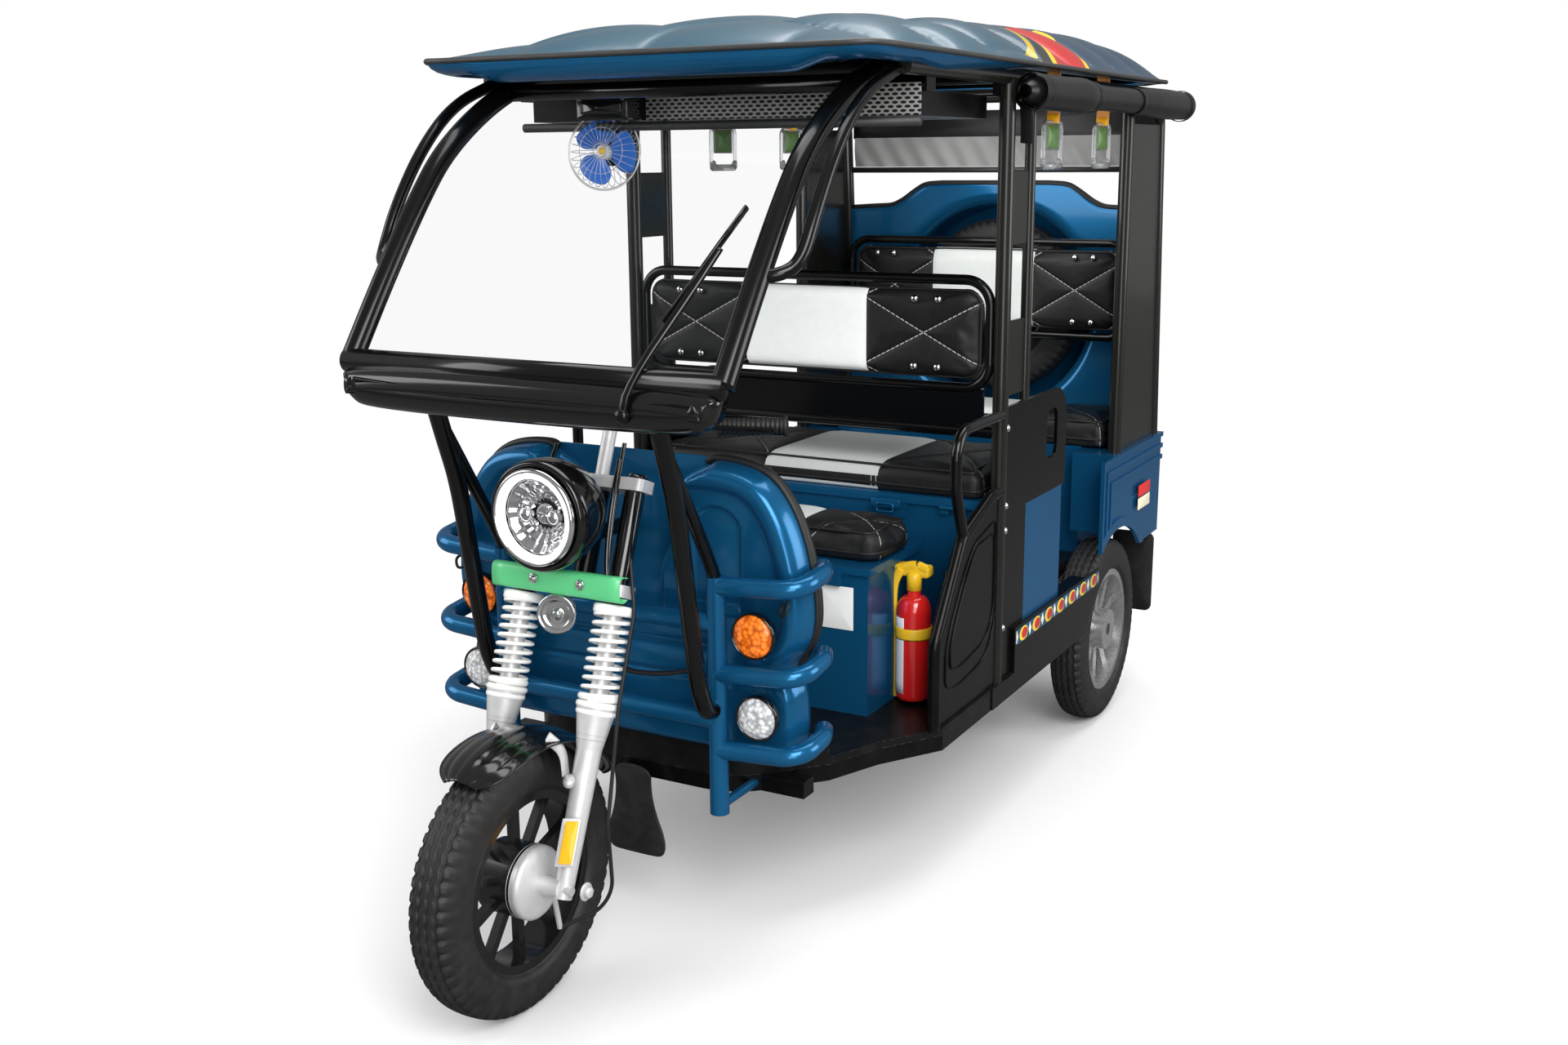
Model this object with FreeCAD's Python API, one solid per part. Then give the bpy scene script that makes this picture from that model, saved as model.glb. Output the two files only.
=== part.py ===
import FreeCAD, Part
import os
from math import atan2, cos, degrees, pi, radians, sin, tan

V = FreeCAD.Vector

# A three-wheeled battery passenger rickshaw. The front faces -Y, +X is its left side, +Z is up.
# Lengths are in millimetres. A station is a distance behind the front axle.

# Clearances and shares that many pieces use
FIT = 0.3
SHAFT_CLEARANCE = 0.08
OVERRUN = 5.0
LIMIT_SHARE = 0.98

# Wheels
TYRE_RADIUS = 245.0
TYRE_WIDTH = 94.0
TYRE_SHOULDER_DROP = 12.0
TYRE_SHOULDER_INSET = 7.0
TYRE_BULGE_RADIUS = 205.0
TYRE_GROOVE_DEPTH = 4.0
TYRE_GROOVE_WIDTH = 6.0
TYRE_GROOVE_SPACING = 19.0
RIM_WIDTH = 74.0
RIM_SEAT_RADIUS = 152.0
RIM_FLANGE_RADIUS = 164.0
RIM_WALL = 5.0
RIM_LIP_WIDTH = 7.0
SPOKE_COUNT = 10
SPOKE_WIDTH = 16.0
SPOKE_THICKNESS = 16.0
FRONT_HUB_RADIUS = 66.0
FRONT_HUB_WIDTH = 72.0
REAR_HUB_RADIUS = 54.0
REAR_HUB_WIDTH = 84.0
REAR_SPOKE_WIDTH = 26.0
AXLE_RADIUS = 8.0
REAR_SPINDLE_RADIUS = 16.0
WHEELBASE = 1940.0
REAR_TRACK_INSET = 110.0

# Body
BODY_WIDTH = 960.0
TAIL_BUMPER_REACH = 70.0
PILLAR_INSET = 18.0
PILLAR_RADIUS = 17.0
PANEL_WALL = 4.0
SHEET = 3.0
CROSS_RADIUS = 12.0

# Floor and rails
FLOOR_BOTTOM_Z = 330.0
FLOOR_TOP_Z = 345.0
RAIL_BOTTOM_Z = 297.0
RAIL_WIDTH = 40.0
REAR_FLOOR_BOTTOM_Z = 425.0
REAR_FLOOR_THICKNESS = 12.0
REAR_RAIL_HEIGHT = 40.0
PAN_NOSE_HALF_WIDTH = 215.0
PAN_NOSE_STATION = 392.0
PAN_SHOULDER_HALF_WIDTH = 345.0
PAN_SHOULDER_STATION = 540.0
PAN_WAIST_HALF_WIDTH = 394.0
PAN_WAIST_STATION = 658.0
PAN_FULL_STATION = 790.0
PAN_CORNER = 150.0
PAN_KICK_LEAD = 268.0
REAR_FLOOR_SIDE_GAP = 114.0
REAR_FLOOR_INSET = 18.0
BUMPER_RADIUS = 16.0
BUMPER_Z = 452.0
BUMPER_HALF_WIDTH = 420.0
BUMPER_BEND = 45.0

# Side steps
STEP_TOP_Z = 450.0
STEP_DEPTH = 40.0
STEP_FRONT_STATION = 1191.0
STEP_END_LEAD = 252.0
STEP_SKIN_END_STATION = 1793.0

# Steering
STEERING_RAKE_DEGREES = 21.0
FORK_LEG_X = 100.0
FORK_OFFSET = 35.0
FORK_FOOT_DROP = 18.0
LEG_LEAD = 8.0
LEG_RADIUS = 23.0
LEG_FOOT_RADIUS = 17.0
CUP_RADIUS = 37.0
CUP_BOTTOM_Z = 470.0
CUP_TOP_Z = 547.0
SPRING_TOP_Z = 702.0
SPRING_RADIUS = 36.0
SPRING_CORE_RADIUS = 27.0
SPRING_TURNS = 9
UPPER_TUBE_RADIUS = 17.0
UPPER_TUBE_TOP_Z = 925.0
CLAMP_THICKNESS = 22.0
CLAMP_DEPTH = 62.0
CLAMP_CORNER = 11.0
CLAMP_EAR = 48.0
LOWER_CLAMP_Z = 722.0
UPPER_CLAMP_Z = 900.0
STEM_RADIUS = 13.0
HEAD_TUBE_WALL = 7.0
HEAD_STRUT_STATION = 455.0
HEAD_STRUT_RADIUS = 14.0
HEAD_STRUT_BEND = 60.0
CLAMP_GAP = 1.0
HANDLEBAR_RADIUS = 11.0
HANDLEBAR_RISE = 120.0
HANDLEBAR_FIRST_X = 95.0
HANDLEBAR_SECOND_X = 215.0
HANDLEBAR_BACK = 62.0
GRIP_RADIUS = 16.0
GRIP_LENGTH = 115.0
GRIP_END_X = 320.0
HANDLEBAR_BEND = 45.0
LEVER_LENGTH = 130.0
LEVER_RADIUS = 5.0
LEVER_GAP = 44.0

# Lamp, plate and horn on the fork
LAMP_Z = 877.0
LAMP_STATION = 128.0
LAMP_RADIUS = 100.0
LAMP_RING_RADIUS = 86.0
LAMP_GLASS_RADIUS = 70.0
LAMP_DEPTH = 105.0
LAMP_RING_DEPTH = 16.0
LAMP_GLASS_INSET = 6.0
LAMP_TAIL_RADIUS = 48.0
LAMP_BRACKET_THICKNESS = 10.0
PLATE_Z = 741.0
PLATE_STATION = 158.0
PLATE_WIDTH = 280.0
PLATE_HEIGHT = 62.0
PLATE_FOLD = 14.0
PLATE_STAY_RADIUS = 7.0
PLATE_STAY_X = 40.0
HORN_Z = 690.0
HORN_X = 22.0
HORN_STATION = 112.0
HORN_RADIUS = 44.0
HORN_DEPTH = 50.0
HORN_THROAT_RADIUS = 14.0
HORN_BACK_RADIUS = 32.0
HORN_STAY_RADIUS = 6.0

# Front fender
FENDER_GAP = 24.0
FENDER_WALL = 3.0
FENDER_HALF_WIDTH = 60.0
FENDER_SIDE_DROP = 26.0
FENDER_FRONT_DEGREES = 60.0
FENDER_REAR_DEGREES = 152.0
FENDER_STAY_RADIUS = 9.0
FENDER_STAY_Z = 483.0

# Front brake
BRAKE_PLATE_RADIUS = 60.0
BRAKE_PLATE_THICKNESS = 9.0
BRAKE_RIM_GAP = 6.0
BRAKE_ARM_LENGTH = 74.0
BRAKE_ARM_WIDTH = 15.0
CABLE_RADIUS = 3.5

# Nose
NOSE_FACE_STATION = 335.0
NOSE_BACK_STATION = 410.0
NOSE_BOTTOM_Z = 398.0
NOSE_TOP_Z = 950.0
NOSE_HALF_WIDTH = 388.0
NOSE_FOOT_HALF_WIDTH = 374.0
NOSE_WIDEST_Z = 700.0
NOSE_TOP_HALF_WIDTH = 350.0
NOSE_CORNER = 130.0
NOSE_EDGE_RADIUS = 42.0
NOSE_LOBE_HALF_WIDTH = 165.0
NOSE_CHANNEL_OFFSET = 82.0

# Crash guard
GUARD_RADIUS = 18.0
GUARD_FRONT_STATION = 302.0
GUARD_SIDE_X = 408.0
GUARD_END_STATION = 392.0
GUARD_INNER_X = 240.0
GUARD_TOP_Z = 735.0
GUARD_MIDDLE_Z = 572.0
GUARD_LOW_Z = 425.0
GUARD_RISE = 22.0
GUARD_BEND = 70.0
GUARD_CENTRE_TOP_Z = 664.0
GUARD_CENTRE_LOW_Z = 482.0
GUARD_POST_FOOT_Z = 300.0

# Front cage
CAGE_RADIUS = 13.0
CAGE_X = 235.0
CAGE_TOP_STATION = 112.0
CAGE_KNEE_STATION = 180.0
CAGE_KNEE_Z = 900.0
CAGE_FOOT_STATION = 238.0
CAGE_FOOT_Z = 560.0
CAGE_HEEL_Z = 505.0
CAGE_BEND = 40.0
CAGE_BRACE_RADIUS = 11.0
CAGE_BRACE_TOP_Z = 1010.0

# Windscreen and fascia
SCREEN_BAR_STATION = 86.0
SCREEN_BAR_Z = 1130.0
SCREEN_BAR_RADIUS = 22.0
SCREEN_HALF_WIDTH = 389.0
SCREEN_TUBE_RADIUS = 16.0
SCREEN_LOW_BEND_STATION = 235.0
SCREEN_LOW_BEND_RISE = 207.0
SCREEN_HIGH_BEND_STATION = 359.0
SCREEN_HIGH_BEND_RISE = 358.0
SCREEN_TOP_STATION = 560.0
SCREEN_TOP_RISE = 479.0
SCREEN_BEND = 500.0
GLASS_THICKNESS = 4.0
GLASS_MARGIN = 2.0
HOOP_RADIUS = 10.0
HOOP_LOW_STATION = 203.0
HOOP_LOW_Z = 1300.0
HOOP_OUT_X = 446.0
HOOP_OUT_STATION = 262.0
HOOP_OUT_Z = 1378.0
HOOP_HIGH_STATION = 420.0
HOOP_HIGH_Z = 1545.0
HOOP_BEND = 30.0
FASCIA_BOTTOM_Z = 1046.0
FASCIA_THICKNESS = 26.0
FASCIA_CORNER = 62.0
FASCIA_LEAN = 10.0
WIPER_X = 179.0
WIPER_RADIUS = 5.0
WIPER_PIVOT_Z = 1078.0
WIPER_TIP_X = 262.0
WIPER_HUB_RADIUS = 12.0
WIPER_HUB_DEPTH = 12.0
BLADE_WIDTH = 9.0
BLADE_START_SHARE = 0.42
BLADE_END_SHARE = 1.25

# Roof
ROOF_HALF_WIDTH = 500.0
ROOF_RIM_Z = 1667.0
ROOF_CROWN = 147.0
ROOF_FRONT_STATION = 412.0
ROOF_REAR_INSET = 22.0
ROOF_WALL = 5.0
ROOF_RIM_HEIGHT = 14.0
ROOF_FRONT_RAMP = 420.0
ROOF_REAR_RAMP = 190.0
ROOF_CORNER = 70.0
ROOF_RAIL_RADIUS = 15.0
ROOF_RAIL_FRONT_STATION = 600.0
ROOF_RAIL_REAR_INSET = 30.0

# Tray under the roof
TRAY_FRONT_STATION = 700.0
TRAY_REAR_STATION = 1075.0
TRAY_BOTTOM_Z = 1556.0
TRAY_HEIGHT = 46.0
TRAY_HALF_WIDTH = 430.0
TRAY_WALL = 4.0

# Pillars
B_PILLAR_STATION = 1110.0
B_LOOP_STATION = 1252.0
B_LOOP_TOP_Z = 1600.0
B_LOOP_RADIUS = 12.0
B_LOOP_BEND = 45.0
B_PLATE_THICKNESS = 6.0
B_PLATE_FIRST_Z = 980.0
B_PLATE_FIRST_HEIGHT = 160.0
B_PLATE_SECOND_Z = 1300.0
B_PLATE_SECOND_HEIGHT = 150.0
C_PILLAR_OFFSET = 5.0
D_FOOT_INSET = 40.0
D_LEAN = 68.0

# Leg panels, gates and grab loops
LEG_FRONT_STATION = 767.0
LEG_KNEE_Z = 527.0
LEG_SLOPE_STATION = 899.0
LEG_SLOPE_Z = 719.0
LEG_TOP_Z = 777.0
LEG_TOP_STATION = 1060.0
LEG_CORNER = 45.0
LEG_EDGE_RADIUS = 13.0
PANEL_INSET = 14.0
PANEL_THICKNESS = 8.0
GATE_REAR_STATION = 1524.0
GATE_LOW_Z = 722.0
GATE_TOP_Z = 959.0
GATE_CORNER = 70.0
GATE_SLOT_FRONT_STATION = 1390.0
GATE_SLOT_REAR_STATION = 1462.0
GATE_SLOT_LOW_Z = 800.0
GATE_SLOT_TOP_Z = 915.0
GATE_SLOT_CORNER = 25.0
LOWER_PANEL_FRONT_STATION = 1262.0
LOWER_PANEL_REAR_STATION = 1504.0
GRAB_RADIUS = 12.0
GRAB_FRONT_STATION = 862.0
GRAB_TOP_Z = 944.0
GRAB_FOOT_STATION = 905.0
GRAB_LOW_Z = 830.0
GRAB_BEND = 60.0

# Lid hinges
HINGE_RADIUS = 5.0
PIN_RADIUS = 2.0
HINGE_GAP = 0.5
HINGE_HALF_LENGTH = 30.0
HINGE_MIDDLE_HALF_LENGTH = 10.0
HINGE_LEAF_HEIGHT = 14.0
HINGE_LEAF_THICKNESS = 3.0
DRIVER_HINGE_X = 200.0
BENCH_HINGE_X = 370.0

# Driver's seat
BOX_FRONT_STATION = 780.0
BOX_REAR_STATION = 1045.0
BOX_HALF_WIDTH = 311.0
BOX_TOP_Z = 648.0
LID_THICKNESS = 16.0
LID_OVERLAP = 8.0
DRIVER_CUSHION_HEIGHT = 74.0
DRIVER_CUSHION_FRONT_INSET = 24.0
DRIVER_CUSHION_OVERHANG = 14.0
DRIVER_CUSHION_REAR_INSET = 36.0
CUSHION_EDGE = 22.0
HASP_X = 223.0
HASP_WIDTH = 60.0
HASP_HEIGHT = 34.0
HASP_THICKNESS = 6.0

# Extinguisher on the box's left side
BOTTLE_STATION = 915.0
BOTTLE_RADIUS = 38.0
BOTTLE_FOOT_Z = 352.0
BOTTLE_SHOULDER_Z = 545.0
BOTTLE_NECK_RADIUS = 13.0
BOTTLE_TOP_Z = 596.0
BOTTLE_HEAD_HEIGHT = 34.0
BOTTLE_HEAD_LENGTH = 84.0
BOTTLE_HEAD_WIDTH = 34.0
BRACKET_THICKNESS = 5.0
BRACKET_WIDTH = 46.0
BRACKET_BAND_HEIGHT = 26.0
BRACKET_BAND_Z = 450.0

# Bench
BENCH_FRONT_STATION = 1092.0
BENCH_REAR_STATION = 1488.0
BENCH_SIDE_GAP = 42.0
BENCH_TOP_Z = 736.0
BENCH_LID_THICKNESS = 20.0
BENCH_CUSHION_HEIGHT = 64.0
BENCH_CUSHION_NOSE = 4.0
BENCH_WALL = 4.0
BACKREST_Z = 1112.0
BACKREST_HALF_HEIGHT = 104.0
BACKREST_SIDE_GAP = 56.0
BACKREST_THICKNESS = 38.0
BACKREST_STATION = 1110.0
BACKREST_CORNER = 45.0
BACKREST_TUBE_RADIUS = 11.0
BENCH_RAIL_Z = 905.0
BENCH_BOARD_THICKNESS = 8.0

# Rear seat and backrest
REAR_SEAT_GAP = 31.0
REAR_SEAT_DEPTH = 286.0
REAR_SEAT_SIDE_GAP = 118.0
REAR_SEAT_TOP_Z = 716.0
REAR_CUSHION_HEIGHT = 78.0
REAR_CUSHION_SIDE_GAP = 40.0
REAR_CUSHION_NOSE = 14.0
REAR_BACKREST_GAP = 54.0
REAR_BACKREST_Z = 1125.0
REAR_BACKREST_HALF_HEIGHT = 116.0
REAR_BACKREST_SIDE_GAP = 76.0

# Batteries, one plain block under the bench
BATTERY_LENGTH = 330.0
BATTERY_WIDTH = 700.0
BATTERY_HEIGHT = 240.0

# Rear panel with the spare wheel's well
REAR_PANEL_LEAD = 10.0
REAR_PANEL_SIDE_GAP = 22.0
REAR_PANEL_WALL = 5.0
REAR_PANEL_SHOULDER_Z = 1343.0
REAR_PANEL_CROWN_Z = 1411.0
REAR_PANEL_CROWN_HALF_WIDTH = 200.0
REAR_PANEL_STEP_WIDTH = 90.0
WELL_Z = 1063.0
WELL_RADIUS = 286.0
WELL_DEPTH = 106.0
SPARE_STUD_RADIUS = 12.0
SPARE_HUB_RADIUS = 50.0
SPARE_HUB_WIDTH = 60.0

# Rear side bodies
REAR_BODY_LEAD = 146.0
REAR_BODY_OVERHANG = 390.0
REAR_BODY_TOP_Z = 724.0
REAR_BODY_BOTTOM_Z = 440.0
REAR_BODY_WALL = 4.0
ARCH_RADIUS = 280.0
ARCH_LIP_WIDTH = 26.0
RIB_COUNT = 3
RIB_HEIGHT = 12.0
RIB_DEPTH = 6.0
RIB_PITCH = 32.0
QUARTER_TOP_Z = 1560.0

# Flaps
FLAP_THICKNESS = 5.0
FRONT_FLAP_STATION = 352.0
FRONT_FLAP_HALF_WIDTH = 68.0
FRONT_FLAP_TOP_Z = 330.0
FRONT_FLAP_BOTTOM_Z = 137.0
FRONT_FLAP_LEAN = 26.0
REAR_FLAP_GAP = 10.0
REAR_FLAP_HALF_WIDTH = 62.0
REAR_FLAP_BOTTOM_Z = 200.0
REAR_FLAP_TOP_Z = 436.0

# Rolled curtains
ROLL_RADIUS = 32.0
ROLL_STANDOFF = 32.0
ROLL_Z = 1608.0
ROLL_FRONT_STATION = 1060.0
REAR_ROLL_Z = 1586.0
REAR_ROLL_RADIUS = 26.0
REAR_ROLL_LEAD = 40.0
REAR_ROLL_HALF_LENGTH = 430.0
CURTAIN_BOTTOM_Z = 1440.0
CURTAIN_THICKNESS = 4.0

# Lamps on the body
SIGNAL_RADIUS = 44.0
SIGNAL_DEPTH = 26.0
SIGNAL_X = 310.0
SIGNAL_Z = 648.0
FOG_X = 316.0
FOG_Z = 494.0
FOG_RADIUS = 43.0
TAIL_LAMP_X = 402.0
TAIL_LAMP_Z = 600.0
TAIL_LAMP_WIDTH = 60.0
TAIL_LAMP_HEIGHT = 130.0
TAIL_LAMP_DEPTH = 26.0

# Suspension and drive
LEAF_X = 250.0
LEAF_WIDTH = 45.0
LEAF_THICKNESS = 8.0
LEAF_HALF_LENGTH = 250.0
LEAF_ARCH = 26.0
LEAF_COUNT = 3
LEAF_STEP_SHARE = 0.24
LEAF_EYE_RADIUS = 14.0
AXLE_TUBE_RADIUS = 30.0
DRIVE_RADIUS = 82.0
DRIVE_WIDTH = 110.0
MOTOR_RADIUS = 75.0
MOTOR_LENGTH = 190.0
SPRING_PAD_HEIGHT = 14.0
HANGER_THICKNESS = 12.0

# Fan and hand straps under the tray
FAN_X = 244.0
FAN_STATION = 676.0
FAN_Z = 1498.0
FAN_RADIUS = 78.0
FAN_RING_RADIUS = 4.0
FAN_HUB_RADIUS = 20.0
FAN_DEPTH = 46.0
FAN_BLADE_COUNT = 3
FAN_BLADE_WIDTH = 54.0
FAN_BLADE_THICKNESS = 4.0
STRAP_INSET = 50.0
STRAP_WIDTH = 36.0
STRAP_THICKNESS = 5.0
STRAP_LENGTH = 62.0
STRAP_HANDLE_WIDTH = 130.0
STRAP_HANDLE_HEIGHT = 108.0
STRAP_HANDLE_BAR = 12.0
STRAP_FIRST_STATION = 1470.0
STRAP_SECOND_STATION = 1830.0

# Values that follow
BODY_HALF_WIDTH = BODY_WIDTH / 2
PILLAR_X = BODY_HALF_WIDTH - PILLAR_INSET
PANEL_X = BODY_HALF_WIDTH - PANEL_INSET
ROLL_X = BODY_HALF_WIDTH + ROLL_STANDOFF
STRAP_X = BODY_HALF_WIDTH - STRAP_INSET
REAR_TRACK = BODY_WIDTH - REAR_TRACK_INSET
BENCH_HALF_WIDTH = BODY_HALF_WIDTH - BENCH_SIDE_GAP
BACKREST_HALF_WIDTH = BODY_HALF_WIDTH - BACKREST_SIDE_GAP
REAR_SEAT_HALF_WIDTH = BODY_HALF_WIDTH - REAR_SEAT_SIDE_GAP
REAR_FLOOR_HALF_WIDTH = BODY_HALF_WIDTH - REAR_FLOOR_SIDE_GAP
REAR_CUSHION_HALF_WIDTH = BODY_HALF_WIDTH - REAR_CUSHION_SIDE_GAP
REAR_BACKREST_HALF_WIDTH = BODY_HALF_WIDTH - REAR_BACKREST_SIDE_GAP
REAR_PANEL_HALF_WIDTH = BODY_HALF_WIDTH - REAR_PANEL_SIDE_GAP
PAN_KICK_STATION = WHEELBASE - PAN_KICK_LEAD
STEP_END_STATION = WHEELBASE - STEP_END_LEAD
SCREEN_LOW_BEND_Z = SCREEN_BAR_Z + SCREEN_LOW_BEND_RISE
SCREEN_HIGH_BEND_Z = SCREEN_BAR_Z + SCREEN_HIGH_BEND_RISE
SCREEN_TOP_Z = SCREEN_BAR_Z + SCREEN_TOP_RISE
REAR_BODY_FRONT_STATION = WHEELBASE - REAR_BODY_LEAD
REAR_BODY_REAR_STATION = WHEELBASE + REAR_BODY_OVERHANG
REAR_END_STATION = REAR_BODY_REAR_STATION + TAIL_BUMPER_REACH
REAR_FLOOR_END_STATION = REAR_BODY_REAR_STATION - REAR_FLOOR_INSET
C_PILLAR_STATION = WHEELBASE + C_PILLAR_OFFSET
D_FOOT_STATION = REAR_BODY_REAR_STATION - D_FOOT_INSET
D_TOP_STATION = D_FOOT_STATION - D_LEAN
REAR_PANEL_STATION = D_FOOT_STATION - REAR_PANEL_LEAD
REAR_SEAT_FRONT_STATION = C_PILLAR_STATION + REAR_SEAT_GAP
REAR_SEAT_REAR_STATION = REAR_SEAT_FRONT_STATION + REAR_SEAT_DEPTH
REAR_BACKREST_STATION = D_TOP_STATION - REAR_BACKREST_GAP
ROOF_REAR_STATION = D_TOP_STATION - ROOF_REAR_INSET
ROOF_RAIL_REAR_STATION = ROOF_REAR_STATION - ROOF_RAIL_REAR_INSET
REAR_FLAP_STATION = D_FOOT_STATION + REAR_FLAP_GAP
ROLL_REAR_STATION = D_FOOT_STATION
REAR_ROLL_STATION = D_FOOT_STATION - REAR_ROLL_LEAD
OVERALL_LENGTH = TYRE_RADIUS + REAR_END_STATION
FRONT_AXLE_Y = TYRE_RADIUS - OVERALL_LENGTH / 2
RAKE = radians(STEERING_RAKE_DEGREES)
AXIS = V(0, sin(RAKE), cos(RAKE))
REAR_AXLE_X = REAR_TRACK / 2
ROOF_RAIL_X = PILLAR_X
ROOF_RAIL_Z = ROOF_RIM_Z - ROOF_RIM_HEIGHT - ROOF_RAIL_RADIUS - FIT
PILLAR_FOOT_Z = REAR_BODY_TOP_Z
REAR_PANEL_FOOT_Z = REAR_BODY_TOP_Z + FIT
RAKE_SLOPE = tan(RAKE)
REAR_AXLE_STATION = WHEELBASE


def at(x, station, z):
    """A point given by its station behind the front axle."""
    return V(x, FRONT_AXLE_Y + station, z)


def box(x_low, x_high, station_low, station_high, z_low, z_high):
    """A block between two corners."""
    size = (x_high - x_low, station_high - station_low, z_high - z_low)
    return Part.makeBox(*size, at(x_low, station_low, z_low))


def mirrored(shape):
    """The same piece on the other side of the centre plane."""
    return shape.mirror(V(0, 0, 0), V(1, 0, 0))


def both(shape):
    """A piece on the left side and its mirror image on the right."""
    return [shape, mirrored(shape)]


def joined(shapes):
    """Pieces welded into one."""
    first, rest = shapes[0], list(shapes[1:])
    if not rest:
        return first
    return first.multiFuse(rest).removeSplitter()


def without(shape, *tools):
    """A piece with others taken out of it."""
    for tool in tools:
        shape = shape.cut(tool)
    return shape


def rod(start, end, radius):
    """A round bar between two points."""
    run = end - start
    return Part.makeCylinder(radius, run.Length, start, run)


def cone(start, end, start_radius, end_radius):
    """A tapered round bar between two points."""
    run = end - start
    return Part.makeCone(start_radius, end_radius, run.Length, start, run)


def corner(before, point, after, radius):
    """Start, middle and end of the arc that rounds a corner, tangent to both runs."""
    back = before - point
    ahead = after - point
    shorter = min(back.Length, ahead.Length)
    back.normalize()
    ahead.normalize()
    half_angle = back.getAngle(ahead) / 2
    reach = min(radius / tan(half_angle), LIMIT_SHARE * shorter / 2)
    arc_radius = reach * tan(half_angle)
    inward = back + ahead
    inward.normalize()
    middle = point + inward * (arc_radius / sin(half_angle) - arc_radius)
    return point + back * reach, middle, point + ahead * reach


def path_edges(points, radius, closed=False):
    """Straight runs joined by tangent arcs, open or closed."""
    count = len(points)
    turns = range(count) if closed else range(1, count - 1)
    arcs = [corner(points[i - 1], points[i], points[(i + 1) % count], radius) for i in turns]
    position = arcs[-1][2] if closed else points[0]
    edges = []
    for start, middle, end in arcs:
        edges.append(Part.makeLine(position, start))
        edges.append(Part.Arc(start, middle, end).toShape())
        position = end
    if not closed:
        edges.append(Part.makeLine(position, points[-1]))
    return edges


def bent_tube(points, radius, bend):
    """A round tube along straight runs and tangent bends."""
    path = Part.Wire(path_edges(points, bend))
    section = Part.Wire([Part.makeCircle(radius, points[0], points[1] - points[0])])
    return path.makePipeShell([section], True, False)


def sheet(points, thickness, rounding=0):
    """A flat outline given its thickness as a vector."""
    if rounding:
        wire = Part.Wire(path_edges(points, rounding, closed=True))
    else:
        wire = Part.makePolygon(points + [points[0]])
    return Part.Face(wire).extrude(thickness)


def turned(profile, centre, axis, across):
    """A profile of (along, radius) pairs turned about an axis through a centre."""
    points = [centre + axis * along + across * radius for along, radius in profile]
    face = Part.Face(Part.makePolygon(points + [points[0]]))
    return face.revolve(centre, axis, degrees(2 * pi))


def leg_point(x, z, behind=0):
    """A point on the fork's raked plane at a height, or so far behind that plane."""
    return at(x, LEG_LEAD + behind + (z - TYRE_RADIUS) * RAKE_SLOPE, z)


def stem_point(z):
    """A point on the steering axis at a height."""
    return leg_point(0, z, FORK_OFFSET)


def tyre(centre):
    """A tyre turned about X: crowned tread with grooves, rounded shoulders and sidewalls."""
    half = TYRE_WIDTH / 2
    seat = RIM_WIDTH / 2 - RIM_LIP_WIDTH - FIT
    bead = RIM_SEAT_RADIUS + FIT
    flange = RIM_FLANGE_RADIUS + FIT
    shoulder = half - TYRE_SHOULDER_INSET
    right = [(seat, bead), (seat, flange), (RIM_WIDTH / 2, flange), (half, TYRE_BULGE_RADIUS),
             (shoulder, TYRE_RADIUS - TYRE_SHOULDER_DROP)]
    tread = []
    for place in (TYRE_GROOVE_SPACING, 0, -TYRE_GROOVE_SPACING):
        edge = TYRE_RADIUS - TYRE_GROOVE_DEPTH / 2 * abs(place) / TYRE_GROOVE_SPACING
        floor = edge - TYRE_GROOVE_DEPTH
        near, far = place + TYRE_GROOVE_WIDTH / 2, place - TYRE_GROOVE_WIDTH / 2
        tread += [(near, edge), (near, floor), (far, floor), (far, edge)]
    left = [(-along, radius) for along, radius in reversed(right)]
    return turned(right + tread + left, centre, V(1, 0, 0), V(0, 0, 1))


def rim(centre, hub_radius, hub_width, bore, spoke_width):
    """A cast rim: a barrel with two lips, flat spokes and a hub with its bore."""
    half = RIM_WIDTH / 2
    barrel = [(-half, RIM_FLANGE_RADIUS), (RIM_LIP_WIDTH - half, RIM_FLANGE_RADIUS),
              (RIM_LIP_WIDTH - half, RIM_SEAT_RADIUS), (half - RIM_LIP_WIDTH, RIM_SEAT_RADIUS),
              (half - RIM_LIP_WIDTH, RIM_FLANGE_RADIUS), (half, RIM_FLANGE_RADIUS),
              (half, RIM_SEAT_RADIUS - RIM_WALL), (-half, RIM_SEAT_RADIUS - RIM_WALL)]
    pieces = [turned(barrel, centre, V(1, 0, 0), V(0, 0, 1))]
    reach = RIM_SEAT_RADIUS - RIM_WALL / 2
    spoke = Part.makeBox(SPOKE_THICKNESS, spoke_width, reach,
                         centre - V(SPOKE_THICKNESS / 2, spoke_width / 2, 0))
    for turn in range(SPOKE_COUNT):
        one = spoke.copy()
        one.rotate(centre, V(1, 0, 0), degrees(2 * pi) * turn / SPOKE_COUNT)
        pieces.append(one)
    side = V(hub_width / 2, 0, 0)
    pieces.append(rod(centre - side, centre + side, hub_radius))
    through = V(hub_width / 2 + OVERRUN, 0, 0)
    return without(joined(pieces), rod(centre - through, centre + through, bore))


def front_wheel():
    centre = at(0, 0, TYRE_RADIUS)
    wheel_rim = rim(centre, FRONT_HUB_RADIUS, FRONT_HUB_WIDTH, AXLE_RADIUS + SHAFT_CLEARANCE, SPOKE_WIDTH)
    return {"front_tyre": [tyre(centre)], "front_rim": [wheel_rim]}


def rear_wheels():
    pieces = {}
    for side, x in (("left", REAR_AXLE_X), ("right", -REAR_AXLE_X)):
        centre = at(x, REAR_AXLE_STATION, TYRE_RADIUS)
        bore = REAR_SPINDLE_RADIUS + SHAFT_CLEARANCE
        pieces["rear_tyre_" + side] = [tyre(centre)]
        pieces["rear_rim_" + side] = [rim(centre, REAR_HUB_RADIUS, REAR_HUB_WIDTH, bore, REAR_SPOKE_WIDTH)]
    return pieces


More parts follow.
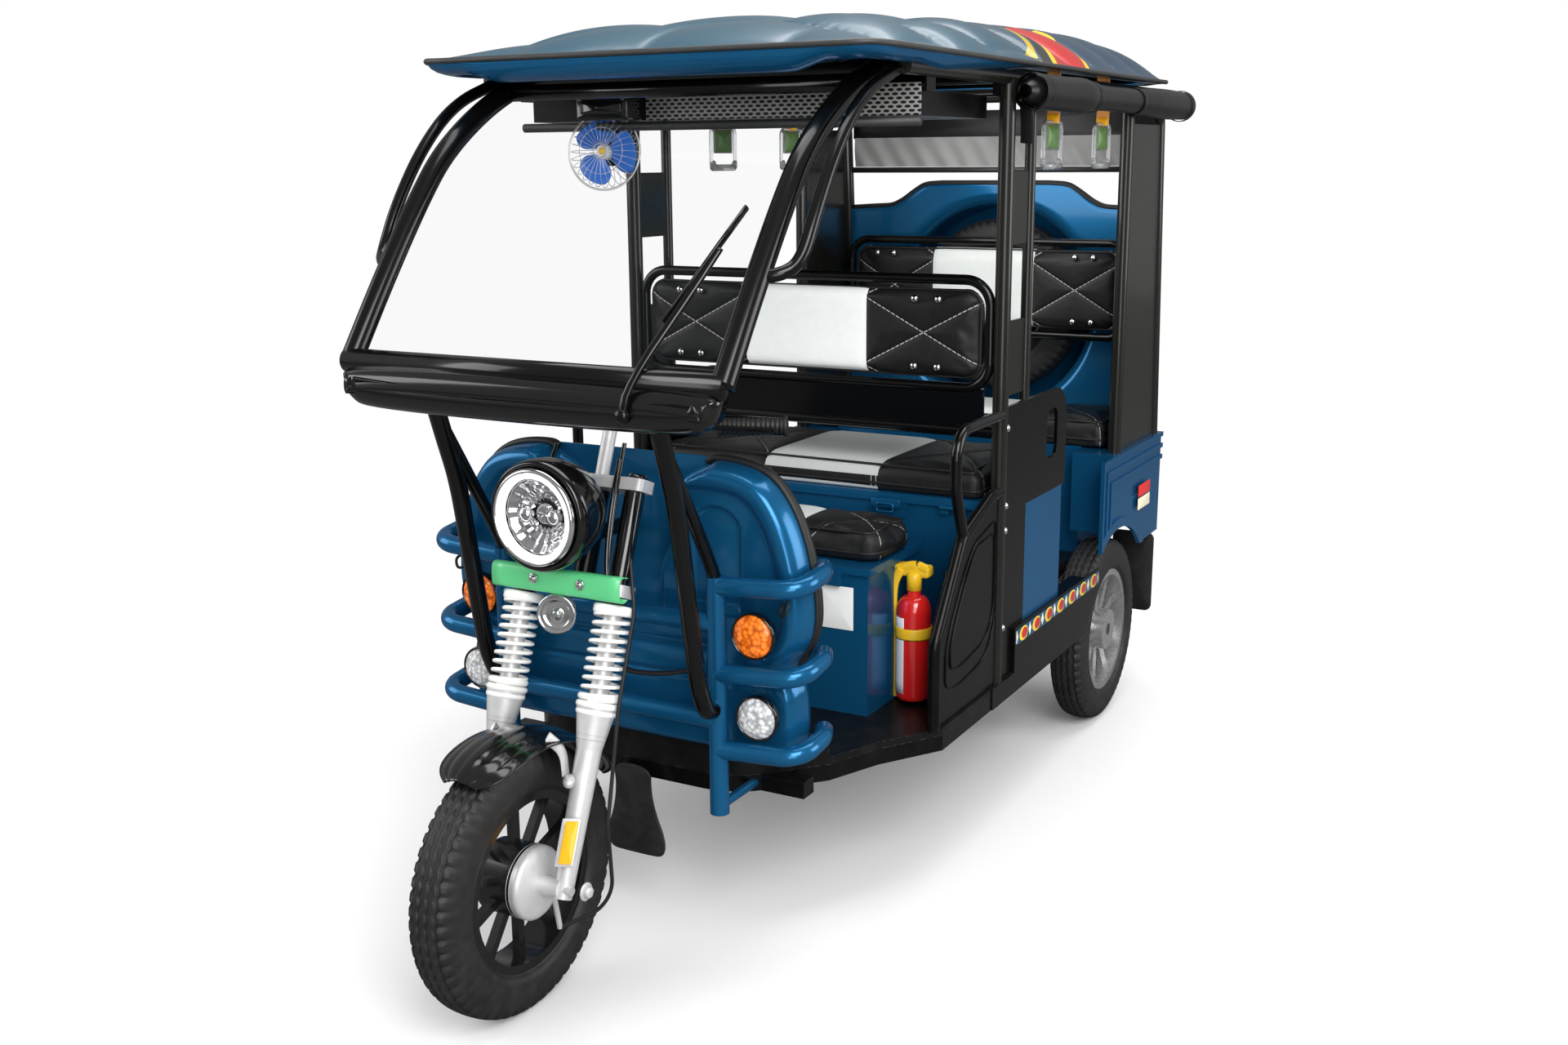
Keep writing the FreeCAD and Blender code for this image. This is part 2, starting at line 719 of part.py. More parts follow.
def rear_axle():
    """The drive: axle tube with two spindles, differential case and motor, in one block."""
    middle = at(0, REAR_AXLE_STATION, TYRE_RADIUS)
    inner = REAR_AXLE_X - REAR_HUB_WIDTH / 2 - CLAMP_GAP
    outer = REAR_AXLE_X + REAR_HUB_WIDTH / 2
    tube = rod(middle - V(inner, 0, 0), middle + V(inner, 0, 0), AXLE_TUBE_RADIUS)
    spindle = rod(middle - V(outer, 0, 0), middle + V(outer, 0, 0), REAR_SPINDLE_RADIUS)
    case = rod(middle - V(DRIVE_WIDTH / 2, 0, 0), middle + V(DRIVE_WIDTH / 2, 0, 0), DRIVE_RADIUS)
    motor_end = middle + V(DRIVE_WIDTH / 2 + MOTOR_LENGTH, 0, 0)
    motor_end.x = LEAF_X - LEAF_WIDTH / 2 - SPRING_PAD_HEIGHT
    motor = rod(middle, motor_end, MOTOR_RADIUS)
    pads = []
    for x in (LEAF_X, -LEAF_X):
        pads.append(box(x - LEAF_WIDTH / 2, x + LEAF_WIDTH / 2,
                        REAR_AXLE_STATION - AXLE_TUBE_RADIUS, REAR_AXLE_STATION + AXLE_TUBE_RADIUS,
                        TYRE_RADIUS, TYRE_RADIUS + AXLE_TUBE_RADIUS + SPRING_PAD_HEIGHT))
    return {"rear_axle": [joined([tube, spindle, case, motor] + pads)]}


def leaf_springs():
    """A pack of shorter and shorter arched leaves on each side, with hangers up to the rails."""
    seat = TYRE_RADIUS + AXLE_TUBE_RADIUS + SPRING_PAD_HEIGHT
    leaves = []
    for index in range(LEAF_COUNT):
        half = LEAF_HALF_LENGTH * (1 - LEAF_STEP_SHARE * (LEAF_COUNT - 1 - index))
        rise = LEAF_ARCH * (half / LEAF_HALF_LENGTH) ** 2
        low = seat + index * LEAF_THICKNESS
        ends = (REAR_AXLE_STATION - half, REAR_AXLE_STATION + half)
        x = LEAF_X - LEAF_WIDTH / 2
        under = Part.Arc(at(x, ends[0], low + rise), at(x, REAR_AXLE_STATION, low),
                         at(x, ends[1], low + rise))
        over = under.toShape().copy()
        over.translate(V(0, 0, LEAF_THICKNESS))
        sides = [Part.makeLine(at(x, end, low + rise),
                               at(x, end, low + rise + LEAF_THICKNESS)) for end in ends]
        outline = Part.Wire(Part.__sortEdges__([under.toShape(), over] + sides))
        leaves.append(Part.Face(outline).extrude(V(LEAF_WIDTH, 0, 0)))
    top = seat + LEAF_COUNT * LEAF_THICKNESS + LEAF_ARCH
    hangers = []
    for end in (REAR_AXLE_STATION - LEAF_HALF_LENGTH, REAR_AXLE_STATION + LEAF_HALF_LENGTH):
        eye = at(LEAF_X - LEAF_WIDTH / 2, end, top - LEAF_THICKNESS / 2)
        hangers.append(rod(eye, eye + V(LEAF_WIDTH, 0, 0), LEAF_EYE_RADIUS))
        hangers.append(box(LEAF_X - LEAF_WIDTH / 2, LEAF_X + LEAF_WIDTH / 2, end - HANGER_THICKNESS / 2,
                           end + HANGER_THICKNESS / 2, top, REAR_FLOOR_BOTTOM_Z - REAR_RAIL_HEIGHT))
    return {"leaf_springs": both(joined(leaves + hangers))}


def pan_outline(z, inset=0):
    """The floor's outline as seen from above, with a rounded nose, up to the kick."""
    half = [(PAN_NOSE_HALF_WIDTH, PAN_NOSE_STATION), (PAN_SHOULDER_HALF_WIDTH, PAN_SHOULDER_STATION),
            (PAN_WAIST_HALF_WIDTH, PAN_WAIST_STATION), (BODY_HALF_WIDTH - SHEET, PAN_FULL_STATION),
            (BODY_HALF_WIDTH - SHEET, PAN_KICK_STATION)]
    left = [at(x - inset, station + inset, z) for x, station in half[:-1]]
    left.append(at(half[-1][0] - inset, half[-1][1] - inset, z))
    right = [V(-p.x, p.y, p.z) for p in reversed(left)]
    return left + right


def pan_slab(z, height, inset=0):
    """The floor's outline as a slab whose two front corners are rounded."""
    slab = sheet(pan_outline(z, inset), V(0, 0, height))
    front = at(0, PAN_NOSE_STATION + inset, z).y
    corners = [edge for edge in slab.Edges
               if edge.BoundBox.YMax < front + FIT and edge.BoundBox.XLength < FIT]
    return slab.makeFillet(PAN_CORNER - inset, corners)


def rear_outline(x, z, height):
    """A rear slab between the wheels, from the kick to the tail."""
    return box(-x, x, PAN_KICK_STATION - RAIL_WIDTH, REAR_FLOOR_END_STATION, z, z + height)


def chassis_frame():
    """Welded rails: perimeter, cross members, the rear kick, head tube with its struts, bumper."""
    height = FLOOR_BOTTOM_Z - RAIL_BOTTOM_Z
    outer = pan_slab(RAIL_BOTTOM_Z, height)
    inner = pan_slab(RAIL_BOTTOM_Z - OVERRUN, height + OVERRUN + OVERRUN, RAIL_WIDTH)
    pieces = [outer.cut(inner)]
    for station in (PAN_FULL_STATION, BENCH_FRONT_STATION, BENCH_REAR_STATION):
        pieces.append(box(-BODY_HALF_WIDTH + RAIL_WIDTH, BODY_HALF_WIDTH - RAIL_WIDTH, station,
                          station + RAIL_WIDTH, RAIL_BOTTOM_Z, FLOOR_BOTTOM_Z))
    rear_low = REAR_FLOOR_BOTTOM_Z - REAR_RAIL_HEIGHT
    for x in (LEAF_X, -LEAF_X):
        pieces.append(box(x - RAIL_WIDTH / 2, x + RAIL_WIDTH / 2, PAN_KICK_STATION - RAIL_WIDTH,
                          REAR_FLOOR_END_STATION, rear_low, REAR_FLOOR_BOTTOM_Z))
        pieces.append(box(x - RAIL_WIDTH / 2, x + RAIL_WIDTH / 2, PAN_KICK_STATION - RAIL_WIDTH,
                          PAN_KICK_STATION, RAIL_BOTTOM_Z, REAR_FLOOR_BOTTOM_Z))
        stay = at(x, REAR_FLOOR_END_STATION - RAIL_WIDTH, REAR_FLOOR_BOTTOM_Z - REAR_RAIL_HEIGHT / 2)
        pieces.append(rod(stay, at(x, REAR_END_STATION - BUMPER_RADIUS, BUMPER_Z), BUMPER_RADIUS / 2))
    pieces.append(box(-LEAF_X, LEAF_X, REAR_FLOOR_END_STATION - RAIL_WIDTH, REAR_FLOOR_END_STATION,
                      rear_low, REAR_FLOOR_BOTTOM_Z))
    tail = REAR_END_STATION - BUMPER_RADIUS
    pieces.append(bent_tube([at(-BUMPER_HALF_WIDTH, REAR_BODY_REAR_STATION + BUMPER_RADIUS, BUMPER_Z),
                             at(-BUMPER_HALF_WIDTH, tail, BUMPER_Z), at(BUMPER_HALF_WIDTH, tail, BUMPER_Z),
                             at(BUMPER_HALF_WIDTH, REAR_BODY_REAR_STATION + BUMPER_RADIUS, BUMPER_Z)],
                            BUMPER_RADIUS, BUMPER_BEND))
    return {"chassis_frame": [joined(pieces + [steering_head()])]}


def steering_head():
    """The head tube between the fork clamps and the strut that carries it from the floor rails."""
    low, high = head_ends()
    outer = rod(low, high, STEM_RADIUS + HEAD_TUBE_WALL)
    bore = rod(low - AXIS * OVERRUN, high + AXIS * OVERRUN, STEM_RADIUS + SHAFT_CLEARANCE)
    middle = (low + high) / 2
    bend = at(0, HEAD_STRUT_STATION, middle.z)
    foot = at(0, HEAD_STRUT_STATION, RAIL_BOTTOM_Z + RAIL_WIDTH / 2)
    strut = bent_tube([middle, bend, foot], HEAD_STRUT_RADIUS, HEAD_STRUT_BEND)
    cross = box(-PAN_SHOULDER_HALF_WIDTH, PAN_SHOULDER_HALF_WIDTH, HEAD_STRUT_STATION - RAIL_WIDTH / 2,
                HEAD_STRUT_STATION + RAIL_WIDTH / 2, RAIL_BOTTOM_Z, FLOOR_BOTTOM_Z)
    return joined([outer, strut, cross]).cut(bore)


def head_ends():
    """The lower and upper end of the head tube on the steering axis."""
    gap = CLAMP_THICKNESS / 2 + CLAMP_GAP
    return stem_point(LOWER_CLAMP_Z) + AXIS * gap, stem_point(UPPER_CLAMP_Z) - AXIS * gap


def floor_pan(chassis):
    """The driver's and passengers' floor sheet, raised over the rear axle."""
    front = pan_slab(FLOOR_BOTTOM_Z, FLOOR_TOP_Z - FLOOR_BOTTOM_Z)
    rear = rear_outline(REAR_FLOOR_HALF_WIDTH, REAR_FLOOR_BOTTOM_Z, REAR_FLOOR_THICKNESS)
    riser = box(-REAR_FLOOR_HALF_WIDTH, REAR_FLOOR_HALF_WIDTH, PAN_KICK_STATION - RAIL_WIDTH - SHEET,
                PAN_KICK_STATION - RAIL_WIDTH, FLOOR_BOTTOM_Z, REAR_FLOOR_BOTTOM_Z + REAR_FLOOR_THICKNESS)
    height = NOSE_BOTTOM_Z - FIT - FLOOR_TOP_Z
    inside = pan_slab(FLOOR_TOP_Z, height, SHEET)
    ahead = box(-BODY_WIDTH, BODY_WIDTH, 0, PAN_SHOULDER_STATION, FLOOR_TOP_Z, NOSE_BOTTOM_Z)
    upstand = pan_slab(FLOOR_TOP_Z, height).cut(inside).common(ahead)
    return {"floor_pan": [joined([front, rear, riser, upstand]).cut(chassis)]}


def side_steps():
    """The sills under the passenger doorways, with a thin skin that runs over the rear tyre."""
    inner = BODY_HALF_WIDTH - STEP_DEPTH
    sill = box(inner, BODY_HALF_WIDTH, STEP_FRONT_STATION, STEP_END_STATION - FIT, FLOOR_TOP_Z, STEP_TOP_Z)
    hollow = box(inner - OVERRUN, BODY_HALF_WIDTH - SHEET, STEP_FRONT_STATION + SHEET,
                 STEP_END_STATION - SHEET, FLOOR_TOP_Z - OVERRUN, STEP_TOP_Z - SHEET)
    skin = sheet([at(BODY_HALF_WIDTH - SHEET, LEG_TOP_STATION, RAIL_BOTTOM_Z),
                  at(BODY_HALF_WIDTH - SHEET, STEP_END_STATION, RAIL_BOTTOM_Z),
                  at(BODY_HALF_WIDTH - SHEET, STEP_SKIN_END_STATION, STEP_TOP_Z - RAIL_WIDTH),
                  at(BODY_HALF_WIDTH - SHEET, STEP_SKIN_END_STATION, STEP_TOP_Z),
                  at(BODY_HALF_WIDTH - SHEET, STEP_FRONT_STATION, STEP_TOP_Z),
                  at(BODY_HALF_WIDTH - SHEET, STEP_FRONT_STATION, FLOOR_TOP_Z),
                  at(BODY_HALF_WIDTH - SHEET, LEG_TOP_STATION, FLOOR_TOP_Z)], V(SHEET, 0, 0))
    return {"side_steps": both(joined([sill.cut(hollow), skin]))}


def nose_outline(station, inset=0):
    """The shield's front outline: narrow foot, widest at the lamps, rounded top."""
    half = [(NOSE_FOOT_HALF_WIDTH, NOSE_BOTTOM_Z + inset), (NOSE_HALF_WIDTH, NOSE_WIDEST_Z),
            (NOSE_TOP_HALF_WIDTH, NOSE_TOP_Z - inset)]
    left = [at(x - inset, station, z) for x, z in half]
    return left + [V(-p.x, p.y, p.z) for p in reversed(left)]


def nose_block(inset):
    """The solid form of the shield, its front edges rounded, less the slanted steering channel."""
    depth = V(0, NOSE_BACK_STATION - NOSE_FACE_STATION - inset + (OVERRUN if inset else 0), 0)
    front = NOSE_FACE_STATION + inset
    block = sheet(nose_outline(front, inset), depth, NOSE_CORNER - inset)
    face_y = at(0, front, 0).y
    edges = [edge for edge in block.Edges if abs(edge.CenterOfMass.y - face_y) < FIT]
    block = block.makeFillet(NOSE_EDGE_RADIUS - inset, edges)
    half = NOSE_LOBE_HALF_WIDTH + inset
    low, high = NOSE_WIDEST_Z - RAIL_WIDTH, NOSE_TOP_Z + OVERRUN
    behind = FORK_OFFSET + NOSE_CHANNEL_OFFSET + inset
    channel = sheet([leg_point(half, low, behind), leg_point(half, high, behind),
                     at(half, NOSE_FACE_STATION - RAIL_WIDTH, high),
                     at(half, NOSE_FACE_STATION - RAIL_WIDTH, low)], V(-half - half, 0, 0))
    return block.cut(channel)


def nose_panel(chassis, floor):
    """The pressed shield under the lamps, a shell with a channel for the steering and a skirt below."""
    shell = nose_block(0).cut(nose_block(PANEL_WALL))
    skirt = box(-NOSE_FOOT_HALF_WIDTH + NOSE_CORNER, NOSE_FOOT_HALF_WIDTH - NOSE_CORNER,
                NOSE_BACK_STATION - PANEL_WALL, NOSE_BACK_STATION, FLOOR_TOP_Z, NOSE_BOTTOM_Z + PANEL_WALL)
    shell = joined([shell, skirt])
    middle = (head_ends()[0] + head_ends()[1]) / 2
    hole = rod(middle, middle + V(0, NOSE_BACK_STATION, 0), HEAD_STRUT_RADIUS + FIT)
    return {"nose_panel": [without(shell, hole, chassis, floor)]}


def guard_hoop(z):
    """One bar of the crash guard, from the front post round the corner to the nose's back edge."""
    inner = at(GUARD_INNER_X, GUARD_FRONT_STATION, z)
    knee = at(GUARD_SIDE_X, GUARD_FRONT_STATION, z + GUARD_RISE / 2)
    end = at(GUARD_SIDE_X, GUARD_END_STATION, z + GUARD_RISE)
    inward = at(NOSE_HALF_WIDTH + PANEL_WALL, GUARD_END_STATION + GUARD_BEND / 2, z + GUARD_RISE)
    return bent_tube([inner, knee, end, inward], GUARD_RADIUS, GUARD_BEND)


def crash_guard(nose, chassis):
    """Three hoops each side on upright posts, joined by two bars behind the fork."""
    pieces = [guard_hoop(z) for z in (GUARD_TOP_Z, GUARD_MIDDLE_Z, GUARD_LOW_Z)]
    top = at(GUARD_INNER_X, GUARD_FRONT_STATION, GUARD_TOP_Z + GUARD_RADIUS)
    foot = at(GUARD_INNER_X, GUARD_FRONT_STATION, GUARD_POST_FOOT_Z)
    pieces.append(rod(foot, top, GUARD_RADIUS))
    stay_z = (RAIL_BOTTOM_Z + FLOOR_BOTTOM_Z) / 2
    pieces.append(rod(at(GUARD_INNER_X, GUARD_FRONT_STATION, stay_z),
                      at(GUARD_INNER_X, PAN_NOSE_STATION + RAIL_WIDTH, stay_z), GUARD_RADIUS / 2))
    sides = both(joined(pieces))
    bars = [rod(at(-GUARD_INNER_X, GUARD_FRONT_STATION, z), at(GUARD_INNER_X, GUARD_FRONT_STATION, z),
                GUARD_RADIUS)
            for z in (GUARD_CENTRE_TOP_Z, GUARD_CENTRE_LOW_Z)]
    return {"crash_guard": [without(joined(sides + bars), nose, chassis)]}


def front_cage(guard, screen):
    """Black stays from the screen bar down past the lamp to the guard's posts."""
    front = bent_tube([at(CAGE_X, CAGE_TOP_STATION, SCREEN_BAR_Z - SCREEN_BAR_RADIUS),
                       at(CAGE_X, CAGE_KNEE_STATION, CAGE_KNEE_Z),
                       at(CAGE_X, CAGE_FOOT_STATION, CAGE_FOOT_Z),
                       at(CAGE_X, GUARD_FRONT_STATION - GUARD_RADIUS, CAGE_HEEL_Z)], CAGE_RADIUS, CAGE_BEND)
    knee_share = (CAGE_BRACE_TOP_Z - CAGE_KNEE_Z) / (SCREEN_BAR_Z - SCREEN_BAR_RADIUS - CAGE_KNEE_Z)
    top_station = CAGE_KNEE_STATION + (CAGE_TOP_STATION - CAGE_KNEE_STATION) * knee_share
    low_end = at(CAGE_X, GUARD_FRONT_STATION, GUARD_TOP_Z + GUARD_RADIUS + CAGE_BRACE_RADIUS)
    brace = rod(at(CAGE_X, top_station, CAGE_BRACE_TOP_Z), low_end, CAGE_BRACE_RADIUS)
    post = rod(at(CAGE_X, GUARD_FRONT_STATION, GUARD_TOP_Z + GUARD_RADIUS + CAGE_BRACE_RADIUS),
               at(CAGE_X, GUARD_FRONT_STATION, GUARD_TOP_Z), CAGE_BRACE_RADIUS)
    side = joined([front, brace, post])
    return {"front_cage": [without(piece, guard, screen) for piece in both(side)]}


def screen_path():
    """The windscreen's bowed side line, from the bottom bar to the roof rail."""
    return [(SCREEN_BAR_STATION, SCREEN_BAR_Z), (SCREEN_LOW_BEND_STATION, SCREEN_LOW_BEND_Z),
            (SCREEN_HIGH_BEND_STATION, SCREEN_HIGH_BEND_Z), (SCREEN_TOP_STATION, SCREEN_TOP_Z),
            (ROOF_RAIL_FRONT_STATION + RAIL_WIDTH, ROOF_RAIL_Z)]


def windscreen_frame():
    """Bottom bar, bowed side tubes, a top bar, and a visor hoop outboard of each side tube."""
    pieces = [rod(at(-SCREEN_HALF_WIDTH, SCREEN_BAR_STATION, SCREEN_BAR_Z),
                  at(SCREEN_HALF_WIDTH, SCREEN_BAR_STATION, SCREEN_BAR_Z), SCREEN_BAR_RADIUS),
              rod(at(-SCREEN_HALF_WIDTH, SCREEN_TOP_STATION, SCREEN_TOP_Z),
                  at(SCREEN_HALF_WIDTH, SCREEN_TOP_STATION, SCREEN_TOP_Z), SCREEN_TUBE_RADIUS)]
    side = [at(SCREEN_HALF_WIDTH, station, z) for station, z in screen_path()]
    tube = bent_tube(side, SCREEN_TUBE_RADIUS, SCREEN_BEND)
    hoop = bent_tube([at(SCREEN_HALF_WIDTH, HOOP_LOW_STATION, HOOP_LOW_Z),
                      at(HOOP_OUT_X, HOOP_OUT_STATION, HOOP_OUT_Z),
                      at(HOOP_OUT_X, HOOP_HIGH_STATION, HOOP_HIGH_Z),
                      at(HOOP_OUT_X, ROOF_RAIL_FRONT_STATION, ROOF_RAIL_Z - ROOF_RAIL_RADIUS)],
                     HOOP_RADIUS, HOOP_BEND)
    for piece in (tube, hoop):
        pieces += both(piece)
    return {"windscreen_frame": [joined(pieces)]}


def windscreen_glass(frame):
    """A bowed pane between the bars and side tubes."""
    half = SCREEN_HALF_WIDTH - SCREEN_TUBE_RADIUS - GLASS_MARGIN
    line = [at(-half, station, z) for station, z in screen_path()[:-1]]
    front = path_edges(line, SCREEN_BEND)
    back = [edge.copy() for edge in front]
    for edge in back:
        edge.translate(V(0, GLASS_THICKNESS, 0))
    ends = [Part.makeLine(p, p + V(0, GLASS_THICKNESS, 0)) for p in (line[0], line[-1])]
    outline = Part.Wire(Part.__sortEdges__(front + back + ends))
    pane = Part.Face(outline).extrude(V(half + half, 0, 0))
    return {"windscreen_glass": [pane.cut(frame)]}


def front_fascia(frame, cage):
    """The black blank board under the screen bar, its lower corners rounded."""
    low = FASCIA_BOTTOM_Z
    top = SCREEN_BAR_Z
    half = SCREEN_HALF_WIDTH
    station = SCREEN_BAR_STATION - FASCIA_THICKNESS / 2
    lower = [at(half, station - FASCIA_LEAN, low), at(-half, station - FASCIA_LEAN, low)]
    points = [at(half, station, top)] + lower + [at(-half, station, top)]
    board = sheet(points, V(0, FASCIA_THICKNESS, 0))
    uprights = [edge for edge in board.Edges if abs(edge.CenterOfMass.z - low) < FIT and edge.Length < half]
    board = board.makeFillet(FASCIA_CORNER, uprights)
    return {"front_fascia": [without(board, frame, cage)]}


def wiper(frame, fascia):
    """A pivot boss under the bar, an arm and a blade that lie just in front of the pane."""
    station = SCREEN_BAR_STATION - SCREEN_BAR_RADIUS - WIPER_RADIUS - WIPER_RADIUS
    lean = FASCIA_LEAN * (SCREEN_BAR_Z - WIPER_PIVOT_Z) / (SCREEN_BAR_Z - FASCIA_BOTTOM_Z)
    pivot = at(WIPER_X, SCREEN_BAR_STATION - FASCIA_THICKNESS / 2 - lean, WIPER_PIVOT_Z)
    hub = rod(pivot - V(0, WIPER_HUB_DEPTH, 0), pivot + V(0, OVERRUN, 0), WIPER_HUB_RADIUS)
    lead = WIPER_HUB_DEPTH / 2
    low_bend = at(WIPER_X + WIPER_RADIUS, station - lead, SCREEN_BAR_Z)
    gap = SCREEN_TUBE_RADIUS + WIPER_RADIUS
    reach = [at(WIPER_TIP_X, SCREEN_LOW_BEND_STATION - gap, SCREEN_LOW_BEND_Z)]
    arm = bent_tube([pivot - V(0, lead, 0), low_bend] + reach, WIPER_RADIUS, CAGE_RADIUS)
    direction = reach[0] - low_bend
    start = low_bend + direction * BLADE_START_SHARE
    end = low_bend + direction * BLADE_END_SHARE
    blade = rod(start, end, BLADE_WIDTH / 2)
    return {"wiper": [without(joined([hub, arm, blade]), frame, fascia)]}


def roof_block(drop):
    """A crowned block: an arch across the width, with a ramp at the front and at the rear."""
    rim = ROOF_RIM_Z - drop
    half = ROOF_HALF_WIDTH
    arch = Part.Arc(at(half, ROOF_FRONT_STATION, rim), at(0, ROOF_FRONT_STATION, rim + ROOF_CROWN),
                    at(-half, ROOF_FRONT_STATION, rim)).toShape()
    base = Part.makeLine(at(-half, ROOF_FRONT_STATION, rim), at(half, ROOF_FRONT_STATION, rim))
    vault = Part.Face(Part.Wire([arch, base])).extrude(V(0, ROOF_REAR_STATION - ROOF_FRONT_STATION, 0))
    side = sheet([at(-half, ROOF_FRONT_STATION, rim),
                  at(-half, ROOF_FRONT_STATION + ROOF_FRONT_RAMP, rim + ROOF_CROWN),
                  at(-half, ROOF_REAR_STATION - ROOF_REAR_RAMP, rim + ROOF_CROWN),
                  at(-half, ROOF_REAR_STATION, rim)], V(half + half, 0, 0))
    return vault.common(side)


def roof_shell(frame):
    """The crowned roof sheet on a rim band, hollow below."""
    crown = roof_block(0).cut(roof_block(ROOF_WALL))
    half = ROOF_HALF_WIDTH
    band = box(-half, half, ROOF_FRONT_STATION, ROOF_REAR_STATION, ROOF_RIM_Z - ROOF_RIM_HEIGHT, ROOF_RIM_Z)
    inside = box(-half + RAIL_WIDTH, half - RAIL_WIDTH, ROOF_FRONT_STATION + RAIL_WIDTH,
                 ROOF_REAR_STATION - RAIL_WIDTH, ROOF_RIM_Z - ROOF_RIM_HEIGHT - OVERRUN,
                 ROOF_RIM_Z + OVERRUN)
    uprights = [edge for edge in band.Edges if abs(edge.Vertexes[0].Z - edge.Vertexes[1].Z) > FIT]
    band = band.makeFillet(ROOF_CORNER, uprights)
    corners = box(-half, half, ROOF_FRONT_STATION, ROOF_REAR_STATION, ROOF_RIM_Z - OVERRUN,
                  ROOF_RIM_Z + ROOF_CROWN)
    uprights = [edge for edge in corners.Edges if abs(edge.Vertexes[0].Z - edge.Vertexes[1].Z) > FIT]
    corners = corners.makeFillet(ROOF_CORNER, uprights)
    return {"roof_shell": [joined([crown.common(corners), band.cut(inside)]).cut(frame)]}


def canopy_frame():
    """Black pillars, the loop behind each front pillar, and the roof rails with their cross bars."""
    rail = rod(at(ROOF_RAIL_X, ROOF_RAIL_FRONT_STATION, ROOF_RAIL_Z),
               at(ROOF_RAIL_X, ROOF_RAIL_REAR_STATION, ROOF_RAIL_Z), ROOF_RAIL_RADIUS)
    pieces = both(rail)
    for station in (ROOF_RAIL_FRONT_STATION + RAIL_WIDTH, B_PILLAR_STATION, C_PILLAR_STATION,
                    ROOF_RAIL_REAR_STATION - ROOF_RAIL_RADIUS):
        pieces.append(rod(at(-ROOF_RAIL_X, station, ROOF_RAIL_Z), at(ROOF_RAIL_X, station, ROOF_RAIL_Z),
                          CROSS_RADIUS))
    front = rod(at(PILLAR_X, B_PILLAR_STATION, FLOOR_TOP_Z), at(PILLAR_X, B_PILLAR_STATION, ROOF_RAIL_Z),
                PILLAR_RADIUS)
    loop = bent_tube([at(PILLAR_X, B_LOOP_STATION, GATE_TOP_Z), at(PILLAR_X, B_LOOP_STATION, B_LOOP_TOP_Z),
                      at(PILLAR_X, B_PILLAR_STATION, B_LOOP_TOP_Z)], B_LOOP_RADIUS, B_LOOP_BEND)
    middle = rod(at(PILLAR_X, C_PILLAR_STATION, PILLAR_FOOT_Z), at(PILLAR_X, C_PILLAR_STATION, ROOF_RAIL_Z),
                 PILLAR_RADIUS)
    rear = bent_tube([at(PILLAR_X, D_FOOT_STATION, PILLAR_FOOT_Z),
                      at(PILLAR_X, D_TOP_STATION, ROLL_Z - ROLL_RADIUS),
                      at(ROOF_RAIL_X, ROOF_RAIL_REAR_STATION - ROOF_RAIL_RADIUS, ROOF_RAIL_Z)],
                     PILLAR_RADIUS - FIT, RAIL_WIDTH)
    plates = []
    for low, height in ((B_PLATE_FIRST_Z, B_PLATE_FIRST_HEIGHT), (B_PLATE_SECOND_Z, B_PLATE_SECOND_HEIGHT)):
        plates.append(box(PILLAR_X - B_PLATE_THICKNESS / 2, PILLAR_X + B_PLATE_THICKNESS / 2,
                          B_PILLAR_STATION,
                          B_LOOP_STATION, low, low + height))
    for shape in (front, loop, middle, rear, joined(plates)):
        pieces += both(shape)
    return {"canopy_frame": [joined(pieces)]}


def roof_tray(canopy):
    """A shallow tray with mesh walls that hangs under the roof behind the screen."""
    outer = box(-TRAY_HALF_WIDTH, TRAY_HALF_WIDTH, TRAY_FRONT_STATION, TRAY_REAR_STATION,
                TRAY_BOTTOM_Z, TRAY_BOTTOM_Z + TRAY_HEIGHT)
    inner = box(TRAY_WALL - TRAY_HALF_WIDTH, TRAY_HALF_WIDTH - TRAY_WALL, TRAY_FRONT_STATION + TRAY_WALL,
                TRAY_REAR_STATION - TRAY_WALL, TRAY_BOTTOM_Z + TRAY_WALL,
                TRAY_BOTTOM_Z + TRAY_HEIGHT + OVERRUN)
    ears = []
    for station in (TRAY_FRONT_STATION, TRAY_REAR_STATION - RAIL_WIDTH):
        ears += both(box(TRAY_HALF_WIDTH - TRAY_WALL, ROOF_RAIL_X, station, station + RAIL_WIDTH,
                         TRAY_BOTTOM_Z + TRAY_HEIGHT - TRAY_WALL, TRAY_BOTTOM_Z + TRAY_HEIGHT))
        ears += both(box(ROOF_RAIL_X - TRAY_WALL, ROOF_RAIL_X, station, station + RAIL_WIDTH,
                         TRAY_BOTTOM_Z + TRAY_HEIGHT - TRAY_WALL, ROOF_RAIL_Z))
    return {"roof_tray": [joined([outer.cut(inner)] + ears).cut(canopy)]}


def side_sheet(points, corner_radius=0):
    """A flat side panel, its outer face on the panel line, from (station, z) points."""
    low = PANEL_X - PANEL_THICKNESS / 2
    return sheet([at(low, station, z) for station, z in points], V(PANEL_THICKNESS, 0, 0), corner_radius)


def leg_panels(canopy, steps):
    """Black boards beside the driver's legs, edged by a bent tube."""
    front = [(LEG_FRONT_STATION, FLOOR_TOP_Z), (LEG_FRONT_STATION, LEG_KNEE_Z),
             (LEG_SLOPE_STATION, LEG_SLOPE_Z), (LEG_TOP_STATION, LEG_TOP_Z)]
    rear = LOWER_PANEL_FRONT_STATION - FIT
    skirt = [(rear, GATE_LOW_Z - FIT), (rear, STEP_TOP_Z), (STEP_FRONT_STATION - FIT, STEP_TOP_Z),
             (STEP_FRONT_STATION - FIT, FLOOR_TOP_Z)]
    front.append((B_PILLAR_STATION, LEG_TOP_Z))
    board = side_sheet(front + [(B_PILLAR_STATION, GATE_LOW_Z - FIT)] + skirt)
    edge = bent_tube([at(PANEL_X, station, z) for station, z in front], LEG_EDGE_RADIUS, LEG_CORNER)
    return {"leg_panels": both(without(joined([board, edge]), canopy, steps))}


